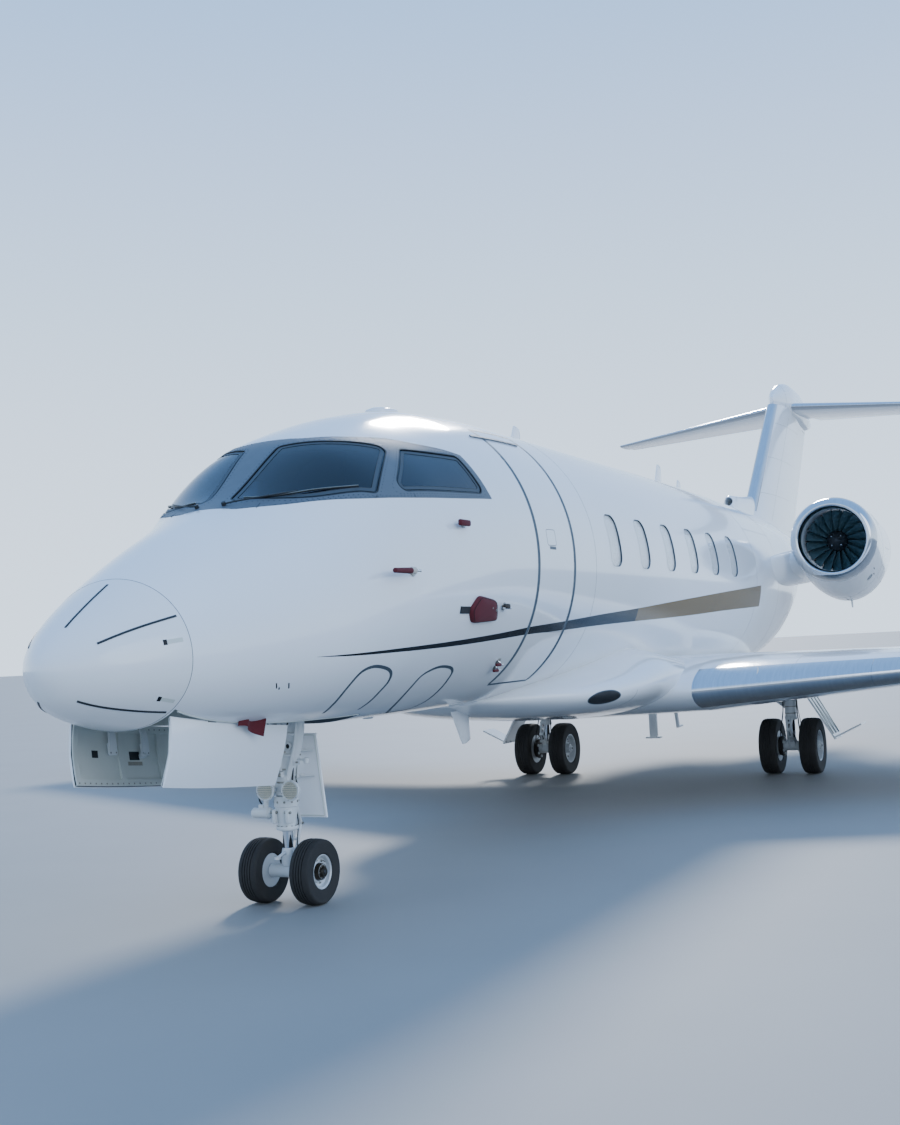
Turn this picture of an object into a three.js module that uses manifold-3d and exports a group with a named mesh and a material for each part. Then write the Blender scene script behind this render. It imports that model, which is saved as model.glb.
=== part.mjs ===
// Business jet: twin rear engines, T-tail, canted winglets, parked on its gear.
// Frame: +X port, -Y nose, +Z up, origin on the ground under the middle of the length.
// Stations (s) are metres aft of the nose datum; x and z are metres from the
// centre plane and from the ground. Everything leaves this file in millimetres.
import * as THREE from 'three';
import Module from 'manifold-3d';

const wasm = await Module();
wasm.setup();

// Driving sizes, metres
const midStation = 10.54;
const hullSegments = 32;
const wallFront = 0.09;
const wallAft = 0.045;
const panelGap = 0.006;
const skinGap = 0.0004;
const wingRootX = 1.5;
const wingKinkX = 3.3;
const wingTipX = 9.4;
const engineX = 1.795;
const engineZ = 2.905;
const mainGearX = 1.593;
const mainGearStation = 10.86;
const mainWheelOffset = 0.238;
const mainTyreRadius = 0.33;
const noseGearStation = 2.435;
const noseWheelOffset = 0.21;
const noseTyreRadius = 0.225;
const noseDoorX = 0.40;
const noseDoorOpenDeg = 70;
const nacelleToeDeg = 3;
const doorStations = [4.45, 5.16];
const doorAngles = [-56, 58];
const cabinWindows = { first: 6.236, pitch: 0.819, count: 6, width: 0.29, bottom: 2.38, top: 2.857 };

const group = new THREE.Group();

// Fuselage sections. Columns: station, half width, top, bottom, widest height, roundness above and below
const hullTable = [
  [0.10, 0.000, 1.700, 1.700, 1.700, 2.00, 2.00],
  [0.13, 0.108, 1.790, 1.602, 1.700, 2.00, 2.00],
  [0.20, 0.215, 1.870, 1.510, 1.703, 2.00, 2.00],
  [0.36, 0.375, 2.000, 1.415, 1.712, 2.00, 2.05],
  [0.70, 0.580, 2.220, 1.325, 1.740, 2.00, 2.10],
  [1.20, 0.775, 2.490, 1.262, 1.800, 2.00, 2.15],
  [1.80, 0.945, 2.775, 1.235, 1.900, 2.15, 2.20],
  [2.42, 1.055, 3.235, 1.222, 2.080, 2.35, 2.20],
  [2.80, 1.105, 3.385, 1.217, 2.180, 2.25, 2.15],
  [3.20, 1.135, 3.505, 1.215, 2.270, 2.10, 2.15],
  [4.00, 1.163, 3.645, 1.210, 2.400, 2.00, 2.10],
  [5.00, 1.170, 3.685, 1.210, 2.430, 2.00, 2.10],
  [7.00, 1.170, 3.670, 1.210, 2.430, 2.00, 2.10],
  [10.5, 1.165, 3.630, 1.210, 2.430, 2.00, 2.10],
  [11.5, 1.145, 3.610, 1.210, 2.440, 2.00, 2.10],
  [12.5, 1.085, 3.590, 1.220, 2.460, 2.00, 2.10],
  [13.5, 1.000, 3.565, 1.250, 2.480, 2.00, 2.10],
  [14.5, 0.895, 3.540, 1.350, 2.520, 2.00, 2.05],
  [15.5, 0.755, 3.510, 1.570, 2.600, 2.00, 2.00],
  [16.5, 0.570, 3.465, 1.870, 2.720, 2.00, 2.00],
  [17.5, 0.375, 3.390, 2.230, 2.850, 2.00, 2.00],
  [18.4, 0.200, 3.290, 2.590, 2.960, 2.00, 2.00],
  [18.9, 0.110, 3.220, 2.800, 3.010, 2.00, 2.00],
];

// Smooth curve through one column of a table, without overshoot
function curveThrough(xs, ys) {
  const n = xs.length;
  const slope = [];
  for (let i = 0; i < n - 1; i++) slope.push((ys[i + 1] - ys[i]) / (xs[i + 1] - xs[i]));
  const m = [slope[0]];
  for (let i = 1; i < n - 1; i++) {
    const [a, b] = [slope[i - 1], slope[i]];
    const [h, k] = [xs[i] - xs[i - 1], xs[i + 1] - xs[i]];
    const [p, q] = [2 * k + h, k + 2 * h];
    m.push(a * b <= 0 ? 0 : (p + q) / (p / a + q / b));
  }
  m.push(slope[n - 2]);
  return (x) => {
    let i = 0;
    while (i < n - 2 && x > xs[i + 1]) i++;
    const h = xs[i + 1] - xs[i];
    const t = (x - xs[i]) / h;
    const [t2, t3] = [t * t, t * t * t];
    return (2 * t3 - 3 * t2 + 1) * ys[i] + (t3 - 2 * t2 + t) * h * m[i]
      + (3 * t2 - 2 * t3) * ys[i + 1] + (t3 - t2) * h * m[i + 1];
  };
}

// The nose is blunt, so its curves run over the root of the distance from the tip
const noseRoot = (s) => Math.sqrt(Math.max(s - hullTable[0][0], 0));
const hullCurves = [1, 2, 3, 4, 5, 6].map((column) =>
  curveThrough(hullTable.map((row) => noseRoot(row[0])), hullTable.map((row) => row[column])));

// One point of the fuselage skin, grown outward by "off"; angle 0 is port, 90 the crown
function hullPoint(s, degrees, off = 0) {
  const [w, top, bottom, middle, above, below] = hullCurves.map((curve) => curve(noseRoot(s)));
  const [c, d] = [Math.cos(degrees * Math.PI / 180), Math.sin(degrees * Math.PI / 180)];
  const power = 2 / (d >= 0 ? above : below);
  const height = (d >= 0 ? top - middle : middle - bottom) + off;
  return [
    (w + off) * Math.sign(c) * Math.abs(c) ** power,
    s,
    middle + height * Math.sign(d) * Math.abs(d) ** power,
  ];
}

function hullRing(s, off = 0) {
  const ring = [];
  for (let i = 0; i < hullSegments; i++) ring.push(hullPoint(s, (i + 0.5) * 360 / hullSegments, off));
  return ring;
}

// Solids are built in row-frame millimetres from points (x, station, z) in metres
const toRow = (p) => [p[0] * 1000, (p[1] - midStation) * 1000, p[2] * 1000];

function bodyFrom(points, faces) {
  const verts = new Float32Array(points.flatMap(toRow));
  let volume = 0;
  for (const [a, b, c] of faces) {
    const [p, q, r] = [a, b, c].map((i) => verts.slice(3 * i, 3 * i + 3));
    volume += p[0] * (q[1] * r[2] - q[2] * r[1]) + p[1] * (q[2] * r[0] - q[0] * r[2])
      + p[2] * (q[0] * r[1] - q[1] * r[0]);
  }
  const turned = volume < 0 ? faces.map(([a, b, c]) => [a, c, b]) : faces;
  return new wasm.Manifold(new wasm.Mesh({
    numProp: 3,
    vertProperties: verts,
    triVerts: new Uint32Array(turned.flat()),
  }));
}

// Flat cap over a ring, wound like the ring itself
function capFaces(ring, first) {
  const normal = new THREE.Vector3();
  ring.forEach((p, i) => {
    const q = ring[(i + 1) % ring.length];
    normal.add(new THREE.Vector3(
      (p[1] - q[1]) * (p[2] + q[2]), (p[2] - q[2]) * (p[0] + q[0]), (p[0] - q[0]) * (p[1] + q[1])));
  });
  const size = normal.toArray().map(Math.abs);
  const drop = size.indexOf(Math.max(...size));
  const flat = ring.map((p) => new THREE.Vector2(p[(drop + 1) % 3], p[(drop + 2) % 3]));
  const sign = Math.sign(THREE.ShapeUtils.area(flat));
  return THREE.ShapeUtils.triangulateShape(flat, []).map(([a, b, c]) => {
    const turn = Math.sign(THREE.ShapeUtils.area([flat[a], flat[b], flat[c]]));
    return (turn === sign ? [a, b, c] : [a, c, b]).map((i) => i + first);
  });
}

// Skin through rings of points; "closed" joins the last ring to the first, a ring of one point is a tip
function loft(rings, closed = false) {
  const starts = [];
  const points = [];
  for (const ring of rings) {
    starts.push(points.length);
    points.push(...ring);
  }
  const faces = [];
  const count = rings.length;
  for (let i = 0; i < (closed ? count : count - 1); i++) {
    const k = (i + 1) % count;
    const [a, b] = [rings[i], rings[k]];
    const n = Math.max(a.length, b.length);
    for (let j = 0; j < n; j++) {
      const next = (j + 1) % n;
      if (a.length === 1) faces.push([starts[i], starts[k] + next, starts[k] + j]);
      else if (b.length === 1) faces.push([starts[i] + j, starts[i] + next, starts[k]]);
      else {
        const corners = [starts[i] + j, starts[i] + next, starts[k] + next, starts[k] + j];
        if (a[j][0] + a[next][0] < 0) corners.push(corners.shift());
        faces.push([corners[0], corners[1], corners[2]], [corners[0], corners[2], corners[3]]);
      }
    }
  }
  if (!closed) {
    const last = rings[count - 1];
    if (rings[0].length > 1) faces.push(...capFaces(rings[0], 0).map(([a, b, c]) => [a, c, b]));
    if (last.length > 1) faces.push(...capFaces(last, starts[count - 1]));
  }
  return bodyFrom(points, faces);
}

const unite = (...bodies) => bodies.reduce((sum, body) => sum.add(body));
const hullSolid = (stations, off = 0) => loft(stations.map((s) => hullRing(s, off)));

function block(x0, x1, s0, s1, z0, z1) {
  const ring = (s) => [[x0, s, z0], [x1, s, z0], [x1, s, z1], [x0, s, z1]];
  return loft([ring(s0), ring(s1)]);
}

// Round bar between two points
function bar(from, to, radius, sides = 12, endRadius = radius) {
  const axis = new THREE.Vector3(...to).sub(new THREE.Vector3(...from)).normalize();
  const side = Math.abs(axis.z) < 0.9 ? new THREE.Vector3(0, 0, 1) : new THREE.Vector3(0, 1, 0);
  const u = side.cross(axis).normalize();
  const v = axis.clone().cross(u);
  const ring = (p, r) => Array.from({ length: sides }, (_, i) => {
    const angle = (i + 0.5) * 2 * Math.PI / sides;
    return [0, 1, 2].map((k) => p[k]
      + r * (Math.cos(angle) * u.getComponent(k) + Math.sin(angle) * v.getComponent(k)));
  });
  return loft([ring(from, radius), ring(to, endRadius)]);
}

// Body of revolution; "place" turns (distance along, radius, angle) into a point
function turned(profile, sides, place, closed = false) {
  const angles = Array.from({ length: sides }, (_, i) => (i + 0.5) * 2 * Math.PI / sides);
  return loft(profile.map(([along, radius]) => (radius < 1e-6
    ? [place(along, 0, 0)]
    : angles.map((a) => place(along, radius, a)))), closed);
}
const aboutX = (s, z) => (x, r, a) => [x, s + r * Math.sin(a), z - r * Math.cos(a)];
const aboutY = (x, z) => (s, r, a) => [x + r * Math.cos(a), s, z + r * Math.sin(a)];

// Prism over a rounded outline given by corner points near one plane
function roundedPrism(corners, radius, grow, depthOut, depthIn, steps = 3) {
  const mid = corners.reduce((sum, p) => sum.map((v, k) => v + p[k] / corners.length), [0, 0, 0]);
  const at = corners.map((p) => new THREE.Vector3(...p).sub(new THREE.Vector3(...mid)));
  const normal = at[2].clone().sub(at[0]).cross(at[3].clone().sub(at[1])).normalize();
  if (normal.x * mid[0] < 0) normal.negate();
  const u = at[1].clone().sub(at[0]).projectOnPlane(normal).normalize();
  const v = normal.clone().cross(u);
  const flat = at.map((p) => new THREE.Vector2(p.dot(u), p.dot(v)));
  if (THREE.ShapeUtils.area(flat) < 0) flat.reverse();
  const outline = [];
  flat.forEach((p, i) => {
    const a = flat[(i + flat.length - 1) % flat.length].clone().sub(p).normalize();
    const b = flat[(i + 1) % flat.length].clone().sub(p).normalize();
    const half = Math.acos(a.dot(b)) / 2;
    const inward = a.clone().add(b).normalize();
    const r = radius + grow;
    const centre = p.clone().addScaledVector(inward, radius / Math.sin(half));
    const from = Math.atan2(-inward.y, -inward.x) - (Math.PI / 2 - half);
    for (let k = 0; k <= steps; k++) {
      const angle = from + (Math.PI - 2 * half) * k / steps;
      outline.push([centre.x + r * Math.cos(angle), centre.y + r * Math.sin(angle)]);
    }
  });
  const ring = (depth) => outline.map(([p, q]) => [0, 1, 2].map((k) => mid[k]
    + p * u.getComponent(k) + q * v.getComponent(k) + depth * normal.getComponent(k)));
  return loft([ring(-depthIn), ring(depthOut)]);
}

// Flat round jacking pad under the skin, facing down
const jackPad = (x, s, face, into) => bar([x, s, face], [x, s, into], 0.045, 14);

function addPart(name, body, look, mirror = false) {
  const pieces = body.decompose();
  const whole = pieces.reduce((a, b) => (a.volume() > b.volume() ? a : b));
  const data = whole.getMesh();
  const positions = new Float32Array(data.triVerts.length * 3);
  for (let t = 0; t < data.triVerts.length; t += 3) {
    const order = mirror ? [0, 2, 1] : [0, 1, 2];
    order.forEach((k, slot) => {
      const from = data.triVerts[t + k] * data.numProp;
      positions[3 * (t + slot)] = data.vertProperties[from] * (mirror ? -1 : 1);
      positions[3 * (t + slot) + 1] = data.vertProperties[from + 1];
      positions[3 * (t + slot) + 2] = data.vertProperties[from + 2];
    });
  }
  const geometry = new THREE.BufferGeometry();
  geometry.setAttribute('position', new THREE.BufferAttribute(positions, 3));
  geometry.computeVertexNormals();
  const mesh = new THREE.Mesh(geometry, new THREE.MeshStandardMaterial(look));
  mesh.name = name;
  group.add(mesh);
  return mesh;
}

const white = { color: 0xf1f3f4, roughness: 0.25, metalness: 0 };
const polished = { color: 0xb9c1c9, roughness: 0.12, metalness: 1 };
const gearPaint = { color: 0xd9dbdb, roughness: 0.4, metalness: 0.2 };
const rubber = { color: 0x1b1b1c, roughness: 0.9, metalness: 0 };
const darkMetal = { color: 0x4a4a4c, roughness: 0.4, metalness: 1 };
const paneGlass = { color: 0x232a30, roughness: 0.05, metalness: 0 };
const trimGrey = { color: 0x8b8e90, roughness: 0.7, metalness: 0 };

// Fuselage: nose cone, then three hollow lengths of skin
const noseStations = [0.13, 0.20, 0.36, 0.52, 0.70];
addPart('nose_cone', loft([[[0, 0.10, 1.70]], ...noseStations.map((s) => hullRing(s))]), white);

const frontStations = [0.70 + skinGap, 1.0, 1.35, 1.8, 2.1, 2.42, 2.6, 2.8, 3.0, 3.2, 3.6, 4.2, 5.0, 5.70];
const cabinStations = [5.70 + skinGap, 8.0, 10.5, 11.45];
const aftStations = [11.45 + skinGap, 12.5, 13.5, 14.5, 15.5, 16.5, 17.5, 18.4, 18.9];
const frontInside = [0.85, 1.35, 1.9, 2.42, 2.8, 3.3, 4.2, 5.9];
const cabinInside = [5.5, 8.0, 10.5, 11.6];
const aftInside = [11.3, 12.5, 13.5, 14.5, 15.5, 16.6];
const allStations = [...frontStations.slice(0, -1), ...cabinStations.slice(0, -1), ...aftStations];
const hullGrown = hullSolid(allStations, skinGap);

const windows = [];
for (let i = 0; i < cabinWindows.count; i++) windows.push(cabinWindows.first + i * cabinWindows.pitch);
function windowPrism(s, side, grow) {
  const [half, x] = [cabinWindows.width / 2, side * 1.13];
  const { bottom, top } = cabinWindows;
  const corners = [[x, s - half, bottom], [x, s + half, bottom], [x, s + half, top], [x, s - half, top]];
  return roundedPrism(corners, 0.10, grow, 0.2, 0.25, 2);
}

// Cockpit panes. Corner points on the skin, port side; starboard is the mirror image
const paneCorners = {
  windshield: [[0.055, 1.83, 2.76], [0.90, 2.36, 2.80], [0.74, 2.80, 3.17], [0.075, 2.32, 3.20]],
  side_window: [[0.98, 2.54, 2.79], [1.09, 3.56, 2.84], [0.945, 3.46, 3.19], [0.825, 2.85, 3.16]],
};
const mirrored = (corners, side) => corners.map(([x, s, z]) => [side * x, s, z]);
const panePrism = (kind, side, grow) =>
  roundedPrism(mirrored(paneCorners[kind], side), 0.06, grow, 0.25, 0.30);
const paneBand = hullSolid([1.5, 1.8, 2.1, 2.42, 2.6, 2.8, 3.0, 3.2, 3.6, 3.8], -0.006)
  .subtract(hullSolid([1.4, 1.8, 2.1, 2.42, 2.6, 2.8, 3.0, 3.2, 3.6, 3.9], -0.030));

// A curved panel of skin between two stations and two angles
function skinPanel(s0, s1, a0, a1, outer, inner, rows) {
  const ring = (s) => {
    const points = [];
    for (let i = 0; i <= rows; i++) points.push(hullPoint(s, a0 + (a1 - a0) * i / rows, outer));
    for (let i = rows; i >= 0; i--) points.push(hullPoint(s, a0 + (a1 - a0) * i / rows, inner));
    return points;
  };
  return loft([ring(s0), ring((s0 + s1) / 2), ring(s1)]);
}
const [doorFront, doorRear] = doorStations;
const doorSlack = 0.35;
const hingeSlack = 0.02;
const doorHole = skinPanel(doorFront - panelGap, doorRear + panelGap,
  doorAngles[0] - hingeSlack, doorAngles[1] + doorSlack, 0.08, -0.16, 18);

// Blade aerials and masts stand on the skin. Columns: station, height in the skin, chord there, then the
// same for the tip, thickness
const bladeTable = {
  crown: [[6.56, 3.62, 0.30, 6.70, 3.875, 0.15, 0.016], [11.02, 3.56, 0.34, 11.22, 3.93, 0.15, 0.016]],
  rearCrown: [11.95, 3.55, 0.26, 12.06, 3.80, 0.12, 0.014],
  belly: [5.02, 1.155, 0.34, 5.22, 0.86, 0.17, 0.018],
};
const bladeAerial = ([s0, z0, c0, s1, z1, c1, half]) => loft([[s0, z0, c0], [s1, z1, c1]].map(([s, z, c]) =>
  [[0, s, z], [half, s + 0.3 * c, z], [half * 0.8, s + 0.7 * c, z], [0, s + c, z],
    [-half * 0.8, s + 0.7 * c, z], [-half, s + 0.3 * c, z]]));
const beacon = loft([[3.55, 0.13, 0.16], [3.665, 0.12, 0.15], [3.695, 0.07, 0.09]].map(([z, x, half]) =>
  [[-x, 4.05 - half * 0.6, z], [0, 4.05 - half, z], [x, 4.05 - half * 0.6, z], [x, 4.05 + half * 0.6, z],
    [0, 4.05 + half, z], [-x, 4.05 + half * 0.6, z]]));

let frontSkin = hullSolid(frontStations).subtract(hullSolid(frontInside, -wallFront)).subtract(doorHole);
for (const side of [1, -1]) {
  for (const kind of ['windshield', 'side_window']) {
    frontSkin = frontSkin.subtract(panePrism(kind, side, skinGap));
  }
}
const bay = { s0: 0.715, s1: 2.78, halfWidth: noseDoorX + 0.028, roof: 1.66, wall: 0.012 };
frontSkin = frontSkin.subtract(block(-bay.halfWidth, bay.halfWidth, bay.s0, bay.s1, 1.0, bay.roof));
addPart('forward_fuselage', unite(frontSkin, jackPad(0, 3.60, 1.195, 1.25), beacon), white);

let cabinSkin = hullSolid(cabinStations).subtract(hullSolid(cabinInside, -wallFront));
for (const side of [1, -1]) {
  for (const s of windows) cabinSkin = cabinSkin.subtract(windowPrism(s, side, skinGap));
}
addPart('cabin_fuselage', unite(cabinSkin, ...bladeTable.crown.map(bladeAerial)), white);
addPart('aft_fuselage', unite(hullSolid(aftStations).subtract(hullSolid(aftInside, -wallAft)),
  bladeAerial(bladeTable.rearCrown)), white);

for (const [side, label] of [[1, 'port'], [-1, 'starboard']]) {
  for (const kind of ['windshield', 'side_window']) {
    addPart(`${kind}_${label}`, panePrism(kind, side, 0).intersect(paneBand), paneGlass);
  }
  // Window panes with their drawn shades, carried by one lining strip
  const liningX = side > 0 ? [0.5, 1.2] : [-1.2, -0.5];
  const behind = (depth) => hullSolid([5.4, 8.0, 10.5, 11.7], -wallFront - depth);
  const strip = hullSolid(cabinInside, -wallFront - skinGap).subtract(behind(0.016))
    .intersect(block(...liningX, 6.0, 10.56, 2.28, 2.96));
  const paneShell = hullSolid(cabinStations, -0.012).subtract(behind(0.010));
  const panes = windows.map((s) => windowPrism(s, side, 0).intersect(paneShell));
  addPart(`cabin_windows_${label}`, unite(strip, ...panes), paneGlass);
}

// Airstair door: the skin panel itself, with its steps on the inner face
const doorPanel = skinPanel(doorFront, doorRear, doorAngles[0], doorAngles[1], 0, -wallFront, 18);
const steps = [-38, -22, -6, 10].map((angle) => {
  const [x, , z] = hullPoint(4.8, angle, -wallFront + 0.01);
  return block(x - 0.20, x + 0.01, doorFront + 0.10, doorRear - 0.10, z - 0.015, z + 0.015);
});
addPart('airstair_door', unite(doorPanel, ...steps), white);

// Nose gear bay and its two forward doors, stored open as they hang in the photo
const bayBlock = (inset, bottom) => block(-bay.halfWidth + inset, bay.halfWidth - inset,
  bay.s0 + inset, bay.s1 - inset, bottom, bay.roof - inset);
const bayLimit = hullSolid(frontStations.slice(0, 9), -skinGap);
const bayTray = bayBlock(skinGap, 1.30).subtract(bayBlock(bay.wall, 1.0)).intersect(bayLimit);
addPart('nose_gear_bay', bayTray, gearPaint);

function bellyHeight(s, x) {
  let [low, high] = [-90, 0];
  for (let i = 0; i < 30; i++) {
    const middle = (low + high) / 2;
    if (hullPoint(s, middle)[0] < x) low = middle;
    else high = middle;
  }
  return hullPoint(s, low)[2];
}
const noseDoorStations = [0.735, 1.0, 1.35, 1.80, 1.93];
const hingeDrop = 0.024;
const hingeEnds = [0.735, 1.93].map((s) => [noseDoorX, s, bellyHeight(s, noseDoorX) - hingeDrop]);
const hingeMiddle = hingeEnds[0].map((v, k) => (v + hingeEnds[1][k]) / 2);
const hingeRun = hingeEnds[1].map((v, k) => v - hingeEnds[0][k]);
const hingeAxis = new THREE.Vector3(0, hingeRun[1], hingeRun[2]).normalize();
for (const [side, label] of [[1, 'port'], [-1, 'starboard']]) {
  const band = hullSolid(noseDoorStations).subtract(hullSolid([0.70, ...noseDoorStations, 2.0], -0.028));
  const reach = side > 0 ? [0.004, noseDoorX] : [-noseDoorX, -0.004];
  const panel = band.intersect(block(...reach, 0.5, 2, 1, 1.6));
  const pins = [[1.04, 1.12], [1.34, 1.42]].map((ends) => {
    const [from, to] = ends.map((s) => {
      const t = (s - hingeEnds[0][1]) / hingeRun[1];
      return hingeEnds[0].map((v, k) => (k ? 1 : side) * (v + t * hingeRun[k]));
    });
    return bar(from, to, 0.0155, 16);
  });
  const mesh = addPart(`nose_gear_door_${label}`, unite(panel, ...pins), white);
  const hinge = toRow([side * hingeMiddle[0], hingeMiddle[1], hingeMiddle[2]]);
  mesh.geometry.translate(-hinge[0], -hinge[1], -hinge[2]);
  mesh.position.set(...hinge);
  mesh.setRotationFromAxisAngle(hingeAxis, -side * noseDoorOpenDeg * Math.PI / 180);
}

// Cabin floor, with the cockpit bulkhead and the two pilots' seats it carries
const floorTop = 1.70;
const floorSlab = block(-0.88, 0.88, 3.35, 11.2, floorTop - 0.04, floorTop)
  .intersect(hullSolid([2.8, 3.3, 4.2, 5.9, 8.0, 10.5, 11.6], -wallFront - skinGap))
  .subtract(block(0.46, 1.2, doorFront - 0.03, doorRear + 0.03, 1.5, 1.8));
const cockpitFloor = block(-0.7, 0.7, 2.35, 3.36, floorTop - 0.04, floorTop)
  .intersect(hullSolid([1.9, 2.42, 2.8, 3.3, 4.2], -wallFront - skinGap));
const bulkhead = hullSolid([2.8, 3.3, 4.2, 5.9], -wallFront - skinGap)
  .intersect(block(-1.2, 1.2, 3.90, 3.94, floorTop - 0.01, 3.6))
  .subtract(block(-0.27, 0.27, 3.8, 4.0, floorTop, 3.42));
const seats = [];
for (const side of [1, -1]) {
  const x = side * 0.46;
  seats.push(block(x - 0.20, x + 0.20, 3.00, 3.46, 2.10, 2.24));
  const backRows = [[0.21, 3.40, 3.54, 2.12], [0.19, 3.54, 3.63, 2.78]];
  seats.push(loft(backRows.map(([half, s0, s1, z]) =>
    [[x - half, s0, z], [x + half, s0, z], [x + half, s1, z], [x - half, s1, z]])));
  seats.push(block(x - 0.11, x + 0.11, 3.555, 3.62, 2.77, 2.98));
  seats.push(block(x - 0.15, x + 0.15, 3.08, 3.44, floorTop - 0.01, 2.11));
}
addPart('cabin_floor', unite(floorSlab, cockpitFloor, bulkhead, ...seats), trimGrey);

// Instrument panel under its glareshield, with the centre pedestal
const panelInside = hullSolid([1.35, 1.9, 2.42, 2.8, 3.3], -wallFront - skinGap);
const coaming = block(-0.9, 0.9, 2.16, 2.62, 2.60, 2.64).intersect(panelInside);
const dash = block(-0.75, 0.75, 2.40, 2.50, 2.05, 2.61).intersect(panelInside);
const pedestal = block(-0.17, 0.17, 2.45, 3.02, floorTop + skinGap, 2.20);
addPart('instrument_panel', unite(coaming, dash, pedestal), darkMetal);

// Wing section: thickness of a rounded aerofoil with a little camber. Columns: span x, nose station,
// chord, height, thickness ratio
const wingTable = [
  [0.0, 6.85, 4.95, 1.15, 0.125],
  [wingRootX, 7.20, 4.50, 1.17, 0.125],
  [wingKinkX, 8.15, 3.30, 1.258, 0.115],
  [wingTipX, 11.36, 1.24, 1.558, 0.10],
];
const tailTable = [
  [0.05, 18.55, 2.10, 5.680, 0.10],
  [3.64, 20.22, 0.75, 5.560, 0.09],
];
function spanRow(table, x) {
  let i = 0;
  while (i < table.length - 2 && x > table[i + 1][0]) i++;
  const t = (x - table[i][0]) / (table[i + 1][0] - table[i][0]);
  return table[i].map((v, k) => v + t * (table[i + 1][k] - v));
}
const halfThickness = (c) =>
  5 * (0.2969 * Math.sqrt(c) - 0.126 * c - 0.3516 * c ** 2 + 0.2843 * c ** 3 - 0.1015 * c ** 4);
const camber = (c) => 0.012 * (1 - (2 * c - 1) ** 2);

// Places along the chord from one fraction to another, closer together round a nose
function chordPlaces(c0, c1) {
  const shares = c0 === 0 ? [0, 0.06, 0.16, 0.32, 0.5, 0.68, 0.84, 1] : [0, 0.2, 0.45, 0.72, 1];
  return shares.map((t) => c0 + (c1 - c0) * (c0 === 0 ? t * t : t));
}

// Ring of one wing piece between two fractions of the chord
function foilRing(row, c0, c1, slim = 0) {
  const [x, nose, chord, z, ratio] = row;
  const list = chordPlaces(c0, c1);
  const at = (c, up) => [x, nose + chord * c,
    z + chord * camber(c) + up * Math.max(chord * ratio * halfThickness(c) - slim, 0.0015)];
  const upper = list.map((c) => at(c, 1));
  const lower = list.map((c) => at(c, -1)).reverse();
  return c0 === 0 ? [[x, nose, z], ...upper.slice(1), ...lower.slice(0, -1)] : [...upper, ...lower];
}
// Hinge line of flap and aileron. Columns: span x, station
const hingeTable = [[wingRootX, 10.98], [wingKinkX, 10.76], [wingTipX, 12.28]];
function flapStart(x) {
  const [, nose, chord] = spanRow(wingTable, x);
  return (spanRow(hingeTable, x)[1] - nose) / chord;
}
function wingPiece(table, xs, from, to, slim = 0) {
  return loft(xs.map((x) => foilRing(spanRow(table, x), from(x), to(x), slim)));
}
const edge = 0.07;
const same = (v) => () => v;

// Belly fairing round the wing joint. Columns: station, half width, top, bottom
const fairingTable = [
  [4.95, 0.30, 1.28, 1.195],
  [5.25, 0.72, 1.36, 1.120],
  [5.70, 1.08, 1.43, 1.045],
  [6.30, 1.27, 1.53, 0.985],
  [7.20, 1.36, 1.69, 0.935],
  [7.80, 1.38, 1.63, 0.925],
  [8.60, 1.39, 1.52, 0.915],
  [10.2, 1.38, 1.49, 0.915],
  [11.4, 1.32, 1.48, 0.935],
  [12.3, 1.14, 1.46, 0.990],
  [13.1, 0.84, 1.43, 1.090],
  [13.8, 0.45, 1.39, 1.215],
];
const fairingRing = ([s, w, top, bottom], sides = 24) => Array.from({ length: sides }, (_, i) => {
  const a = (i + 0.5) * 2 * Math.PI / sides;
  const [c, d] = [Math.cos(a), Math.sin(a)];
  const [out, up] = [c, d].map((v) => Math.sign(v) * Math.abs(v) ** 0.9);
  return [w * out, s, (top + bottom) / 2 + (top - bottom) / 2 * up];
});
const stubRows = [-wingRootX + skinGap, 0, wingRootX - skinGap]
  .map((x) => foilRing([x, ...spanRow(wingTable, Math.abs(x)).slice(1)], 0, 0.99));
let fairing = loft(fairingTable.map((row) => fairingRing(row))).add(loft(stubRows)).subtract(hullGrown);
for (const side of [1, -1]) {
  const wellFoot = [side * 0.62, mainGearStation, 0.7];
  fairing = fairing.subtract(bar(wellFoot, [wellFoot[0], wellFoot[1], 1.16], 0.37, 20));
  fairing = fairing.subtract(block(Math.min(side * 0.9, side * 1.6), Math.max(side * 0.9, side * 1.6),
    mainGearStation - 0.11, mainGearStation + 0.11, 0.7, 1.12));
}
const drainMast = unite(block(-0.045, 0.045, 10.42, 10.50, 0.49, 0.96),
  block(-0.09, 0.09, 10.40, 10.52, 0.475, 0.495));
const rakedMast = unite(loft([[11.26, 0.98], [11.40, 0.53]].map(([s, z]) =>
  [[-0.02, s, z], [0.02, s, z], [0.02, s + 0.10, z], [-0.02, s + 0.10, z]])),
block(-0.02, 0.02, 11.44, 11.62, 0.53, 0.56));
addPart('belly_fairing', unite(fairing, drainMast, rakedMast, bladeAerial(bladeTable.belly)), white);

// Nacelle cowl, outer shape about the engine's axis. Columns: station, centre x, half width,
// height of the widest point, rise, drop
const cowlTable = [
  [13.1754, 1.795, 0.572, 0.00, 0.572, 0.575],
  [13.45, 1.787, 0.582, -0.02, 0.588, 0.665],
  [13.90, 1.783, 0.575, -0.07, 0.598, 0.775],
  [14.50, 1.780, 0.556, -0.10, 0.592, 0.820],
  [15.10, 1.780, 0.532, -0.09, 0.565, 0.770],
  [15.70, 1.785, 0.492, -0.05, 0.515, 0.620],
  [16.30, 1.795, 0.420, 0.00, 0.420, 0.440],
];
const cowlRing = ([s, x, w, belt, up, down], grow = 0) => Array.from({ length: 26 }, (_, i) => {
  const a = (i + 0.5) * 2 * Math.PI / 26;
  const [c, d] = [Math.cos(a), Math.sin(a)];
  return [x + (w + grow) * c, s, engineZ + belt + ((d > 0 ? up - belt : down + belt) + grow) * d];
});
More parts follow.
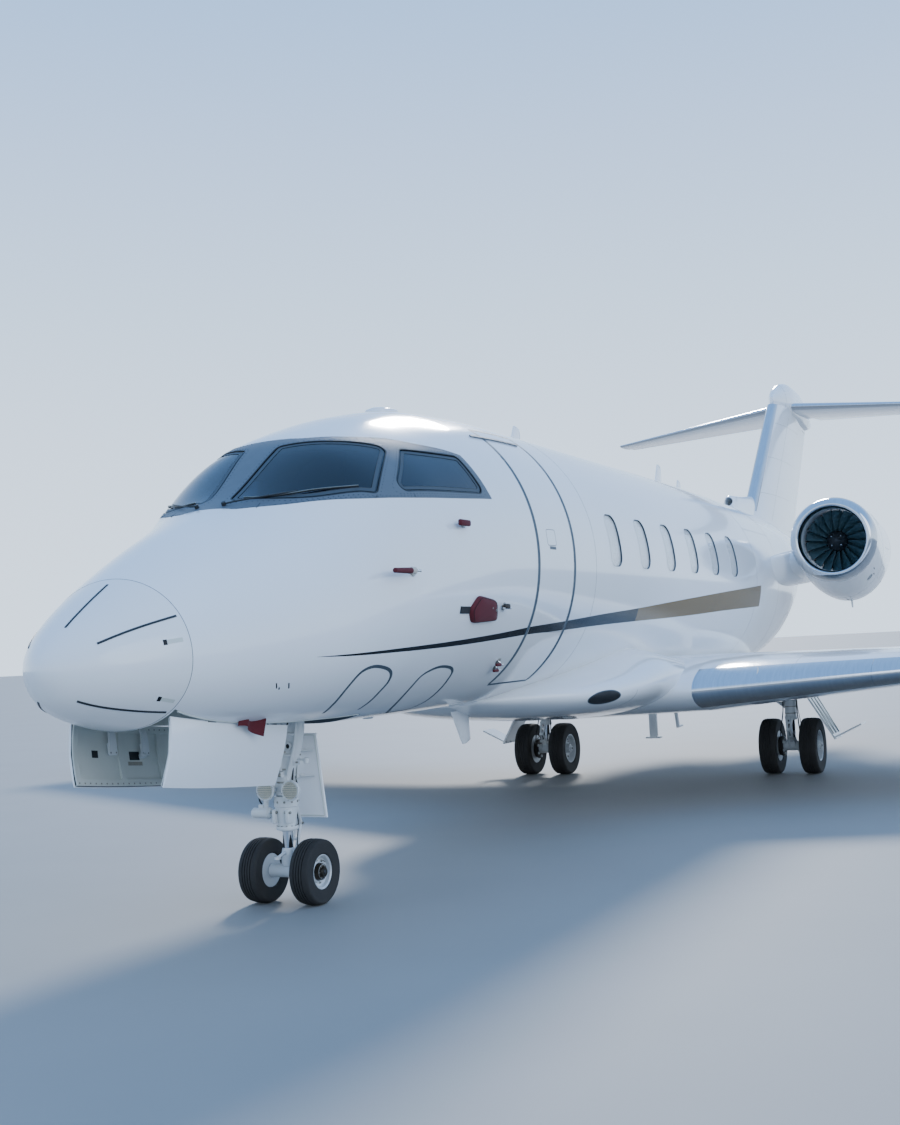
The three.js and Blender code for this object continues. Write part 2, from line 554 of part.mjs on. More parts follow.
const cowlInside = [[13.1, 0.425], [13.3, 0.425], [13.5, 0.44], [13.9, 0.45], [15.3, 0.45], [16.4, 0.375]];
// Both nacelles toe in: each turns about an upright line through its own intake
const inletStation = 13.0;
function toeIn(body) {
  const pivot = toRow([engineX, inletStation, 0]);
  return body.translate(pivot.map((v) => -v)).rotate([0, 0, nacelleToeDeg]).translate(pivot);
}
const cowlBody = toeIn(loft(cowlTable.map((row) => cowlRing(row)))
  .subtract(turned(cowlInside, 26, aboutY(engineX, engineZ))));
const cowlGrown = toeIn(loft(cowlTable.map((row) => cowlRing(row, skinGap))));
const lipProfile = [[13.175, 0.572], [13.10, 0.557], [13.04, 0.528], [13.008, 0.494], [13.0, 0.466],
  [13.02, 0.444], [13.08, 0.430], [13.175, 0.425]];
const lipBody = toeIn(turned(lipProfile, 26, aboutY(engineX, engineZ), true));

// Fan: spinner, disc and blades in one turning piece
const fanBlades = [];
const bladeCount = 18;
for (let i = 0; i < bladeCount; i++) {
  const a = i * 2 * Math.PI / bladeCount;
  const blade = [[0.13, 0.065, 0.045], [0.428, 0.030, 0.075]].map(([r, along, across]) => {
    const corner = (p, q) => {
      const angle = a + q / r;
      return [engineX + r * Math.cos(angle), 13.60 + p, engineZ + r * Math.sin(angle)];
    };
    return [corner(-along, -across / 2 - 0.006), corner(-along, -across / 2 + 0.006),
      corner(along, across / 2 + 0.006), corner(along, across / 2 - 0.006)];
  });
  fanBlades.push(loft(blade));
}
const spinnerProfile = [[13.40, 0], [13.43, 0.055], [13.50, 0.115], [13.54, 0.145], [13.68, 0.155],
  [13.68, 0.06], [13.9596, 0.06], [13.9596, 0]];
const fanBody = toeIn(unite(turned(spinnerProfile, 20, aboutY(engineX, engineZ)), ...fanBlades));

// Engine: one plain block for the closed core, with the exhaust pipe and plug that show
const engineProfile = [[13.96, 0], [13.96, 0.38], [15.60, 0.38], [16.74, 0.345], [16.74, 0.325],
  [16.30, 0.31], [16.30, 0.16], [16.98, 0.02], [16.98, 0]];
const engineLug = (s) => bar([engineX - 0.34, s, engineZ], [engineX - 0.4463, s, engineZ], 0.045, 8);
const engineCore = turned(engineProfile, 24, aboutY(engineX, engineZ));
const engineBody = toeIn(unite(engineCore, engineLug(14.4), engineLug(15.1)));

// Pylon between fuselage and nacelle. Columns: x, nose station, chord, height, thickness ratio
const pylonTable = [
  [0.50, 12.05, 4.60, 2.50, 0.096],
  [1.03, 12.28, 4.30, 2.55, 0.096],
  [1.17, 13.20, 2.95, 2.65, 0.145],
  [1.60, 13.40, 2.65, 2.69, 0.150],
];
const pylonBody = loft(pylonTable.map((row) => foilRing(row, 0, 1)))
  .subtract(hullGrown).subtract(cowlGrown);

// Fin, rudder and the bullet on top. Fin edges are straight lines in side view
const finNose = (z) => 15.92 + (z - 3.86) * 1.0272;
const finHinge = (z) => 18.02 + (z - 3.27) * 0.8424;
const finTail = (z) => 18.75 + (z - 3.30) * 0.7800;
function finRing(z, c0, c1, slim = 0) {
  const [nose, chord] = [finNose(z), finTail(z) - finNose(z)];
  const list = chordPlaces(c0, c1);
  const half = (c) => Math.max(chord * 0.105 * halfThickness(c) - slim, 0.0015);
  const at = (c, side) => [side * half(c), nose + chord * c, z];
  const ring = [...list.map((c) => at(c, 1)), ...list.map((c) => at(c, -1)).reverse()];
  return c0 === 0 ? [[0, nose, z], ...ring.slice(1, -1)] : ring;
}
const hingeFraction = (z) => (finHinge(z) - finNose(z)) / (finTail(z) - finNose(z));

// Bullet sections. Columns: station, half width, top, bottom
const bulletTable = [
  [17.86, 0.030, 5.76, 5.66],
  [18.10, 0.110, 5.93, 5.56],
  [18.45, 0.165, 6.07, 5.47],
  [18.90, 0.185, 6.14, 5.42],
  [19.50, 0.180, 6.10, 5.41],
  [20.10, 0.135, 5.95, 5.44],
  [20.60, 0.075, 5.80, 5.50],
  [20.98, 0.015, 5.68, 5.60],
];
const bulletRing = ([s, w, top, bottom], grow = 0) => Array.from({ length: 16 }, (_, i) => {
  const a = (i + 0.5) * Math.PI / 8;
  return [(w + grow) * Math.cos(a), s, (top + bottom) / 2 + ((top - bottom) / 2 + grow) * Math.sin(a)];
});
addPart('tail_bullet', loft(bulletTable.map((row) => bulletRing(row))), white);
const bulletGrown = loft(bulletTable.map((row) => bulletRing(row, skinGap)));
const scoopTable = [[14.87, 0.095, 3.42, 3.80], [15.3, 0.105, 3.40, 3.82], [16.3, 0.06, 3.40, 3.90]];
const scoop = loft(scoopTable.map(([s, w, z0, z1]) => [[-w, s, z0], [w, s, z0], [w, s, z1 - 0.05],
  [w * 0.6, s, z1], [-w * 0.6, s, z1], [-w, s, z1 - 0.05]]))
  .subtract(bar([0, 14.6, 3.695], [0, 15.1, 3.695], 0.07, 12));
const finBody = loft([3.20, 5.62].map((z) => finRing(z, 0, hingeFraction(z) - 0.00006)))
  .add(scoop).subtract(hullGrown).subtract(bulletGrown);
addPart('fin', finBody, white);
const rudderBody = loft([3.43, 5.395].map((z) => finRing(z, hingeFraction(z) + 0.00006, 1, 0.002)))
  .subtract(bulletGrown);
addPart('rudder', rudderBody, white);

const tailBody = wingPiece(tailTable, [0.05, 3.64], same(0), same(0.70)).subtract(bulletGrown);
const elevatorStart = (x) => 0.70 + skinGap / spanRow(tailTable, x)[2];
const elevatorBody = wingPiece(tailTable, [0.25, 3.60], elevatorStart, same(1), 0.001)
  .subtract(bulletGrown);

// Flap track fairings: canoe shapes under the hinge line, split there between wing and flap
const trackPlaces = [2.35, 3.95, 5.60];
const hingeAt = (x) => spanRow(hingeTable, x)[1];
function canoe(x) {
  const [, , , z] = spanRow(wingTable, x);
  const columns = [[-0.75, 0.012, 0.02, 0.0], [-0.50, 0.055, 0.075, -0.03], [-0.10, 0.075, 0.105, -0.045],
    [0.25, 0.065, 0.085, -0.03], [0.62, 0.012, 0.02, 0.03]];
  return loft(columns.map(([along, half, tall, lift]) => Array.from({ length: 8 }, (_, i) => {
    const a = (i + 0.5) * Math.PI / 4;
    return [x + half * Math.cos(a), hingeAt(x) + along, z - 0.02 + lift + tall * Math.sin(a)];
  })));
}
const hingeZone = (from, shift) => loft([0.6, 2.0].map((z) => [
  ...[1.6, wingKinkX, 6.4].map((x) => [x, from, z]),
  ...[6.4, wingKinkX, 1.6].map((x) => [x, hingeAt(x) + shift, z]),
]));
const tracks = trackPlaces.map(canoe);
const wingTracks = tracks.map((body) => body.intersect(hingeZone(5, 0)));
const flapTracks = tracks.map((body) => body.intersect(hingeZone(15, skinGap)));

const boxStart = (x) => edge + skinGap / spanRow(wingTable, x)[2];
const wingBody = wingPiece(wingTable, [wingRootX, wingKinkX, wingTipX], boxStart, flapStart)
  .add(wingPiece(wingTable, [9.10, wingTipX], (x) => flapStart(x) - 0.02, same(1)))
  .subtract(block(wingRootX - 0.1, 1.72, mainGearStation - 0.11, mainGearStation + 0.11, 0.7, 1.14))
  .add(unite(jackPad(2.60, 9.60, 1.045, 1.12), ...wingTracks));
const edgeBody = wingPiece(wingTable, [wingRootX, wingKinkX, wingTipX], same(0), same(edge));
const flapGap = (x) => flapStart(x) + skinGap / spanRow(wingTable, x)[2];
const flapPlate = wingPiece(wingTable, [wingRootX + 0.01, wingKinkX, 6.30], flapGap, same(1), 0.002);
const flapBody = unite(flapPlate, ...flapTracks);
const aileronBody = wingPiece(wingTable, [6.315, 9.085], flapGap, same(1), 0.002);

// Canted winglet. Columns: x, z, nose station, chord, lean of the section in degrees
const wingletTable = [
  [wingTipX + skinGap, 1.558, 11.36, 1.24, 0],
  [9.72, 1.640, 11.56, 1.08, 22],
  [9.98, 1.850, 11.80, 0.93, 48],
  [10.50, 2.780, 12.72, 0.42, 62],
];
const wingletBody = loft(wingletTable.map(([x, z, nose, chord, lean]) => {
  const a = lean * Math.PI / 180;
  return foilRing([0, nose, chord, 0, 0.09], 0, 1)
    .map(([, s, h]) => [x - h * Math.sin(a), s, z + h * Math.cos(a)]);
}));

// Landing gear: wheel sets turn on the leg; hubs of one set share their axle
function tyre(x, s, z, radius, inner, halfWidth) {
  const h = halfWidth;
  const seat = (inner + skinGap) / Math.cos(Math.PI / 22);
  const profile = [[-0.85, seat], [-1, (inner + radius) / 2], [-0.66, radius],
    [0.66, radius], [1, (inner + radius) / 2], [0.85, seat]];
  const ring = ([along, r]) => Array.from({ length: 22 }, (_, i) =>
    aboutX(s, z)(x + along * h, r, i * 2 * Math.PI / 22));
  return loft(profile.map(ring), true);
}
function hubPair(centre, offset, s, z, rim, halfWidth, axle) {
  const profile = [];
  for (const side of [-1, 1]) {
    const x = centre + side * offset;
    const half = [[halfWidth + 0.02, 0.055], [halfWidth, 0.055], [halfWidth, rim], [-halfWidth, rim],
      [-halfWidth, axle]].map(([a, r]) => [x + side * a, r]);
    profile.push(...(side < 0 ? half : half.reverse()));
  }
  const first = [profile[0][0], 0];
  const last = [profile[profile.length - 1][0], 0];
  return turned([first, ...profile, last], 16, aboutX(s, z));
}
const knuckle = (x, half, s, z, radius, bore) => bar([x - half, s, z], [x + half, s, z], radius, 16)
  .subtract(bar([x - half - 0.01, s, z], [x + half + 0.01, s, z], bore, 16));

function mainLeg() {
  const [x, s, z] = [mainGearX, mainGearStation, mainTyreRadius];
  const arm = unite(
    bar([x, s, 0.62], [x, s, 1.14 - skinGap], 0.068, 12),
    bar([x, s, z + 0.05], [x, s, 0.64], 0.045, 10),
    bar([x, s - 0.06, 0.70], [x, s - 0.15, 0.52], 0.018, 8),
    bar([x, s - 0.15, 0.53], [x, s - 0.04, 0.36], 0.018, 8),
    bar([x, s, 0.72], [x, s - 0.08, 0.70], 0.03, 8),
    bar([x - 0.03, s, 0.80], [x - 0.46, s, 1.06], 0.024, 8),
    bar([x + 0.04, s, 0.90], [x + 0.2242, s, 0.93], 0.018, 8),
  ).subtract(bar([x - 0.3, s, z], [x + 0.3, s, z], 0.03875, 16));
  return arm.add(knuckle(x, 0.153 - skinGap, s, z, 0.072, 0.03875));
}
const slab = (a, b, s0, s1, thick) => {
  const [dx, dz] = [b[0] - a[0], b[1] - a[1]];
  const size = Math.hypot(dx, dz);
  const [nx, nz] = [-dz / size * thick, dx / size * thick];
  const ring = (s) => [[a[0], s, a[1]], [b[0], s, b[1]],
    [b[0] + nx, s, b[1] + nz], [a[0] + nx, s, a[1] + nz]];
  return loft([ring(s0), ring(s1)]);
};
// Leg door: a slanting panel outboard of the leg with its lower flap turned out
const legDoorBody = unite(
  slab([1.79, 0.99], [2.13, 0.41], 10.66, 11.06, 0.02),
  slab([2.12, 0.42], [2.44, 0.575], 10.70, 11.02, 0.02),
);

for (const [side, label] of [[1, 'port'], [-1, 'starboard']]) {
  const flip = side < 0;
  addPart(`wing_${label}`, wingBody, white, flip);
  addPart(`wing_leading_edge_${label}`, edgeBody, polished, flip);
  addPart(`flap_${label}`, flapBody, white, flip);
  addPart(`aileron_${label}`, aileronBody, white, flip);
  addPart(`winglet_${label}`, wingletBody, white, flip);
  addPart(`tailplane_${label}`, tailBody, white, flip);
  addPart(`elevator_${label}`, elevatorBody, white, flip);
  addPart(`nacelle_cowl_${label}`, cowlBody, white, flip);
  addPart(`intake_lip_${label}`, lipBody, polished, flip);
  addPart(`fan_${label}`, fanBody, darkMetal, flip);
  addPart(`engine_${label}`, engineBody, darkMetal, flip);
  addPart(`engine_pylon_${label}`, pylonBody, white, flip);
  addPart(`main_gear_leg_${label}`, mainLeg(), gearPaint, flip);
  addPart(`main_gear_door_${label}`, legDoorBody, white, flip);
  addPart(`main_wheel_hubs_${label}`, hubPair(mainGearX, mainWheelOffset, mainGearStation, mainTyreRadius,
    0.178, 0.085, 0.0375), gearPaint, flip);
  const tyres = [['inner', -mainWheelOffset], ['outer', mainWheelOffset]];
  for (const [place, offset] of tyres) {
    addPart(`main_tyre_${place}_${label}`,
      tyre(mainGearX + offset, mainGearStation, mainTyreRadius, mainTyreRadius, 0.178, 0.10), rubber, flip);
  }
  addPart(`nose_tyre_${label}`,
    tyre(noseWheelOffset, noseGearStation, noseTyreRadius, noseTyreRadius, 0.115, 0.075), rubber, flip);
}

const [ns, nz] = [noseGearStation, noseTyreRadius];
const lamp = { x: 0.104, z: 0.79, radius: 0.06, front: ns - 0.11 };
const upright = ([z, half, depth]) => [[-half, ns - depth, z], [half, ns - depth, z], [half, ns + depth, z],
  [-half, ns + depth, z]];
const plateRing = (s) => [[-0.19, s, 0.565], [0.19, s, 0.565], [0.125, s, 1.16], [-0.125, s, 1.16]];
addPart('nose_gear_leg', unite(
  bar([0, ns, 0.745], [0, ns, bay.roof - bay.wall - skinGap], 0.062, 14),
  loft([[0.87, 0.066, 0.062], [1.18, 0.095, 0.07], [1.30, 0.13, 0.075]].map(upright)),
  bar([0, ns + 0.03, 1.00], [0, 2.70, 1.55], 0.022, 8),
  bar([-lamp.x, ns - 0.04, lamp.z + 0.02], [lamp.x, ns - 0.04, lamp.z + 0.02], 0.018, 8),
  bar([0, ns - 0.04, lamp.z + 0.02], [0, ns, 0.86], 0.03, 8),
  ...[-lamp.x, lamp.x].map((x) =>
    bar([x, lamp.front, lamp.z], [x, ns - 0.02, lamp.z], lamp.radius, 14, lamp.radius * 0.7)),
  bar([0, ns, 0.84], [-0.17, ns, 0.72], 0.02, 8),
  bar([-0.11, ns, 0.70], [-0.26, ns, 0.70], 0.034, 12),
  bar([0, ns, 1.04], [0, 2.66, 1.04], 0.015, 8),
  bar([0, ns, 0.86], [0, 2.66, 0.86], 0.015, 8),
  loft([plateRing(2.65), plateRing(2.67)]),
), gearPaint);
addPart('nose_gear_piston', unite(
  bar([0, ns, 0.665], [0, ns, 0.745 - skinGap], 0.085, 14),
  bar([0, ns, nz + 0.05], [0, ns, 0.68], 0.042, 12),
  bar([0, ns + 0.05, 0.69], [0, ns + 0.15, 0.53], 0.018, 8),
  bar([0, ns + 0.15, 0.54], [0, ns + 0.03, 0.34], 0.018, 8),
  bar([0, ns, 0.36], [0, ns - 0.14, 0.33], 0.02, 8),
).subtract(bar([-0.3, ns, nz], [0.3, ns, nz], 0.02910, 16))
  .add(knuckle(0, 0.148 - skinGap, ns, nz, 0.055, 0.02910)), gearPaint);
addPart('nose_wheel_hubs', hubPair(0, noseWheelOffset, ns, nz, 0.115, 0.062, 0.028), gearPaint);

export default group;
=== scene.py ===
# Business jet parked on its gear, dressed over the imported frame.
# Row frame in metres: +X port, -Y towards the nose, +Z up. A station is metres aft of the nose datum.
import math

import bpy
import numpy as np
from mathutils import Matrix, Vector


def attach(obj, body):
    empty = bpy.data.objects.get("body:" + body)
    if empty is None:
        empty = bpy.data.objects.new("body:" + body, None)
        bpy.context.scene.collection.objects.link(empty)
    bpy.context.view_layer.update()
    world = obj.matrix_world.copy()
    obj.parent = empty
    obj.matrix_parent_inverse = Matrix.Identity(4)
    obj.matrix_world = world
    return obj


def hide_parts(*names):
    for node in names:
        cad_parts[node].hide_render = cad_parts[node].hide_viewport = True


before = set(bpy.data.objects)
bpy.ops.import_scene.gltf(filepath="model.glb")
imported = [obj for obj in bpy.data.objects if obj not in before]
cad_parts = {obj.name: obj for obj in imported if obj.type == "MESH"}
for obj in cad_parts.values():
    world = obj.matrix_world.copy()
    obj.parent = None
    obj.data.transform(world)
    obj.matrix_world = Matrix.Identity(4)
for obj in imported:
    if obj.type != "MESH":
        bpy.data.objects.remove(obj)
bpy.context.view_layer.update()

midStation = 10.54  # the station over the frame's origin


def linear(hexText):
    # sRGB hex to linear: a straight part near black, then a power of 2.4
    values = [int(hexText[i:i + 2], 16) / 255 for i in (0, 2, 4)]
    return [v / 12.92 if v <= 0.04045 else ((v + 0.055) / 1.055) ** 2.4 for v in values] + [1.0]


def add(tree, kind, inputs=None, **settings):
    # one node with its settings; an input is a value or another node's output
    made = tree.nodes.new(kind)
    for key, value in settings.items():
        setattr(made, key, value)
    for key, value in (inputs or {}).items():
        if isinstance(value, bpy.types.NodeSocket):
            tree.links.new(value, made.inputs[key])
        else:
            made.inputs[key].default_value = value
    return made


# Each finish: its two tones, the size of the tone patches, the roughness range, then what lies on top.
# "grain" is the size in mm of the fine relief, "relief" its height in mm, "stretch" draws it out along one axis.
finishes = {
    # two-part polyurethane over filled skins: deep gloss, faint orange peel
    "polyurethaneWhite": dict(tones=("F3F5F7", "E9ECEF"), patch=1400, rough=(0.10, 0.16), grain=9, relief=0.012,
                              coat=0.5),
    # erosion coat on the glass-fibre radome: a little duller and warmer
    "radomeErosionCoat": dict(tones=("F1F2F2", "E6E8E9"), patch=700, rough=(0.16, 0.24), grain=7, relief=0.014,
                              coat=0.3),
    # hand-polished aluminium edges: bright with fine drawn lines
    "polishedAluminium": dict(tones=("C9CED4", "B4BAC1"), patch=260, rough=(0.07, 0.15), grain=3, relief=0.006,
                              metal=1.0, stretch=(12, 1, 1)),
    # bare riveted frame round the cockpit glass: satin rolled sheet
    "satinSheetAluminium": dict(tones=("5E6872", "545D67"), patch=60, rough=(0.45, 0.55), grain=2.5, relief=0.02,
                                metal=0.1),
    # dark bronze band: satin paint with a little metal in it
    "bronzeMetallicPaint": dict(tones=("6A5430", "745E38"), patch=900, rough=(0.2, 0.28), grain=3, relief=0.01,
                                metal=0.1, gloss=0.35),
    # midnight blue pin line
    "midnightPaint": dict(tones=("0A0E14", "121820"), patch=500, rough=(0.2, 0.28), grain=5, relief=0.01, gloss=0.2),
    # two-part sealant in skin joints
    "greySealant": dict(tones=("3F4B55", "35404A"), patch=40, rough=(0.5, 0.65), grain=2, relief=0.03),
    # painted shade of the door gap, laid round the doorway as a dusty blue-grey band
    "doorGapShade": dict(tones=("4B5A66", "3F4D58"), patch=60, rough=(0.5, 0.65), grain=3, relief=0.05),
    # countersunk steel rivets, darker than the sheet
    "rivetSteel": dict(tones=("2E353C", "3A424A"), patch=12, rough=(0.4, 0.5), grain=1.5, relief=0.02, metal=0.4),
    "blackSealant": dict(tones=("1A1D20", "25292D"), patch=40, rough=(0.45, 0.6), grain=2, relief=0.03),
    # sprayed polyamide epoxy on castings: light grey, slightly pebbled
    "gearEnamel": dict(tones=("E1E4E5", "CDD2D4"), patch=120, rough=(0.28, 0.42), grain=3, relief=0.04),
    # grey-green chromate primer and topcoat inside bays and doors
    "bayPrimer": dict(tones=("D3D7D1", "C2C7C1"), patch=160, rough=(0.45, 0.6), grain=4, relief=0.03),
    # forged and shot-peened wheel halves
    "wheelEnamel": dict(tones=("D3D7D9", "BCC1C4"), patch=90, rough=(0.3, 0.45), grain=1.6, relief=0.05, metal=0.25),
    "hardChrome": dict(tones=("E4E6E8", "D0D3D6"), patch=80, rough=(0.04, 0.08), grain=2, relief=0.004, metal=1.0),
    # bearing cap: bronze under a film of grease
    "greasedBronze": dict(tones=("4A4236", "2E2A25"), patch=25, rough=(0.25, 0.4), grain=2, relief=0.03, metal=0.8),
    # cream refractor behind the lamp glass
    "lampCream": dict(tones=("DDD8C6", "CBC6B2"), patch=30, rough=(0.3, 0.4), grain=3, relief=0.05),
    "zincSteel": dict(tones=("A9A69C", "8C8A82"), patch=20, rough=(0.3, 0.45), grain=1.5, relief=0.03, metal=1.0),
    "sinteredSteel": dict(tones=("4A4642", "38342F"), patch=30, rough=(0.5, 0.7), grain=2, relief=0.06, metal=0.7),
    # natural rubber, brushed by the runway: brownish black
    "tyreRubber": dict(tones=("232221", "2F2D2B"), patch=70, rough=(0.72, 0.9), grain=2.2, relief=0.12),
    "hoseRubber": dict(tones=("18191A", "242526"), patch=30, rough=(0.45, 0.6), grain=1.5, relief=0.05),
    # tarnished nickel alloy of the exhaust, straw to brown
    "burntAlloy": dict(tones=("6E6459", "423D3A"), patch=210, rough=(0.3, 0.5), grain=4, relief=0.04, metal=1.0),
    # wide-chord titanium fan blades in shadow, dark with a blue-green cast
    "fanTitanium": dict(tones=("49646B", "5B777D"), patch=120, rough=(0.3, 0.42), grain=2, relief=0.01, metal=0.5),
    "ductGrey": dict(tones=("9AA0A4", "868D92"), patch=200, rough=(0.35, 0.5), grain=3, relief=0.02),
    # moulded polycarbonate shades and liners behind the panes
    "shadeWhite": dict(tones=("F5F6F7", "ECEEF0"), patch=180, rough=(0.4, 0.5), grain=4, relief=0.03),
    "cabinLiner": dict(tones=("C9C4BA", "B8B2A7"), patch=300, rough=(0.6, 0.75), grain=5, relief=0.05),
    # full-grain leather with a visible pebble
    "greyLeather": dict(tones=("6A655E", "57524C"), patch=90, rough=(0.42, 0.58), grain=4, relief=0.35),
    # short wool pile, drawn coarser than it is so that it shows
    "woolCarpet": dict(tones=("585349", "6B6559"), patch=12, rough=(0.85, 0.95), grain=4, relief=0.9),
    "panelBlack": dict(tones=("15171A", "202327"), patch=90, rough=(0.5, 0.7), grain=2, relief=0.08),
    # dark display glass, unlit
    "displayGlass": dict(tones=("06080B", "0B1016"), patch=200, rough=(0.05, 0.08), grain=6, relief=0.002, coat=1.0),
    # red polyester webbing of the probe covers, with its plain weave
    "redWebbing": dict(tones=("4E0A17", "600F1D"), patch=18, rough=(0.75, 0.9), grain=2.6, relief=0.45, sheen=0.05),
    "gritTread": dict(tones=("2A2C2E", "3A3D40"), patch=10, rough=(0.85, 0.95), grain=2, relief=0.5),
}
# Clear pieces: tint, roughness, refractive index and a fine unevenness of the surface
glazing = {
    "stretchedAcrylic": dict(tint="F3F7F9", rough=0.02, ior=1.49, grain=160, relief=0.05, cover=0.4),
    # gold-heated laminate: its own slight tint, darkened with painted shade of the dark flight deck behind it, smoky
    # blue-grey
    "heatedWindshield": dict(tint="3D4C62", rough=0.02, ior=1.52, grain=220, relief=0.06),
    "ribbedLampGlass": dict(tint="EEF3F6", rough=0.03, ior=1.52, grain=8, relief=0.4, cover=0.55),
    "redLens": dict(tint="C81B1B", rough=0.05, ior=1.5, grain=9, relief=0.1),
    "greenLens": dict(tint="159A4C", rough=0.05, ior=1.5, grain=9, relief=0.1),
}
materials = {}


def startMaterial(name):
    made = bpy.data.materials.new(name)
    made.use_nodes = True
    tree = made.node_tree
    tree.nodes.clear()
    place = add(tree, "ShaderNodeTexCoord").outputs["Object"]
    shader = add(tree, "ShaderNodeBsdfPrincipled")
    add(tree, "ShaderNodeOutputMaterial", {"Surface": shader.outputs["BSDF"]})
    materials[name] = made
    return tree, place, shader


def addRelief(tree, place, shader, grain, height):
    # height in mm of a noise whose waves are "grain" mm long
    waves = add(tree, "ShaderNodeTexNoise", {"Vector": place, "Scale": 1000 / grain, "Detail": 2.0})
    bump = add(tree, "ShaderNodeBump", {"Strength": 1.0, "Distance": height / 1000,
                                        "Height": waves.outputs["Fac"]})
    tree.links.new(bump.outputs["Normal"], shader.inputs["Normal"])
    return waves


for finishName, look in finishes.items():
    tree, place, shader = startMaterial(finishName)
    if "stretch" in look:
        place = add(tree, "ShaderNodeMapping", {"Vector": place, "Scale": look["stretch"]}).outputs["Vector"]
    patches = add(tree, "ShaderNodeTexNoise", {"Vector": place, "Scale": 1000 / look["patch"], "Detail": 3.0})
    mixed = add(tree, "ShaderNodeMix", {"Factor": patches.outputs["Fac"]}, data_type="RGBA")
    mixed.inputs["A"].default_value = linear(look["tones"][0])
    mixed.inputs["B"].default_value = linear(look["tones"][1])
    tree.links.new(mixed.outputs["Result"], shader.inputs["Base Color"])
    waves = addRelief(tree, place, shader, look["grain"], look["relief"])
    spread = add(tree, "ShaderNodeMapRange", {"Value": waves.outputs["Fac"], "From Min": 0.3, "From Max": 0.7,
                                              "To Min": look["rough"][0], "To Max": look["rough"][1]})
    tree.links.new(spread.outputs["Result"], shader.inputs["Roughness"])
    shader.inputs["Metallic"].default_value = look.get("metal", 0.0)
    shader.inputs["Specular IOR Level"].default_value = look.get("gloss", 0.5)
    shader.inputs["Coat Weight"].default_value = look.get("coat", 0.0)
    shader.inputs["Coat Roughness"].default_value = 0.04
    shader.inputs["Sheen Weight"].default_value = look.get("sheen", 0.0)

for glassName, look in glazing.items():
    tree, place, shader = startMaterial(glassName)
    patches = add(tree, "ShaderNodeTexNoise", {"Vector": place, "Scale": 4.0})
    mixed = add(tree, "ShaderNodeMix", {"Factor": patches.outputs["Fac"]}, data_type="RGBA")
    mixed.inputs["A"].default_value = linear(look["tint"])
    mixed.inputs["B"].default_value = [v * 0.94 for v in linear(look["tint"])[:3]] + [1.0]
    tree.links.new(mixed.outputs["Result"], shader.inputs["Base Color"])
    addRelief(tree, place, shader, look["grain"], look["relief"])
    shader.inputs["Roughness"].default_value = look["rough"]
    shader.inputs["IOR"].default_value = look["ior"]
    shader.inputs["Transmission Weight"].default_value = 1.0
    shader.inputs["Alpha"].default_value = look.get("cover", 1.0)
print("materials", len(materials))


def row(x, s, z):
    # arrays of x, station and z to points in the row frame
    x, s, z = np.broadcast_arrays(np.asarray(x, float), np.asarray(s, float), np.asarray(z, float))
    return np.stack([x, s - midStation, z], -1)


def unit(vectors):
    return vectors / np.maximum(np.linalg.norm(vectors, axis=-1, keepdims=True), 1e-12)


def outward(verts, faces):
    # turns every face round when the signed volume over the origin's cone is negative
    volume = 0.0
    for f in faces:
        a = verts[f[:, 0]]
        for k in range(1, f.shape[1] - 1):
            volume += np.einsum("ij,ij->i", a, np.cross(verts[f[:, k]], verts[f[:, k + 1]])).sum()
    return verts, ([f[:, ::-1] for f in faces] if volume < 0 else faces)


def circle(count):
    # even angles round a full turn
    return np.linspace(0, 2 * np.pi, count, endpoint=False)


def skin(rows, ring=False, poles=(None, None)):
    # rows of closed loops joined by quads; the two ends close as fans on a pole, or on each other when ring
    rows = np.asarray(rows, float)
    count, around = rows.shape[:2]
    i = np.arange(count if ring else count - 1)[:, None]
    j = np.arange(around)[None, :]
    after, beside = (i + 1) % count, (j + 1) % around
    quads = np.stack([i * around + j, i * around + beside, after * around + beside, after * around + j], -1)
    faces = [quads.reshape(-1, 4)]
    verts = rows.reshape(-1, 3)
    if not ring:
        ends = [rows[e].mean(0) if poles[k] is None else np.asarray(poles[k], float) for k, e in enumerate((0, -1))]
        k = np.arange(around)
        first = np.stack([(k + 1) % around, k, np.full(around, len(verts))], -1)
        last = (count - 1) * around
        second = np.stack([last + k, last + (k + 1) % around, np.full(around, len(verts) + 1)], -1)
        verts = np.vstack([verts, ends])
        faces += [first, second]
    return outward(verts, faces)


def mirrored(part):
    # the same part across the centre plane
    verts, faces = part
    return verts * [-1, 1, 1], [f[:, ::-1] for f in faces]


def same(part):
    return part


both = (same, mirrored)
labelledSides = (("port", same), ("starboard", mirrored))


def placed(dressed, *turns):
    # the same parts and finishes, with each part put through the turns in order
    for turn in turns:
        dressed = [(turn(part), look) for part, look in dressed]
    return dressed


def moved(part, turn=None, shift=(0, 0, 0), about=(0, 0, 0)):
    # turned about a point by a 3x3 matrix, then shifted
    verts, faces = part
    if turn is not None:
        verts = (verts - about) @ np.array(turn).T + about
    return verts + np.asarray(shift, float), faces


def joined(*parts):
    # several parts as one list of points and faces
    points, faces, start = [], [], 0
    for verts, lists in parts:
        points.append(verts)
        faces += [f + start for f in lists]
        start += len(verts)
    return np.concatenate(points), faces


def stamped(part, places, across, along, up):
    # one small part repeated: x of the part runs along "across", y along "along", z along "up"
    verts, faces = part
    axes = np.stack([across, along, up], 1)
    points = places[:, None, :] + np.einsum("vk,nkc->nvc", verts, axes)
    steps = np.arange(len(places)) * len(verts)
    return points.reshape(-1, 3), [(f[None] + steps[:, None, None]).reshape(-1, f.shape[1]) for f in faces]


def crossFrame(direction):
    # two unit vectors square to a direction
    direction = unit(np.asarray(direction, float))
    guide = np.where(np.abs(direction[..., 2:3]) < 0.9, [0.0, 0.0, 1.0], [0.0, 1.0, 0.0])
    side = unit(np.cross(guide, direction))
    return side, np.cross(direction, side)


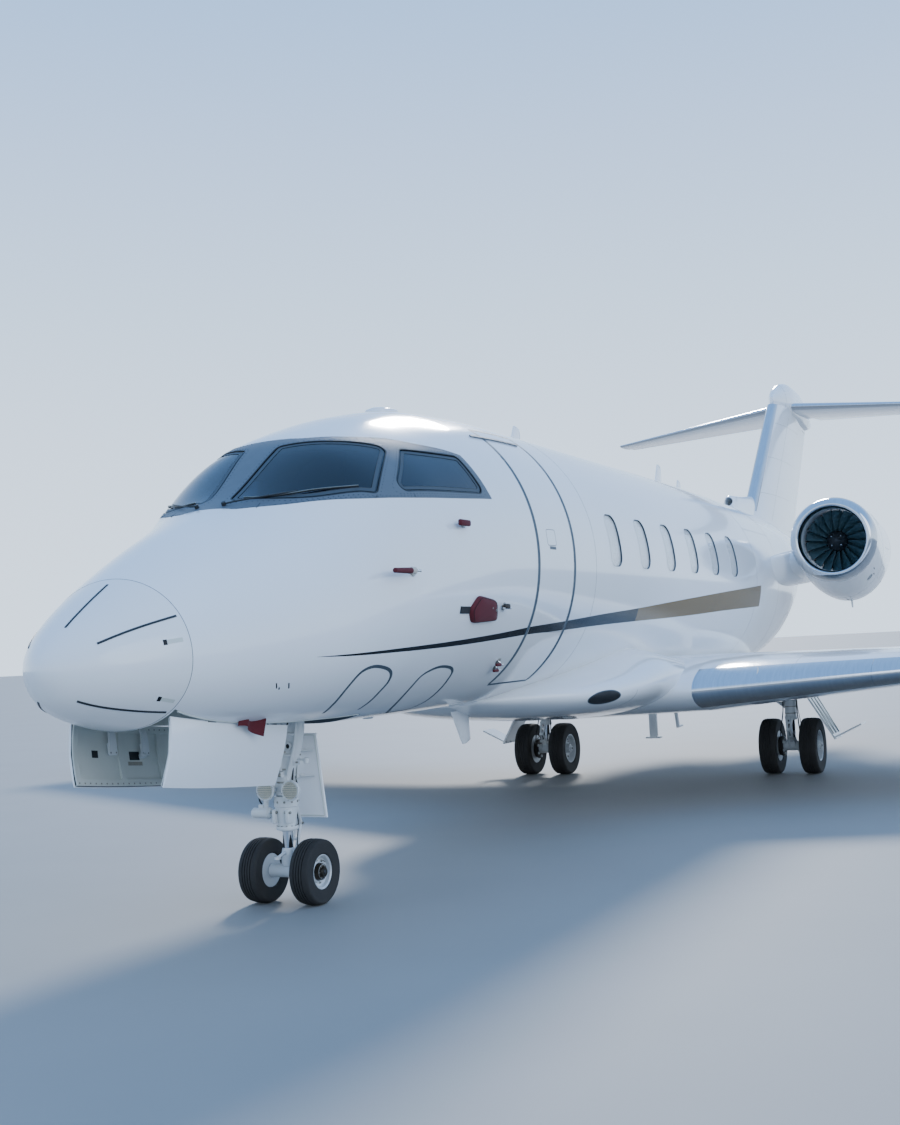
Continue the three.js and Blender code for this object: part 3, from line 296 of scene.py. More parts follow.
def lathe(profile, start, toward, sides=48, ring=False):
    # a profile of (along, radius) turned about the line from start towards a point
    profile = np.asarray(profile, float)
    start, axis = np.asarray(start, float), unit(np.asarray(toward, float) - start)
    side, other = crossFrame(axis)
    turn = circle(sides)
    spoke = np.cos(turn)[:, None] * side + np.sin(turn)[:, None] * other
    poles = [start + axis * p[0] if p[1] < 1e-6 else None for p in (profile[0], profile[-1])]
    kept = profile[profile[:, 1] > 1e-6]
    rows = start + kept[:, 0, None, None] * axis + kept[:, 1, None, None] * spoke[None]
    return skin(rows, ring, poles)


def rod(start, end, radius, endRadius=None, sides=20, edge=None):
    # a bar with softened end corners
    start, end = np.asarray(start, float), np.asarray(end, float)
    length = float(np.linalg.norm(end - start))
    last = radius if endRadius is None else endRadius
    soft = min(radius, last) * 0.2 if edge is None else edge
    profile = [(0, 0), (0, radius - soft), (soft, radius), (length - soft, last), (length, last - soft), (length, 0)]
    return lathe(profile, start, end, sides)


def along(path, count):
    # a smooth line through a few points: cubic through each run of four, with equal steps
    path = np.asarray(path, float)
    full = np.vstack([2 * path[0] - path[1], path, 2 * path[-1] - path[-2]])
    t = np.linspace(0, len(path) - 1, count)
    i = np.minimum(t.astype(int), len(path) - 2)
    u = (t - i)[:, None]
    a, b, c, d = full[i], full[i + 1], full[i + 2], full[i + 3]
    return 0.5 * (2 * b + (c - a) * u + (2 * a - 5 * b + 4 * c - d) * u ** 2 + (3 * b - a - 3 * c + d) * u ** 3)


def pipe(path, radius, sides=10, count=None):
    # a round hose or pipe along a smooth line
    path = along(path, count or 8 * len(path))
    heading = unit(np.gradient(path, axis=0))
    guide = np.zeros(3)
    guide[np.argmin(np.abs(heading).max(0))] = 1.0
    side = unit(np.cross(guide, heading))
    other = np.cross(heading, side)
    turn = circle(sides)[None, :, None]
    radius = np.broadcast_to(np.asarray(radius, float), (len(path),))[:, None, None]
    return skin(path[:, None] + radius * (np.cos(turn) * side[:, None] + np.sin(turn) * other[:, None]))


def softBox(low, high, edge=0.006, turn=None, about=None):
    # a block whose corners and edges are rounded: four rings of a rounded rectangle
    low, high = np.asarray(low, float), np.asarray(high, float)
    centre, half = (low + high) / 2, (high - low) / 2
    edge = min(edge, half.min() * 0.9)
    corner = np.deg2rad(np.arange(0, 360, 22.5) + 11.25)
    sign = np.stack([np.sign(np.cos(corner)), np.sign(np.sin(corner))], -1)
    spoke = np.stack([np.cos(corner), np.sin(corner)], -1)
    rows = []
    for end, tilt in ((-1, 90), (-1, 45), (-1, 0), (1, 0), (1, 45), (1, 90)):
        lean = math.radians(tilt)
        flat = sign * (half[:2] - edge) + spoke * edge * math.cos(lean)
        height = end * (half[2] - edge * (1 - math.sin(lean)))
        rows.append(np.column_stack([flat, np.full(len(corner), height)]))
    part = skin(np.array(rows) + centre)
    return part if turn is None else moved(part, turn, about=centre if about is None else about)


def turned(axis, degrees):
    return np.array(Matrix.Rotation(math.radians(degrees), 3, axis))


def bolts(places, normals, radius, height):
    # hexagon heads with a small washer
    head = joined(lathe([(0, 0), (0, radius * 1.35), (height * 0.25, radius * 1.35), (height * 0.25, 0)],
                        (0, 0, 0), (0, 0, 1), 10),
                  lathe([(height * 0.2, 0), (height * 0.2, radius), (height * 0.85, radius), (height, radius * 0.8),
                         (height, 0)], (0, 0, 0), (0, 0, 1), 6))
    places, normals = np.asarray(places, float), unit(np.asarray(normals, float))
    side, other = crossFrame(normals)
    return stamped(head, places, side, other, normals)


def ringOf(centre, axis, radius, count, phase=0.0):
    # places evenly round a circle, and the axis repeated
    side, other = crossFrame(axis)
    turn = phase + circle(count)[:, None]
    spots = np.asarray(centre, float) + radius * (np.cos(turn) * side + np.sin(turn) * other)
    return spots, np.repeat(unit(np.asarray(axis, float))[None], count, 0)


def casting(rows, x=0.0, s=0.0, power=0.75, sides=40):
    # rounded boxes stacked along z, plain ovals when power is 1. Columns: z, half width, half length
    t = circle(sides)
    soft = lambda v: np.sign(v) * np.abs(v) ** power
    return skin(np.array([row(x + w * soft(np.cos(t)), s + l * soft(np.sin(t)), np.full(sides, z))
                          for z, w, l in rows]))


def meshOf(name, dressed):
    # one mesh from parts and their finishes
    mesh = bpy.data.meshes.new(name)
    looks = list(dict.fromkeys(look for _, look in dressed))
    for look in looks:
        mesh.materials.append(materials[look])
    points, corners, counts, slots, start = [], [], [], [], 0
    for (verts, faces), look in dressed:
        points.append(verts)
        for f in faces:
            corners.append((f + start).ravel())
            counts.append(np.full(len(f), f.shape[1]))
            slots.append(np.full(len(f), looks.index(look)))
        start += len(verts)
    points, corners, counts, slots = (np.concatenate(v) for v in (points, corners, counts, slots))
    mesh.vertices.add(len(points))
    mesh.vertices.foreach_set("co", points.astype(np.float32).ravel())
    mesh.loops.add(len(corners))
    mesh.loops.foreach_set("vertex_index", corners.astype(np.int32))
    mesh.polygons.add(len(counts))
    mesh.polygons.foreach_set("loop_start", np.concatenate([[0], np.cumsum(counts)[:-1]]).astype(np.int32))
    mesh.polygons.foreach_set("material_index", slots.astype(np.int32))
    mesh.polygons.foreach_set("use_smooth", np.ones(len(counts), bool))
    mesh.update(calc_edges=True)
    return mesh


def piece(name, dressed, body="airframe", replaces=(), sharp=35):
    # a finished object that rides a body and may stand for CAD nodes
    mesh = dressed if isinstance(dressed, bpy.types.Mesh) else meshOf(name, dressed)
    if not isinstance(dressed, bpy.types.Mesh):
        mesh.set_sharp_from_angle(angle=math.radians(sharp))
    made = bpy.data.objects.new(name, mesh)
    bpy.context.scene.collection.objects.link(made)
    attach(made, body)
    if replaces:
        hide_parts(*replaces)
    return made


def smoothCurve(xs, ys):
    # monotone cubic through the points: each slope is a weighted harmonic mean, so nothing overshoots
    xs, ys = np.asarray(xs, float), np.asarray(ys, float)
    h = np.diff(xs)
    d = np.diff(ys) / h
    p, q = 2 * h[1:] + h[:-1], h[1:] + 2 * h[:-1]
    safe = (d[:-1] * d[1:]) > 0
    a, b = np.where(safe, d[:-1], 1.0), np.where(safe, d[1:], 1.0)
    slopes = np.concatenate([[d[0]], np.where(safe, (p + q) / (p / a + q / b), 0.0), [d[-1]]])

    def value(x):
        x = np.asarray(x, float)
        i = np.clip(np.searchsorted(xs, x) - 1, 0, len(xs) - 2)
        t = (x - xs[i]) / h[i]
        return ((2 * t ** 3 - 3 * t ** 2 + 1) * ys[i] + (t ** 3 - 2 * t ** 2 + t) * h[i] * slopes[i]
                + (3 * t ** 2 - 2 * t ** 3) * ys[i + 1] + (t ** 3 - t ** 2) * h[i] * slopes[i + 1])
    return value


# Fuselage. Columns: station, half width, top, bottom, widest height, roundness above and below
hull = {
    "sections": np.array([
        (0.10, 0.000, 1.700, 1.700, 1.700, 2.00, 2.00), (0.13, 0.108, 1.790, 1.602, 1.700, 2.00, 2.00),
        (0.20, 0.215, 1.870, 1.510, 1.703, 2.00, 2.00), (0.36, 0.375, 2.000, 1.415, 1.712, 2.00, 2.05),
        (0.70, 0.580, 2.220, 1.325, 1.740, 2.00, 2.10), (1.20, 0.775, 2.490, 1.262, 1.800, 2.00, 2.15),
        (1.80, 0.945, 2.775, 1.235, 1.900, 2.15, 2.20), (2.42, 1.055, 3.235, 1.222, 2.080, 2.35, 2.20),
        (2.80, 1.105, 3.385, 1.217, 2.180, 2.25, 2.15), (3.20, 1.135, 3.505, 1.215, 2.270, 2.10, 2.15),
        (4.00, 1.163, 3.645, 1.210, 2.400, 2.00, 2.10), (5.00, 1.170, 3.685, 1.210, 2.430, 2.00, 2.10),
        (7.00, 1.170, 3.670, 1.210, 2.430, 2.00, 2.10), (10.5, 1.165, 3.630, 1.210, 2.430, 2.00, 2.10),
        (11.5, 1.145, 3.610, 1.210, 2.440, 2.00, 2.10), (12.5, 1.085, 3.590, 1.220, 2.460, 2.00, 2.10),
        (13.5, 1.000, 3.565, 1.250, 2.480, 2.00, 2.10), (14.5, 0.895, 3.540, 1.350, 2.520, 2.00, 2.05),
        (15.5, 0.755, 3.510, 1.570, 2.600, 2.00, 2.00), (16.5, 0.570, 3.465, 1.870, 2.720, 2.00, 2.00),
        (17.5, 0.375, 3.390, 2.230, 2.850, 2.00, 2.00), (18.4, 0.200, 3.290, 2.590, 2.960, 2.00, 2.00),
        (18.9, 0.110, 3.220, 2.800, 3.010, 2.00, 2.00)]),
    "tip": 0.10, "around": 144, "wall": 0.09, "aftWall": 0.045,
    "joints": (0.70, 5.70, 11.45, 18.90),
}
hullCurves = [smoothCurve(np.sqrt(hull["sections"][:, 0] - hull["tip"]), hull["sections"][:, k]) for k in range(1, 7)]


def hullSection(s):
    # half width, top, bottom, widest height and the two roundnesses; they run over the root of the distance
    # from the tip, because the nose is blunt
    root = np.sqrt(np.maximum(np.asarray(s, float) - hull["tip"], 0))
    return [curve(root) for curve in hullCurves]


def hullPoint(s, degrees, off=0.0):
    # superellipse: x = w cos^(2/n), z = mid + h sin^(2/n), grown outward by "off"; 0 is port, 90 the crown
    w, top, bottom, mid, above, below = hullSection(s)
    c, d = np.cos(np.deg2rad(degrees)), np.sin(np.deg2rad(degrees))
    power = 2 / np.where(d >= 0, above, below)
    height = np.where(d >= 0, top - mid, mid - bottom) + off
    return row((w + off) * np.sign(c) * np.abs(c) ** power, s, mid + height * np.sign(d) * np.abs(d) ** power)


def hullLevel(points, off=0.0):
    # below 1 inside the skin, above 1 outside it
    w, top, bottom, mid, above, below = hullSection(points[..., 1] + midStation)
    rise = points[..., 2] - mid
    height = np.where(rise >= 0, top - mid, mid - bottom) + off
    n = np.where(rise >= 0, above, below)
    return np.abs(points[..., 0] / np.maximum(w + off, 1e-3)) ** n + np.abs(rise / np.maximum(height, 1e-3)) ** n


def ontoHull(x, s, z, off=0.0):
    # a point slides straight away from the section's middle until it lies on the skin
    points = row(x, s, z)
    w, top, bottom, mid, above, below = hullSection(points[..., 1] + midStation)
    rise = points[..., 2] - mid
    n = np.where(rise >= 0, above, below)
    scale = hullLevel(points, off) ** (-1 / n)
    return row(points[..., 0] * scale, points[..., 1] + midStation, mid + rise * scale)


def settled(points, off=0.0):
    # points of the row frame set down on the skin
    return ontoHull(points[..., 0], points[..., 1] + midStation, points[..., 2], off)


def hullNormal(points):
    # the steepest way out: central differences of the level
    step = 2e-4
    slopes = [hullLevel(points + d) - hullLevel(points - d) for d in np.eye(3) * step]
    return unit(np.stack(slopes, -1))


def throughHull(points, way, off=0.0, reach=0.7):
    # a point travels along "way" until it meets the skin, by halving
    way = unit(np.asarray(way, float))
    low, high = np.full(points.shape[:-1], -reach), np.full(points.shape[:-1], reach)
    for _ in range(40):
        middle = (low + high) / 2
        inside = hullLevel(points + middle[..., None] * way, off) < 1
        low, high = np.where(inside, middle, low), np.where(inside, high, middle)
    return points + low[..., None] * way


def hullSkin(stations, off=0.0, around=None, poles=(None, None)):
    angles = (np.arange(around or hull["around"]) + 0.5) * 360 / (around or hull["around"])
    return skin(hullPoint(np.asarray(stations, float)[:, None], angles[None, :], off), poles=poles)


def steps(start, end, gap):
    return np.linspace(start, end, max(2, int(math.ceil((end - start) / gap)) + 1))


# Outlines of panes: corner points near the skin, port side, and the radius of their corners
panes = {
    "windshield": dict(corners=((0.085, 1.73, 2.72), (0.895, 2.345, 2.79), (0.74, 2.79, 3.165),
                                (0.14, 2.31, 3.175)), radius=0.06, sag=(0.085, 0.03)),
    "side_window": dict(corners=((0.955, 2.52, 2.812), (1.07, 3.68, 2.862), (0.91, 3.585, 3.165),
                                 (0.797, 2.92, 3.165)), radius=0.06, sag=(0.0, 0.0)),
}
cabinWindows = {"first": 6.236, "pitch": 0.819, "count": 6, "width": 0.29, "bottom": 2.38, "top": 2.857,
                "radius": 0.10, "x": 1.13}


def outline(corners, radius, grow=0.0, corner=None, arc=7, edge=14, sag=(0.0, 0.0)):
    # rounded outline grown by "grow" in the mean plane of its corners: arcs and edges in equal counts of points.
    # The lowest and highest edge hang down by "sag" in their middles. Returns the points, the plane's middle and
    # the way out of the plane
    p = row(*np.array(corners, float).T)
    mid = p.mean(0)
    out = unit(np.cross(p[2] - p[0], p[3] - p[1]))
    out = out if out[0] * mid[0] >= 0 else -out
    u = p[1] - p[0]
    u = unit(u - out * (u @ out))
    v = np.cross(out, u)
    flat = np.stack([(p - mid) @ u, (p - mid) @ v], -1)
    if np.cross(flat[2] - flat[0], flat[3] - flat[1]) < 0:
        flat = flat[::-1]
    toPrev, toNext = unit(np.roll(flat, 1, 0) - flat), unit(np.roll(flat, -1, 0) - flat)
    half = np.arccos(np.clip((toPrev * toNext).sum(-1), -1, 1)) / 2
    inward = unit(toPrev + toNext)
    bend = radius + grow if corner is None else corner
    centre = flat + inward * ((bend - grow) / np.sin(half))[:, None]
    begin = np.arctan2(-inward[:, 1], -inward[:, 0]) - (np.pi / 2 - half)
    turn = begin[:, None] + (np.pi - 2 * half)[:, None] * np.linspace(0, 1, arc)[None]
    arcs = centre[:, None] + bend * np.stack([np.cos(turn), np.sin(turn)], -1)
    ends, starts = arcs[:, -1], np.roll(arcs[:, 0], -1, 0)
    share = np.linspace(0, 1, edge + 2)[1:-1][None, :, None]
    edges = ends[:, None] * (1 - share) + starts[:, None] * share
    rise = np.array([u[2], v[2]])
    level = (edges @ rise).mean(1)
    for k, hang in ((np.argmin(level), sag[0]), (np.argmax(level), sag[1])):
        edges[k] -= hang * np.sin(np.pi * share[0]) ** 1.3 * unit(rise)
    loop = np.concatenate([arcs, edges], 1).reshape(-1, 2)
    return mid + loop[:, :1] * u + loop[:, 1:] * v, mid, out


def windowCorners(s):
    w, half = cabinWindows, cabinWindows["width"] / 2
    return ((w["x"], s - half, w["bottom"]), (w["x"], s + half, w["bottom"]), (w["x"], s + half, w["top"]),
            (w["x"], s - half, w["top"]))


def pane(loop, mid, out, front, back, rings=8):
    # glass between two skins: loops shrink to the middle, each point travels on to the skin
    share = np.linspace(1, 0.04, rings)[:, None, None]
    flat = mid + (loop[None] - mid) * share
    faces = throughHull(flat, out, front), throughHull(flat, out, back)
    rows = np.concatenate([faces[1][::-1], faces[0]])
    return skin(rows)


def prism(loop, out, deep=0.35, high=0.25):
    return skin(np.stack([loop - deep * out, loop + high * out]))


def frameBand(inner, outer, out, lift, sink=0.004):
    # a flat ring on the skin between two outlines, with rolled edges
    across = np.array([0.0, 0.0, 0.06, 0.5, 0.94, 1.0, 1.0])[:, None, None]
    high = np.array([-sink, lift * 0.5, lift, lift, lift, lift * 0.5, -sink])
    flat = inner[None] * (1 - across) + outer[None] * across
    rows = np.stack([throughHull(flat[k], out, high[k]) for k in range(len(high))])
    return skin(rows, ring=True)


def line(path, half, lift=0.0008, sink=0.004, loop=False):
    # a strip laid on the skin along points in the row frame: flat top, sunk sides
    path = np.asarray(path, float)
    normal = hullNormal(path)
    heading = np.roll(path, -1, 0) - np.roll(path, 1, 0) if loop else np.gradient(path, axis=0)
    across = unit(np.cross(heading, normal))
    half = np.broadcast_to(np.asarray(half, float), (len(path),))[:, None]
    rows = np.stack([path - across * half - normal * sink, path - across * half + normal * lift,
                     path + across * half + normal * lift, path + across * half - normal * sink], 1)
    return skin(rows, ring=loop)


def lineThrough(points, half, count=40, **settings):
    # a strip through (x, station, z) points, set down on the skin
    path = along(row(*np.array(points, float).T), count)
    return line(settled(path), half, **settings)


def evenly(loop, gap, closed=True):
    # points at equal steps along a path
    path = np.vstack([loop, loop[:1]]) if closed else loop
    run = np.concatenate([[0], np.cumsum(np.linalg.norm(np.diff(path, axis=0), axis=1))])
    count = max(2, int(round(run[-1] / gap)))
    at = np.linspace(0, run[-1], count, endpoint=not closed)
    return np.stack([np.interp(at, run, path[:, k]) for k in range(3)], -1)


def carved(name, body, cutters, together=()):
    # the body less the cutters, as a mesh: all are closed, so the exact shape is quick
    def temporary(part, label):
        made = bpy.data.objects.new(label, meshOf(label, [(part, "blackSealant")]))
        bpy.context.scene.collection.objects.link(made)
        return made
    target = temporary(body, name)
    tools = [temporary(part, f"{name}Tool{k}") for k, part in enumerate([*cutters, *together])]
    for k, tool in enumerate(tools):
        step = target.modifiers.new(f"cut{k}", "BOOLEAN")
        step.object, step.solver = tool, "MANIFOLD"
        step.operation = "DIFFERENCE" if k < len(cutters) else "INTERSECT"
    bpy.context.view_layer.update()
    mesh = bpy.data.meshes.new_from_object(target.evaluated_get(bpy.context.evaluated_depsgraph_get()))
    for spent in [target, *tools]:
        bpy.data.objects.remove(spent)
    mesh.name = name
    return mesh


def plain(mesh, look, sharp=35):
    mesh.materials.clear()
    mesh.materials.append(materials[look])
    mesh.polygons.foreach_set("material_index", np.zeros(len(mesh.polygons), np.int32))
    mesh.polygons.foreach_set("use_smooth", np.ones(len(mesh.polygons), bool))
    mesh.set_sharp_from_angle(angle=math.radians(sharp))
    return mesh


def sheet(face, back):
    # a closed thin sheet from two grids of points: both faces and a strip round the rim
    rows, columns = face.shape[:2]
    near = np.arange(rows * columns).reshape(rows, columns)
    cells = np.stack([near[:-1, :-1], near[1:, :-1], near[1:, 1:], near[:-1, 1:]], -1).reshape(-1, 4)
    rim = np.concatenate([near[0], near[1:, -1], near[-1, -2::-1], near[-2:0:-1, 0]])
    far = rows * columns
    sides = np.stack([rim, np.roll(rim, -1), np.roll(rim, -1) + far, rim + far], -1)
    return outward(np.concatenate([face.reshape(-1, 3), back.reshape(-1, 3)]), [cells, cells[:, ::-1] + far, sides])


def faceData(mesh):
    count = len(mesh.polygons)
    centre, normal = np.empty(count * 3, np.float32), np.empty(count * 3, np.float32)
    mesh.polygons.foreach_get("center", centre)
    mesh.polygons.foreach_get("normal", normal)
    return centre.reshape(-1, 3).astype(float), normal.reshape(-1, 3).astype(float)


def hullFinish(mesh, outer, inner, edge):
    # outside faces take the exact normal of the skin, so that reflections run unbroken past every cut
    centre, normal = faceData(mesh)
    out = hullNormal(centre)
    facing = (out * normal).sum(-1)
    near = np.abs(hullLevel(centre) - 1) < 0.02
    kind = np.where((facing > 0.97) & near, 0, np.where(facing < -0.9, 1, 2))
    mesh.materials.clear()
    for look in (outer, inner, edge):
        mesh.materials.append(materials[look])
    mesh.polygons.foreach_set("material_index", kind.astype(np.int32))
    mesh.polygons.foreach_set("use_smooth", np.ones(len(kind), bool))
    corners = np.empty(len(mesh.loops), np.int32)
    mesh.loops.foreach_get("vertex_index", corners)
    points = np.empty(len(mesh.vertices) * 3, np.float32)
    mesh.vertices.foreach_get("co", points)
    skinNormal = hullNormal(points.reshape(-1, 3).astype(float))[corners]
    totals = np.empty(len(kind), np.int32)
    mesh.polygons.foreach_get("loop_total", totals)
    owner = np.repeat(np.arange(len(kind)), totals)
    shade = np.where((kind[owner] == 0)[:, None], skinNormal, np.where((kind[owner] == 1)[:, None], -skinNormal,
                                                                      normal[owner]))
    mesh.normals_split_custom_set(shade.astype(np.float32))
    return mesh


# Fuselage skins, cut for panes, door and nose bay
door = {"front": 4.45, "rear": 5.16, "low": -56.0, "high": 58.0, "gap": 0.006, "slack": 0.35}
noseBay = {"front": 0.715, "rear": 2.78, "half": 0.428, "roof": 1.66, "wall": 0.012, "inside": 1.45,
           "frames": (1.05, 1.45, 1.85, 2.25), "stringers": (-0.28, -0.14, 0.14, 0.28)}
windowStations = cabinWindows["first"] + cabinWindows["pitch"] * np.arange(cabinWindows["count"])
hair = 0.0004  # what keeps neighbours from sharing a face


def skinPanel(s0, s1, a0, a1, outer, inner, along=24, around=60):
    # a curved panel of skin between two stations and two angles: each row goes out one face and back the other
    s = np.linspace(s0, s1, along)[:, None]
    a = np.linspace(a0, a1, around)[None, :]
    return skin(np.concatenate([hullPoint(s, a, outer), hullPoint(s, a[:, ::-1], inner)], 1))


paneCuts = []
for look in panes.values():
    loop, mid, out = outline(look["corners"], look["radius"], hair, sag=look["sag"])
    cut = prism(loop, out)
    paneCuts += [cut, mirrored(cut)]
windowCuts = []
for s in windowStations:
    loop, mid, out = outline(windowCorners(s), cabinWindows["radius"], hair, arc=9, edge=6)
    cut = prism(loop, out, 0.25, 0.2)
    windowCuts += [cut, mirrored(cut)]
doorCut = skinPanel(door["front"] - door["gap"], door["rear"] + door["gap"], door["low"] - 0.02,
                    door["high"] + door["slack"], 0.08, -0.16)
bayCut = skin(np.stack([row([-1, 1, 1, -1], s, [1.0, 1.0, noseBay["roof"], noseBay["roof"]])
                        * [noseBay["half"], 1, 1] for s in (noseBay["front"], noseBay["rear"])]))

noseRings = hull["tip"] + np.linspace(0.03, math.sqrt(hull["joints"][0] - hull["tip"]), 40) ** 2
noseRings[-1] = hull["joints"][0] - 0.0015
piece("noseCone", [(hullSkin(noseRings, poles=(row(0, hull["tip"], 1.7), None)), "radomeErosionCoat")],
      replaces=["nose_cone"])

front, middle, rear = hull["joints"][:3]
frontMesh = carved("forwardFuselage", hullSkin(steps(front, middle, 0.05)),
                   [hullSkin(steps(front + 0.15, middle + 0.2, 0.12), -hull["wall"], 96), *paneCuts, doorCut, bayCut])
piece("forwardFuselage", hullFinish(frontMesh, "polyurethaneWhite", "cabinLiner", "greySealant"),
      replaces=["forward_fuselage"])
cabinMesh = carved("cabinFuselage", hullSkin(steps(middle, rear, 0.14)),
                   [hullSkin(steps(middle - 0.2, rear + 0.15, 0.4), -hull["wall"], 96), *windowCuts])
piece("cabinFuselage", hullFinish(cabinMesh, "polyurethaneWhite", "cabinLiner", "greySealant"),
      replaces=["cabin_fuselage"])
aftMesh = carved("aftFuselage", hullSkin(steps(rear, hull["joints"][3], 0.09)),
                 [hullSkin(steps(rear - 0.15, 16.6, 0.25), -hull["aftWall"], 96)])
piece("aftFuselage", hullFinish(aftMesh, "polyurethaneWhite", "bayPrimer", "greySealant"),
      replaces=["aft_fuselage"])
print("fuselage", len(frontMesh.polygons), len(cabinMesh.polygons), len(aftMesh.polygons))


# Cockpit glazing: smoky panes, black seal, riveted satin frame round each, and the windshield wipers
glazingSizes = {"front": -0.006, "back": -0.030, "seal": 0.010, "sealLift": 0.0015, "frameLift": 0.0022,
                "frameSink": -0.005, "rivetLine": 0.024, "rivetGap": 0.036, "rivetRadius": 0.0045,
                "edgeRows": (0.016, -0.014), "bus": 0.012, "busWidth": 0.028, "busLift": -0.0052}


def rivetHeads(loop, radius, gap, closed=True):
    # low domes at even steps along a path on the skin
    spots = settled(evenly(loop, gap, closed))
    normals = hullNormal(spots)
    dome = lathe([(-0.001, 0), (-0.001, radius), (0.0002, radius), (0.0011, radius * 0.6), (0.0014, 0)],
                 (0, 0, 0), (0, 0, 1), 8)
    side, other = crossFrame(normals)
    return stamped(dome, spots + normals * glazingSizes["frameLift"], side, other, normals)


# Edge of the riveted sheet that holds all four panes, port half from the centre line aft. Columns: x, station, z
frameEdge = {"low": ((0.13, 1.655, 2.685), (0.266, 1.683, 2.683), (0.551, 1.903, 2.707), (0.842, 2.236, 2.734),
                     (0.97, 2.619, 2.757), (1.033, 3.094, 2.783), (1.083, 3.765, 2.822)),
             "high": ((0.12, 2.432, 3.236), (0.293, 2.46, 3.229), (0.508, 2.639, 3.234), (0.661, 2.933, 3.236),
                      (0.744, 3.152, 3.219), (0.826, 3.463, 3.199), (0.900, 3.66, 3.184))}
lowPath, highPath = (along(row(*np.array(frameEdge[k]).T), 46) for k in ("low", "high"))
lowPath, highPath = (np.vstack([np.linspace([0, p[0, 1], p[0, 2]], p[0], 5)[:-1], p]) for p in (lowPath, highPath))
climb = np.linspace(0, 1, 22)[:, None, None]
spread = lowPath[None] * (1 - climb) + highPath[None] * climb
spread = np.concatenate([spread[:, :0:-1] * [-1, 1, 1], spread], 1)
g = glazingSizes
frameSheet = sheet(settled(spread, g["frameLift"]), settled(spread, g["frameSink"]))
frameCuts, headParts, sealParts, busParts = [], [], [], []
for kind, look in panes.items():
    ringAt = lambda grow, corner=None: outline(look["corners"], look["radius"], grow, corner, sag=look["sag"])[0]
    edge, mid, out = outline(look["corners"], look["radius"], sag=look["sag"])
    beside, middle, bus = ringAt(g["seal"]), ringAt(g["rivetLine"], 0.05), ringAt(-g["bus"])
    glass = pane(edge, mid, out, g["front"], g["back"], 10)
    seal = frameBand(edge, beside, out, g["sealLift"], sink=0.008)
    heads = rivetHeads(throughHull(middle, out), g["rivetRadius"], g["rivetGap"])
    busRing = frameBand(ringAt(-g["bus"] - g["busWidth"]), bus, out, g["busLift"], sink=0.0075)
    for label, turn in labelledSides:
        piece(f"{kind}.{label}", [(turn(glass), "heatedWindshield")], replaces=[f"{kind}_{label}"])
        frameCuts.append(turn(prism(ringAt(g["seal"] - 0.001), out, 0.1, 0.1)))
        headParts.append((turn(heads), "rivetSteel"))
        sealParts.append((turn(seal), "blackSealant"))
        busParts.append((turn(busRing), "greySealant"))
piece("cockpitFrames", plain(carved("cockpitFrames", frameSheet, frameCuts), "satinSheetAluminium"))
# a second row of rivets along the sheet's own edge, and the laps between its plates
for path, inset in zip((lowPath, highPath), g["edgeRows"]):
    spots = path[6:-2] + [0, 0, inset]
    for turn in both:
        headParts.append((turn(rivetHeads(spots, g["rivetRadius"], g["rivetGap"], False)), "rivetSteel"))
for points in ([(0.35, 1.722, 2.69), (0.35, 1.78, 2.745)], [(0.885, 2.33, 2.736), (0.90, 2.36, 2.775)],
               [(0.985, 2.72, 2.765), (0.982, 2.72, 2.80)], [(0.60, 2.80, 3.235), (0.63, 2.80, 3.20)],
               [(0.55, 2.69, 3.234), (0.57, 2.66, 3.20)]):
    for turn in both:
        headParts.append((turn(lineThrough(points, 0.0022, 8, lift=0.0028)), "blackSealant"))
piece("frameRivets", headParts)
piece("cockpitSeals", sealParts + busParts)

wiperParts = []
for side in (1, -1):
    pivot = ontoHull(side * 0.105, 1.70, 2.69, 0.014)
    blade = ontoHull(side * np.array([0.20, 0.40, 0.60, 0.80]), [1.80, 1.875, 2.04, 2.27],
                     [2.775, 2.778, 2.795, 2.825], 0.004)
    arm = np.stack([pivot, ontoHull(side * 0.24, 1.74, 2.71, 0.03), ontoHull(side * 0.50, 1.96, 2.775, 0.018)])
    wiperParts += [(pipe(arm, 0.006, 8), "blackSealant"), (pipe(blade, 0.0045, 6), "hoseRubber"),
                   (pipe(blade + [0, -0.005, 0.007], 0.0035, 6), "zincSteel"),
                   (rod(ontoHull(side * 0.105, 1.70, 2.69), pivot + [0, -0.014, 0.010], 0.015), "blackSealant")]
piece("wipers", wiperParts)

# Cabin windows: acrylic pane, white pull-down shade, liner strip, seal and a slim frame
windowSizes = {"front": -0.008, "back": -0.014, "shade": -0.018, "shadeBack": -0.024, "seal": 0.005,
               "frame": 0.022, "folds": (-0.30, -0.12, 0.06, 0.24), "middle": 2.62, "pull": 2.44}
w, glassParts, shadeParts, trimParts = windowSizes, [], [], []
for s in windowStations:
    corners, radius = windowCorners(s), cabinWindows["radius"]
    edge, mid, out = outline(corners, radius, arc=9, edge=6)
    beside, rim = (outline(corners, radius, w[k], arc=9, edge=6)[0] for k in ("seal", "frame"))
    glassParts.append(pane(edge, mid, out, w["front"], w["back"], 5))
    shadeParts.append(pane(edge, mid, out, w["shade"], w["shadeBack"], 5))
    for step in w["folds"]:
        across = row(cabinWindows["x"], s + np.linspace(-0.13, 0.13, 8), w["middle"] + step)
        shadeParts.append(pipe(throughHull(across, out, w["shade"]), 0.003, 6, 8))
    pull = throughHull(row(cabinWindows["x"], s + np.linspace(-0.03, 0.03, 5), w["pull"]), out, w["shade"])
    shadeParts.append(pipe(pull, 0.005, 8, 8))
    trimParts += [(frameBand(edge, beside, out, 0.0012, sink=0.014), "greySealant"),
                  (frameBand(beside, rim, out, 0.0016), "polyurethaneWhite")]
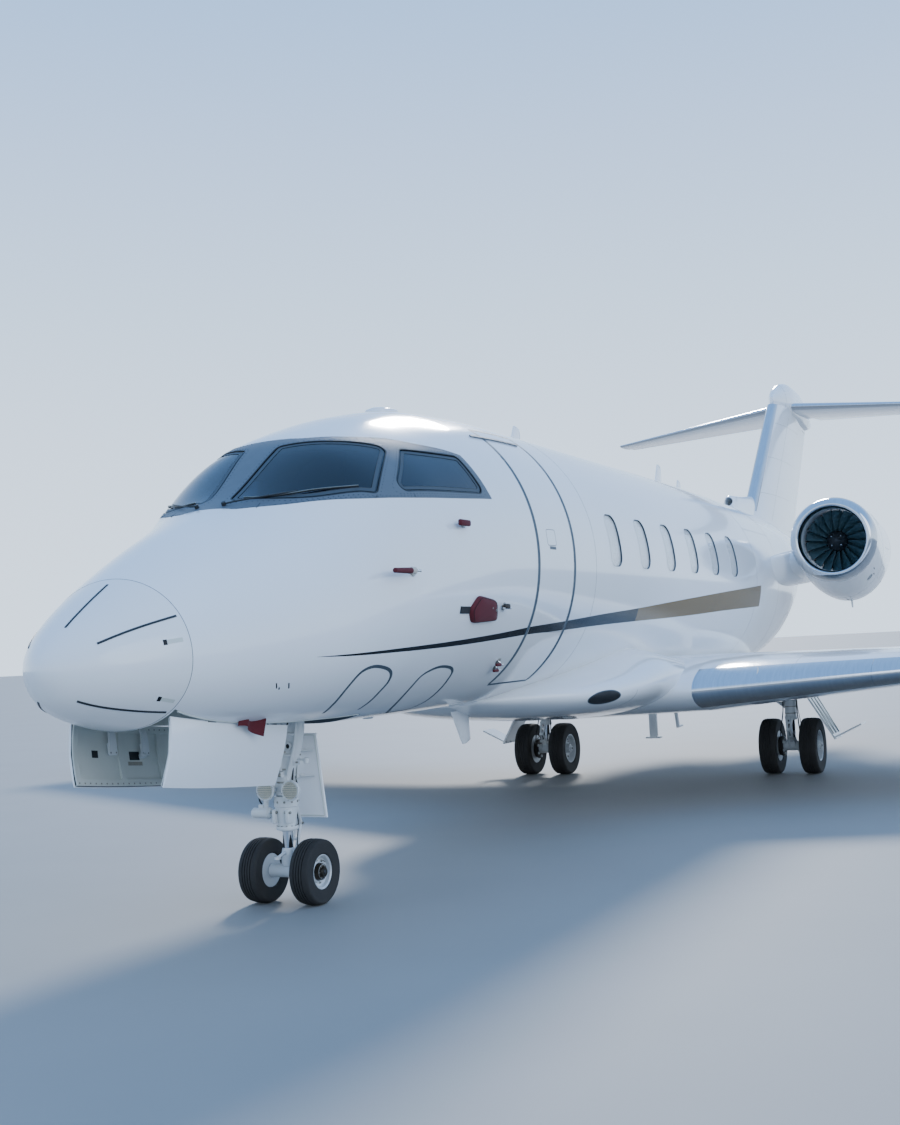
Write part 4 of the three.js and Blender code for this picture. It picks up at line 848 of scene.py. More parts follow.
liner = skinPanel(6.0, 10.56, -9.5, 23.5, -hull["wall"] + 0.001, -hull["wall"] - 0.016, 40, 12)
windowParts = [(joined(*glassParts), "stretchedAcrylic"), (joined(*shadeParts), "shadeWhite"),
               (liner, "cabinLiner")] + trimParts
for label, turn in labelledSides:
    piece(f"cabinWindows.{label}", placed(windowParts, turn), replaces=[f"cabin_windows_{label}"])
print("glazing")

# Side stripe. A thin midnight line grows from the nose to the door, a bronze band runs on from there.
# Columns: station, lower edge, upper edge
stripe = {
    "line": np.array([(1.56, 1.6995, 1.7005), (1.86, 1.695, 1.707), (2.41, 1.704, 1.728), (3.09, 1.722, 1.758),
                      (3.93, 1.759, 1.806), (4.44, 1.788, 1.846)]),
    "band": np.array([(4.45, 1.788, 1.847), (5.17, 1.812, 1.889), (6.03, 1.847, 1.945), (6.89, 1.873, 1.995),
                      (7.89, 1.901, 2.061), (8.92, 1.935, 2.128), (9.84, 1.972, 2.187), (11.70, 2.033, 2.298)]),
    "lift": 0.0009, "sink": -0.004, "turns": 6.95, "farJoint": 4.441,
}
lineStart, lineEnd, bandEnd = stripe["line"][0, 0], stripe["line"][-1, 0], stripe["band"][-1, 0]


def stripePart(table, start, end, gap=0.05):
    # a closed band on the skin between two heights that change with the station
    low, high = smoothCurve(table[:, 0], table[:, 1]), smoothCurve(table[:, 0], table[:, 2])
    s = steps(start, end, gap)[:, None]
    share = np.linspace(0, 1, 7)[None, :]
    z = low(s) * (1 - share) + high(s) * share
    w, top, bottom, mid, above, below = hullSection(s)
    rise = z - mid
    n = np.where(rise >= 0, above, below)
    height = np.where(rise >= 0, top - mid, mid - bottom)
    x = w * (1 - np.minimum(np.abs(rise / height), 1) ** n) ** (1 / n)
    face = ontoHull(x, s, z, stripe["lift"])
    back = ontoHull(x, s, z, stripe["sink"])[:, ::-1]
    return skin(np.concatenate([face, back], 1))


seam = door["gap"] + 0.047
bandEnds = [door["rear"] + seam, hull["joints"][1] - 0.001, hull["joints"][1] + 0.001, stripe["turns"],
            hull["joints"][2] - 0.001, hull["joints"][2] + 0.001, bandEnd]
bandLooks = ["midnightPaint", None, "midnightPaint", "bronzeMetallicPaint", None, "bronzeMetallicPaint"]
fixedStripe = [(stripePart(stripe["line"], lineStart, door["front"] - seam), "midnightPaint")] + [
    (stripePart(stripe["band"], a, b), look) for a, b, look in zip(bandEnds, bandEnds[1:], bandLooks) if look]
doorStripe = stripePart(stripe["band"], door["front"] + 0.001, door["rear"] - 0.001)
farStripe = [(stripePart(stripe["line"], lineStart, lineEnd), "midnightPaint"),
             (stripePart(stripe["band"], stripe["farJoint"], stripe["turns"]), "midnightPaint"),
             (stripePart(stripe["band"], stripe["turns"], bandEnd), "bronzeMetallicPaint")]
piece("sideStripe", fixedStripe + placed(farStripe, mirrored))

# Skin joints, panel edges and small marks. Points are x, station, z near the skin, port side
hullMarks = {
    "lightningStrips": [[(0.028, 0.278, 1.94), (0.028, 0.46, 2.06), (0.028, 0.64, 2.182)],
                        [(0.251, 0.28, 1.836), (0.37, 0.46, 1.91), (0.489, 0.678, 1.976)],
                        [(0.141, 0.227, 1.528), (0.28, 0.44, 1.465), (0.39, 0.679, 1.431)]],
    "bayPanelFront": [(0.548, 2.10, 1.325), (0.70, 2.03, 1.42), (0.80, 2.01, 1.50), (0.875, 2.05, 1.585),
                      (0.91, 2.17, 1.617), (0.905, 2.34, 1.60), (0.882, 2.44, 1.565), (0.83, 2.49, 1.51),
                      (0.75, 2.50, 1.435), (0.65, 2.53, 1.37), (0.548, 2.55, 1.321)],
    "bayPanelRear": [(0.338, 3.30, 1.252), (0.50, 3.11, 1.31), (0.66, 2.98, 1.385), (0.79, 2.93, 1.48),
                     (0.86, 2.96, 1.54), (0.895, 3.12, 1.58), (0.883, 3.31, 1.571), (0.848, 3.42, 1.537),
                     (0.779, 3.47, 1.475), (0.66, 3.53, 1.39), (0.50, 3.59, 1.305), (0.36, 3.57, 1.257)],
    "slantMarks": [[(0.735, 1.30, 1.555), (0.722, 1.325, 1.52)], [(0.733, 1.34, 1.525), (0.727, 1.35, 1.51)],
                   [(0.745, 1.40, 1.555), (0.732, 1.425, 1.52)]],
    "placards": [[(0.523, 0.575, 1.833), (0.523, 0.66, 1.836)], [(0.449, 0.585, 1.501), (0.449, 0.67, 1.496)]],
    "jointHalf": 0.0016, "lift": 0.0006, "girths": (*hull["joints"][:3], 13.05, 15.72),
    # columns: angle, station from, station to
    "seams": ((84, 5.70, 11.45), (30, 11.45, 13.05), (-30, 3.9, 5.2), (28, 16.6, 18.7), (-20, 15.72, 18.2)),
    # battery bay and tail cone door. Columns: stations, then angles
    "hatches": ((14.1, 14.75, -62, -28), (16.1, 16.5, 8, 24)),
}
marks = []
for points in hullMarks["lightningStrips"]:
    strip = lineThrough(points, 0.0065, 30, lift=0.004)
    marks += [(turn(strip), "blackSealant") for turn in (both if points[0][0] > 0.1 else both[:1])]
for name in ("bayPanelFront", "bayPanelRear"):
    path = along(row(*np.array(hullMarks[name]).T), 90)
    closed = name == "bayPanelRear"
    loop = settled(path)
    strip = line(np.vstack([loop, evenly(np.stack([loop[-1], loop[0]]), 0.02, False)[1:-1]]) if closed else loop,
                 0.0125, loop=closed)
    marks += [(turn(strip), "greySealant") for turn in both]
for points in hullMarks["slantMarks"]:
    marks.append((lineThrough(points, 0.0045, 6), "midnightPaint"))
for points in hullMarks["placards"]:
    marks.append((lineThrough(points, 0.013, 6, lift=0.0006), "bayPrimer"))
    marks.append((line(ontoHull(points[0][0], np.linspace(points[0][1] - 0.02, points[0][1], 4), points[0][2],
                                0.0004), 0.016, lift=0.001), "midnightPaint"))


def girth(s, half):
    # a joint round the body at one station
    around = np.linspace(0, 360, 150, endpoint=False)
    return line(hullPoint(s, around), half, lift=hullMarks["lift"], loop=True)


def lengthwise(degrees, s0, s1, half):
    return line(hullPoint(steps(s0, s1, 0.05), degrees), half, lift=hullMarks["lift"])


joint = hullMarks["jointHalf"]
marks += [(girth(s, joint), "greySealant") for s in hullMarks["girths"]]
marks += [(turn(lengthwise(*seamRun, joint)), "greySealant") for turn in both for seamRun in hullMarks["seams"]]


def panelEdge(s0, s1, a0, a1, half=0.0015, corner=0.16):
    # a closed rounded rectangle in station and angle, laid on the skin
    t = circle(96)
    power = 0.2 + corner
    x = np.sign(np.cos(t)) * np.abs(np.cos(t)) ** power
    y = np.sign(np.sin(t)) * np.abs(np.sin(t)) ** power
    return line(hullPoint((s0 + s1) / 2 + x * (s1 - s0) / 2, (a0 + a1) / 2 + y * (a1 - a0) / 2), half,
                lift=hullMarks["lift"], loop=True)


for hatch in hullMarks["hatches"]:
    marks += [(turn(panelEdge(*hatch)), "greySealant") for turn in both]
piece("skinJoints", marks)
print("marks")


# Airstair door: outer skin, lined inner face with its steps, and the hinge along the sill
stair = {"wall": 0.09, "middle": 4.8, "treads": (-38.0, -22.0, -6.0, 10.0), "deep": 0.21, "thick": 0.030,
         "inset": 0.10, "rail": 0.011, "linings": ((-54, -20), (-18, 16), (18, 54)), "pins": (-45, -15, 15, 45)}
doorMesh = carved("airstairPanel", skinPanel(door["front"], door["rear"], door["low"], door["high"], 0.0,
                                             -stair["wall"], 26, 120), [])
doorMesh = hullFinish(doorMesh, "polyurethaneWhite", "cabinLiner", "cabinLiner")
piece("airstairPanel", doorMesh, "airstair", replaces=["airstair_door"])
doorParts = [(doorStripe, "midnightPaint")]
for angle in stair["treads"]:
    x, _, z = hullPoint(stair["middle"], angle, -stair["wall"] + 0.01)
    low = (x - stair["deep"] + 0.01, door["front"] + stair["inset"] - midStation, z - stair["thick"] / 2)
    high = (x + 0.01, door["rear"] - stair["inset"] - midStation, z + stair["thick"] / 2)
    doorParts.append((softBox(low, high, 0.008), "cabinLiner"))
    grip = softBox((low[0] + 0.012, low[1] + 0.015, high[2] - 0.002),
                   (high[0] - 0.03, high[1] - 0.015, high[2] + 0.002), 0.002)
    doorParts.append((grip, "gritTread"))
    nose = softBox((low[0] - 0.003, low[1], low[2] - 0.002), (low[0] + 0.010, high[1], high[2] + 0.004), 0.004)
    doorParts.append((nose, "satinSheetAluminium"))
doorParts.append((panelEdge(4.62, 4.80, 3.5, 9.5, 0.0022, 0.05), "greySealant"))
handle = ontoHull(1.0, np.array([4.66, 4.70, 4.74, 4.78]), 2.475, 0.001)
doorParts.append((line(handle, 0.012, lift=0.002), "satinSheetAluminium"))
for a0, a1 in stair["linings"]:
    inner = hullPoint(np.array([4.50, 5.11])[:, None], np.linspace(a0, a1, 20)[None], -stair["wall"] - 0.002)
    for side in inner:
        doorParts.append((pipe(side, 0.004, 6, 20), "greySealant"))
for s in (4.47, 5.14):  # folding hand rail lies along the lining
    rail = hullPoint(s, np.linspace(-30, 40, 12), -stair["wall"] - 0.02)
    doorParts.append((pipe(rail, stair["rail"], 10, 24), "hardChrome"))
for angle in stair["pins"]:
    for s in (4.452, 5.158):
        spot = hullPoint(s, angle, -0.045)
        doorParts.append((rod(spot + [0, -0.001, 0], spot + [0, 0.001, 0], 0.016), "zincSteel"))
piece("airstairFittings", doorParts, "airstair")

# Drip rail over the door, and a blue-grey band of painted shade of the door gap round the doorway, on the fuselage
# beside the gap
doorway = {"rail": (0.72, 4.20, 5.08, 3.40), "beside": door["gap"] + 0.0245, "besideAngle": 0.85, "overrun": 0.3,
           "upright": 0.022, "level": 0.012}
railX, railFront, railRear, railZ = doorway["rail"]
rail = ontoHull(railX, steps(railFront, railRear, 0.05), railZ)
# the black strip set just under the rail is a painted shadow of the rail on the skin
piece("dripRail", [(line(rail, 0.011, lift=0.012), "satinSheetAluminium"),
                   (line(rail - hullNormal(rail) * 0.001 + [0, 0, -0.013], 0.004, lift=0.002), "blackSealant")])
# the band beside the gap is painted shade of the gap, drawn wider than the gap itself
shadeFront, shadeRear = door["front"] - doorway["beside"], door["rear"] + doorway["beside"]
upright = np.linspace(door["low"] - doorway["overrun"], door["high"] + doorway["overrun"], 110)
gapShade = [(line(hullPoint(s, upright), doorway["upright"]), "doorGapShade") for s in (shadeFront, shadeRear)]
for angle in (door["low"] - doorway["besideAngle"], door["high"] + doorway["besideAngle"]):
    gapShade.append((line(hullPoint(steps(shadeFront, shadeRear, 0.05), angle), doorway["level"]), "doorGapShade"))
piece("doorGapShadeBand", gapShade)

# Probes under their red covers, and the red streamer at the nose gear. Points: x, station, z near the skin.
# "padRings" builds the padded cover up. Columns: share of its outline, height over the skin
covers = {"sleeve": (1.045, 2.48, 2.235), "sleeveReach": 0.055, "vane": (1.10, 3.20, 2.60), "vaneReach": 0.045,
          "cone": (1.115, 3.82, 2.0), "low": ((4.17, 1.60), (4.205, 1.515)), "lowX": 0.86, "lowReach": 0.04,
          "pad": [(1.125, 3.348, 2.085), (1.121, 3.646, 2.052), (1.073, 3.728, 1.904), (1.072, 3.301, 1.885),
                  (1.101, 3.225, 1.978)],
          "padRings": ((1.0, -0.002), (1.0, 0.010), (0.97, 0.020), (0.86, 0.030), (0.55, 0.036), (0.2, 0.037))}


def standingProbe(point, reach, length, radius, look="hardChrome"):
    # mast out of the skin and a tube along the stream
    foot = ontoHull(*point)
    normal = hullNormal(foot)
    tip = foot + normal * reach
    plate = rod(foot - normal * 0.004, foot + normal * 0.004, 0.034, 0.030, 24)
    mast = pipe(np.array([foot, foot + normal * reach * 0.6 + [0, 0.012, 0], tip]), radius * 1.1, 10, 14)
    tube = rod(tip + [0, 0.03, 0], tip - [0, length, 0], radius, radius * 0.7, 18, 0.002)
    return [(plate, "zincSteel"), (mast, look), (tube, look)]


bits = standingProbe(covers["sleeve"], covers["sleeveReach"], 0.30, 0.010)
base = ontoHull(*covers["sleeve"])
tip = base + hullNormal(base) * covers["sleeveReach"]
bits.append((rod(tip - [0, 0.10, 0.002], tip - [0, 0.33, 0.006], 0.021, 0.017, 20, 0.006), "redWebbing"))
bits.append((rod(tip - [0, 0.055, 0.001], tip - [0, 0.105, 0.002], 0.026, 0.024, 20, 0.005), "cabinLiner"))
vane = ontoHull(1.10, 3.16, 2.59)
vane = vane + hullNormal(vane) * covers["vaneReach"]
bits += standingProbe(covers["vane"], covers["vaneReach"], 0.10, 0.008)
bits.append((softBox(vane + [-0.016, -0.085, -0.022], vane + [0.016, 0.075, 0.024], 0.012), "redWebbing"))
padLoop = evenly(row(*np.array(covers["pad"]).T), 0.012, True)
for _ in range(14):  # corners ease by averaging with their neighbours
    padLoop = (np.roll(padLoop, 1, 0) + padLoop * 2 + np.roll(padLoop, -1, 0)) / 4
middle = padLoop.mean(0)
rings = []
for share, off in covers["padRings"]:
    spot = settled(middle + (padLoop - middle) * share)
    rings.append(spot + hullNormal(spot) * off)
bits.append((skin(np.array(rings)), "redWebbing"))
stitch = settled(middle + (padLoop - middle) * 0.90)
stitch = stitch + hullNormal(stitch) * 0.0295
bits.append((pipe(np.vstack([stitch, stitch[:2]]), 0.0016, 6, 160), "midnightPaint"))
spots = ontoHull([1.10, 1.10], [3.56, 3.63], [2.00, 1.985])
bits.append((bolts(spots + hullNormal(spots) * 0.034, hullNormal(spots), 0.009, 0.004), "zincSteel"))
tab = ontoHull(1.10, np.linspace(3.10, 3.24, 8), 1.978)
bits.append((line(tab, 0.026, lift=0.008), "panelBlack"))
bits += standingProbe(covers["cone"], 0.05, 0.11, 0.008)
cone = ontoHull(1.115, 3.80, 2.0)
bits.append((softBox(cone + [0.03, -0.06, -0.02], cone + [0.06, 0.03, 0.02], 0.012), "sinteredSteel"))
for s, z in covers["low"]:
    bits += standingProbe((covers["lowX"], s, z), covers["lowReach"], 0.09, 0.007)
    spot = ontoHull(covers["lowX"], s, z)
    spot = spot + hullNormal(spot) * covers["lowReach"]
    bits.append((rod(spot - [0, 0.02, 0], spot - [0, 0.10, 0], 0.013, 0.011, 16, 0.004), "redWebbing"))
coverParts = bits + placed(bits, mirrored)
# streamer: a folded strip of webbing that hangs from the bay edge
flagTop = row(0.45, 1.30, 1.36)
wave = np.linspace(0, 1, 22)
strip = flagTop + np.stack([0.02 * np.sin(wave * 7) + 0.03 * wave, 0.20 * wave + 0.01 * np.sin(wave * 9),
                            -0.07 * wave + 0.012 * np.sin(wave * 5)], -1)
wide, thick = np.array([0.010, 0.004, 0.055]), np.array([0.0022, 0, 0])
rows = np.stack([strip - wide, strip + wide, strip + wide + thick, strip - wide + thick], 1)
coverParts.append((skin(rows), "redWebbing"))
piece("probeCovers", coverParts)

# Flight deck: glareshield, panel with dark displays, pedestal, two leather seats; cabin floor with carpet
deck = {"seatX": 0.46, "floor": (1.66, 1.70), "fit": -0.092, "displays": (-0.52, -0.175, 0.175, 0.52)}
floorLow, floorHigh = deck["floor"]


def roundedBlock(low, high, edge):
    return softBox((low[0], low[1] - midStation, low[2]), (high[0], high[1] - midStation, high[2]), edge)


def cabinBlock(name, low, high, edge, look, replaces=(), tools=()):
    # a block trimmed to the inside of the fuselage
    within = hullSkin(steps(0.9, 12.2, 0.15), deck["fit"], 96)
    mesh = carved(name, roundedBlock(low, high, edge), tools, [within])
    piece(name, plain(mesh, look), replaces=replaces)


floorCut = roundedBlock((0.46, door["front"] - 0.03, 1.5), (1.3, door["rear"] + 0.03, 1.85), 0.002)
cabinBlock("cabinFloor", (-0.88, 3.35, floorLow), (0.88, 11.2, floorHigh), 0.004, "woolCarpet",
           ["cabin_floor"], [floorCut])
cabinBlock("flightDeckFloor", (-0.7, 2.35, floorLow), (0.7, 3.352, floorHigh), 0.004, "woolCarpet")
cabinBlock("entryBulkhead", (-1.2, 3.90, 1.69), (1.2, 3.94, 3.6), 0.003, "cabinLiner",
           tools=[roundedBlock((-0.27, 3.7, 1.60), (0.27, 4.1, 3.42), 0.05)])
seatParts = []
for side in (1, -1):
    x = side * deck["seatX"]
    seatParts += [
        (roundedBlock((x - 0.22, 2.98, 2.10), (x + 0.22, 3.44, 2.24), 0.05), "greyLeather"),
        (roundedBlock((x - 0.23, 3.00, 2.09), (x - 0.18, 3.42, 2.26), 0.024), "greyLeather"),
        (roundedBlock((x + 0.18, 3.00, 2.09), (x + 0.23, 3.42, 2.26), 0.024), "greyLeather"),
        (moved(roundedBlock((x - 0.21, 3.44, 2.16), (x + 0.21, 3.55, 2.80), 0.05), turned("X", -10),
               about=(x, 3.49 - midStation, 2.16)), "greyLeather"),
        (roundedBlock((x - 0.12, 3.54, 2.80), (x + 0.12, 3.63, 2.99), 0.04), "greyLeather"),
        (rod(row(x - 0.05, 3.585, 2.74), row(x - 0.05, 3.585, 2.83), 0.008), "hardChrome"),
        (rod(row(x + 0.05, 3.585, 2.74), row(x + 0.05, 3.585, 2.83), 0.008), "hardChrome"),
        (roundedBlock((x - 0.15, 3.08, 1.70), (x + 0.15, 3.42, 2.10), 0.03), "panelBlack"),
        (roundedBlock((x + side * 0.25 - 0.03, 3.10, 2.36), (x + side * 0.25 + 0.03, 3.44, 2.41), 0.02), "greyLeather"),
        (pipe(row(x + np.array([-0.13, -0.15, -0.14]), [3.46, 3.49, 3.55], [2.28, 2.5, 2.78]), 0.012, 8, 16),
         "panelBlack"),
        (pipe(row(x + np.array([0.13, 0.15, 0.14]), [3.46, 3.49, 3.55], [2.28, 2.5, 2.78]), 0.012, 8, 16),
         "panelBlack"),
        (pipe(row(x + np.array([-0.12, -0.11, 0.11, 0.12]), [2.66, 2.62, 2.62, 2.66], [2.52, 2.38, 2.38, 2.52]),
              0.012, 10, 24), "panelBlack"),
        (rod(row(x, 2.50, 2.30), row(x, 2.64, 2.40), 0.022), "panelBlack"),
    ]
piece("pilotSeats", seatParts)
cabinBlock("glareshield", (-0.9, 2.16, 2.595), (0.9, 2.62, 2.64), 0.02, "panelBlack",
           ["instrument_panel"])
cabinBlock("instrumentBoard", (-0.75, 2.40, 2.05), (0.75, 2.50, 2.60), 0.015, "panelBlack",
           ["instrument_panel"])
consoleParts = [(roundedBlock((-0.17, 2.45, 1.70), (0.17, 3.02, 2.20), 0.025), "panelBlack"),
                (roundedBlock((-0.14, 2.62, 2.195), (0.14, 2.98, 2.206), 0.004), "displayGlass"),
                (rod(row(-0.035, 2.60, 2.19), row(-0.035, 2.56, 2.33), 0.012), "panelBlack"),
                (rod(row(0.035, 2.60, 2.19), row(0.035, 2.56, 2.33), 0.012), "panelBlack")]
for x in deck["displays"]:
    consoleParts.append((roundedBlock((x - 0.155, 2.495, 2.27), (x + 0.155, 2.506, 2.53), 0.004), "displayGlass"))
    consoleParts.append((roundedBlock((x - 0.165, 2.494, 2.26), (x + 0.165, 2.503, 2.54), 0.003), "panelBlack"))
piece("flightDeckConsoles", consoleParts)
print("door and flight deck")


# Wing sections: rounded aerofoil with a little camber. Columns: span x, nose station, chord, height, thickness
wing = {
    "rows": np.array([(0.0, 6.85, 4.95, 1.15, 0.125), (1.5, 7.20, 4.50, 1.17, 0.125),
                      (3.3, 8.15, 3.30, 1.258, 0.115), (9.4, 11.36, 1.24, 1.558, 0.10)]),
    "hinge": np.array([(1.5, 10.98), (3.3, 10.76), (9.4, 12.28)]),
    "edge": 0.07, "flap": (1.51, 6.30), "aileron": (6.315, 9.085), "root": 1.5, "tip": 9.4, "camber": 0.012,
    "trailing": 0.0015, "gap": 0.002, "tracks": (2.35, 3.95, 5.60), "ribs": (2.35, 3.95, 5.60, 7.4, 8.6),
    "wicks": (6.6, 7.3, 8.0, 8.7, 9.25),
}
tail = {"rows": np.array([(0.05, 18.55, 2.10, 5.680, 0.10), (3.64, 20.22, 0.75, 5.560, 0.09)]), "hinge": 0.70,
        "elevator": (0.25, 3.60), "wicks": (2.6, 3.0, 3.4)}


def spanRow(rows, x):
    # straight between the rows of a table
    return [np.interp(x, rows[:, 0], rows[:, k]) for k in range(1, rows.shape[1])]


def halfThickness(c):
    return 5 * (0.2969 * np.sqrt(c) - 0.126 * c - 0.3516 * c ** 2 + 0.2843 * c ** 3 - 0.1015 * c ** 4)


def chordShares(c0, c1, count):
    # closer together round a nose: the share of the chord goes with the square of an even step
    t = np.linspace(0, 1, count)
    return c0 + (c1 - c0) * (t * t if c0 == 0 else t)


def foil(nose, chord, height, ratio, c0, c1, count=28, slim=0.0, camber=wing["camber"]):
    # upper side from c0 to c1, then back along the lower side; returns stations and heights
    c = chordShares(c0, c1, count)
    middle = height + chord * camber * (1 - (2 * c - 1) ** 2)
    half = np.maximum(chord * ratio * halfThickness(c) - slim, wing["trailing"])
    half = np.where(c < 1e-9, 0, half)
    s = nose + chord * c
    upper, lower = np.stack([s, middle + half], -1), np.stack([s, middle - half], -1)[::-1]
    return np.vstack([upper, lower[:-1]]) if c0 == 0 else np.vstack([upper, lower])


def wingPart(rows, xs, begin, end, count=28, slim=0.0, camber=wing["camber"]):
    # foil rings along the span; begin and end give the chord's share at each x
    rings = []
    for x in xs:
        nose, chord, height, ratio = spanRow(rows, x)
        ring = foil(nose, chord, height, ratio, begin(x, chord, nose), end(x, chord, nose), count, slim, camber)
        rings.append(row(x, ring[:, 0], ring[:, 1]))
    return skin(np.array(rings))


def share(value):
    return lambda x, chord, nose: value


def hingeShare(extra=0.0):
    return lambda x, chord, nose: (np.interp(x, *wing["hinge"].T) - nose + extra) / chord


def spanSteps(start, end, gap=0.35):
    # even steps that also meet the kink of the trailing edge
    kink = wing["rows"][2, 0]
    if start < kink < end:
        return np.concatenate([steps(start, kink, gap), steps(kink, end, gap)[1:]])
    return steps(start, end, gap)


wingSkin = carved("wingBox", joined(
    wingPart(wing["rows"], spanSteps(wing["root"], wing["tip"]), lambda x, chord, nose: wing["edge"] + hair / chord,
             hingeShare(), 40)), [roundedBlock((1.4, 10.75, 0.7), (1.72, 10.97, 1.14), 0.01)])
plain(wingSkin, "polyurethaneWhite", 30)
tipShare = wingPart(wing["rows"], [9.10, 9.25, wing["tip"]], lambda x, chord, nose: hingeShare()(x, chord, nose) - 0.02,
                    share(1), 12)
leading = wingPart(wing["rows"], spanSteps(wing["root"], wing["tip"]), share(0), share(wing["edge"]), 20)
flapPart = wingPart(wing["rows"], spanSteps(*wing["flap"]), hingeShare(hair), share(1), 20, wing["gap"])
aileronPart = wingPart(wing["rows"], spanSteps(*wing["aileron"]), hingeShare(hair), share(1), 20, wing["gap"])


def copied(mesh, name, turn):
    # the same mesh, or its mirror image with its faces turned back
    made = mesh.copy()
    made.name = name
    if turn is mirrored:
        made.transform(Matrix.Scale(-1, 4, (1, 0, 0)))
        made.flip_normals()
    return made


def canoe(x, part):
    # flap track fairing: superellipse rings along the stream, split at the hinge line
    _, _, height, _ = spanRow(wing["rows"], x)
    hinge = np.interp(x, *wing["hinge"].T)
    place = np.array([-0.75, -0.50, -0.10, 0.25, 0.62])
    table = np.array([(0.012, 0.02, 0.0), (0.055, 0.075, -0.03), (0.075, 0.105, -0.045), (0.065, 0.085, -0.03),
                      (0.012, 0.02, 0.03)])
    width, tall, lift = (smoothCurve(place, table[:, k]) for k in range(3))
    start, end = (-0.75, -0.0002) if part == "wing" else (0.0006, 0.62)
    at = np.linspace(start, end, 18)[:, None]
    turn = circle(24)[None]
    return skin(row(x + width(at) * np.cos(turn), hinge + at, height - 0.02 + lift(at) + tall(at) * np.sin(turn)))


def onWing(x, c, side=1, off=0.0):
    # a point of the wing's upper (1) or lower (-1) skin
    nose, chord, height, ratio = spanRow(wing["rows"], x)
    middle = height + chord * wing["camber"] * (1 - (2 * c - 1) ** 2)
    half = np.maximum(chord * ratio * halfThickness(c), wing["trailing"])
    return row(x, nose + chord * c, middle + side * (half + off))


def surfaceLine(path, normal, half=0.0016, lift=0.0006, loop=False):
    # a strip on any skin, given the way out of that skin
    path = np.asarray(path, float)
    normal = np.broadcast_to(unit(np.asarray(normal, float)), path.shape)
    heading = np.roll(path, -1, 0) - np.roll(path, 1, 0) if loop else np.gradient(path, axis=0)
    across = unit(np.cross(heading, normal))
    rows = np.stack([path - across * half - normal * 0.003, path - across * half + normal * lift,
                     path + across * half + normal * lift, path + across * half - normal * 0.003], 1)
    return skin(rows, ring=loop)


# Skin joints of the wing, fuel hatches below, static wicks and a small fence on the leading edge
wingTrim = []
for x in wing["ribs"]:
    for side in (1, -1):
        path = onWing(x, np.linspace(wing["edge"] + 0.005, 0.66, 26), side)
        wingTrim.append((surfaceLine(path, (0, 0, side)), "greySealant"))
for c in (0.22, 0.55):
    for side in (1, -1):
        xs = np.linspace(1.75, 9.1, 50)
        wingTrim.append((surfaceLine(onWing(xs, c, side), (0, 0, side)), "greySealant"))
for x in np.linspace(2.6, 8.2, 8):
    t = circle(32)
    path = onWing(x + 0.16 * np.cos(t), 0.38 + 0.11 * np.sin(t) / np.interp(x, wing["rows"][:, 0], wing["rows"][:, 2]),
                  -1)
    wingTrim.append((surfaceLine(path, (0, 0, -1), loop=True), "greySealant"))
for x in (1.515, 3.05, 4.6, 6.2, 7.75, 9.3):
    for side in (1, -1):
        path = onWing(x, chordShares(0.0, wing["edge"], 14)[1:], side)
        wingTrim.append((surfaceLine(path, (0, -0.5, side), 0.0012), "greySealant"))
# sealed gap ahead of the flap and the aileron
for side in (1, -1):
    xs = spanSteps(1.55, 9.08, 0.12)
    share0 = np.array([hingeShare(-0.006)(x, *spanRow(wing["rows"], x)[1::-1]) for x in xs])
    wingTrim.append((surfaceLine(onWing(xs, share0, side), (0, 0, side), 0.005, 0.0008), "blackSealant"))
for x in wing["wicks"]:
    end = onWing(x, 1.0)
    wingTrim.append((rod(end + [0, -0.04, 0.002], end + [0, 0.11, 0], 0.003, 0.0012, 6), "blackSealant"))
blade = onWing(2.05, 0.02, 1, -0.03)
wingTrim.append((skin(np.stack([blade + np.array(p) for p in (
    [(0, -0.01, 0), (0.004, 0.04, 0), (0, 0.10, 0), (-0.004, 0.04, 0)],
    [(0, 0.03, 0.10), (0.003, 0.05, 0.10), (0, 0.08, 0.10), (-0.003, 0.05, 0.10)])])), "gearEnamel"))

# Winglet: the section leans over as it climbs. Columns: x, height, nose station, chord, lean
winglet = {"rows": np.array([(9.4004, 1.558, 11.36, 1.24, 0), (9.72, 1.640, 11.56, 1.08, 22),
                             (9.98, 1.850, 11.80, 0.93, 48), (10.50, 2.780, 12.72, 0.42, 62)]),
           "thickness": 0.09}


def wingletPart(count=26):
    table = winglet["rows"]
    run = np.concatenate([[0], np.cumsum(np.linalg.norm(np.diff(table[:, :2], axis=0), axis=1))])
    at = np.linspace(0, run[-1], count)
    x, z, nose, chord, lean = (smoothCurve(run, table[:, k])(at) for k in range(5))
    rings = []
    for k in range(count):
        ring = foil(nose[k], chord[k], 0, winglet["thickness"], 0, 1, 30)
        tilt = math.radians(lean[k])
        rings.append(row(x[k] - ring[:, 1] * math.sin(tilt), ring[:, 0], z[k] + ring[:, 1] * math.cos(tilt)))
    return skin(np.array(rings))


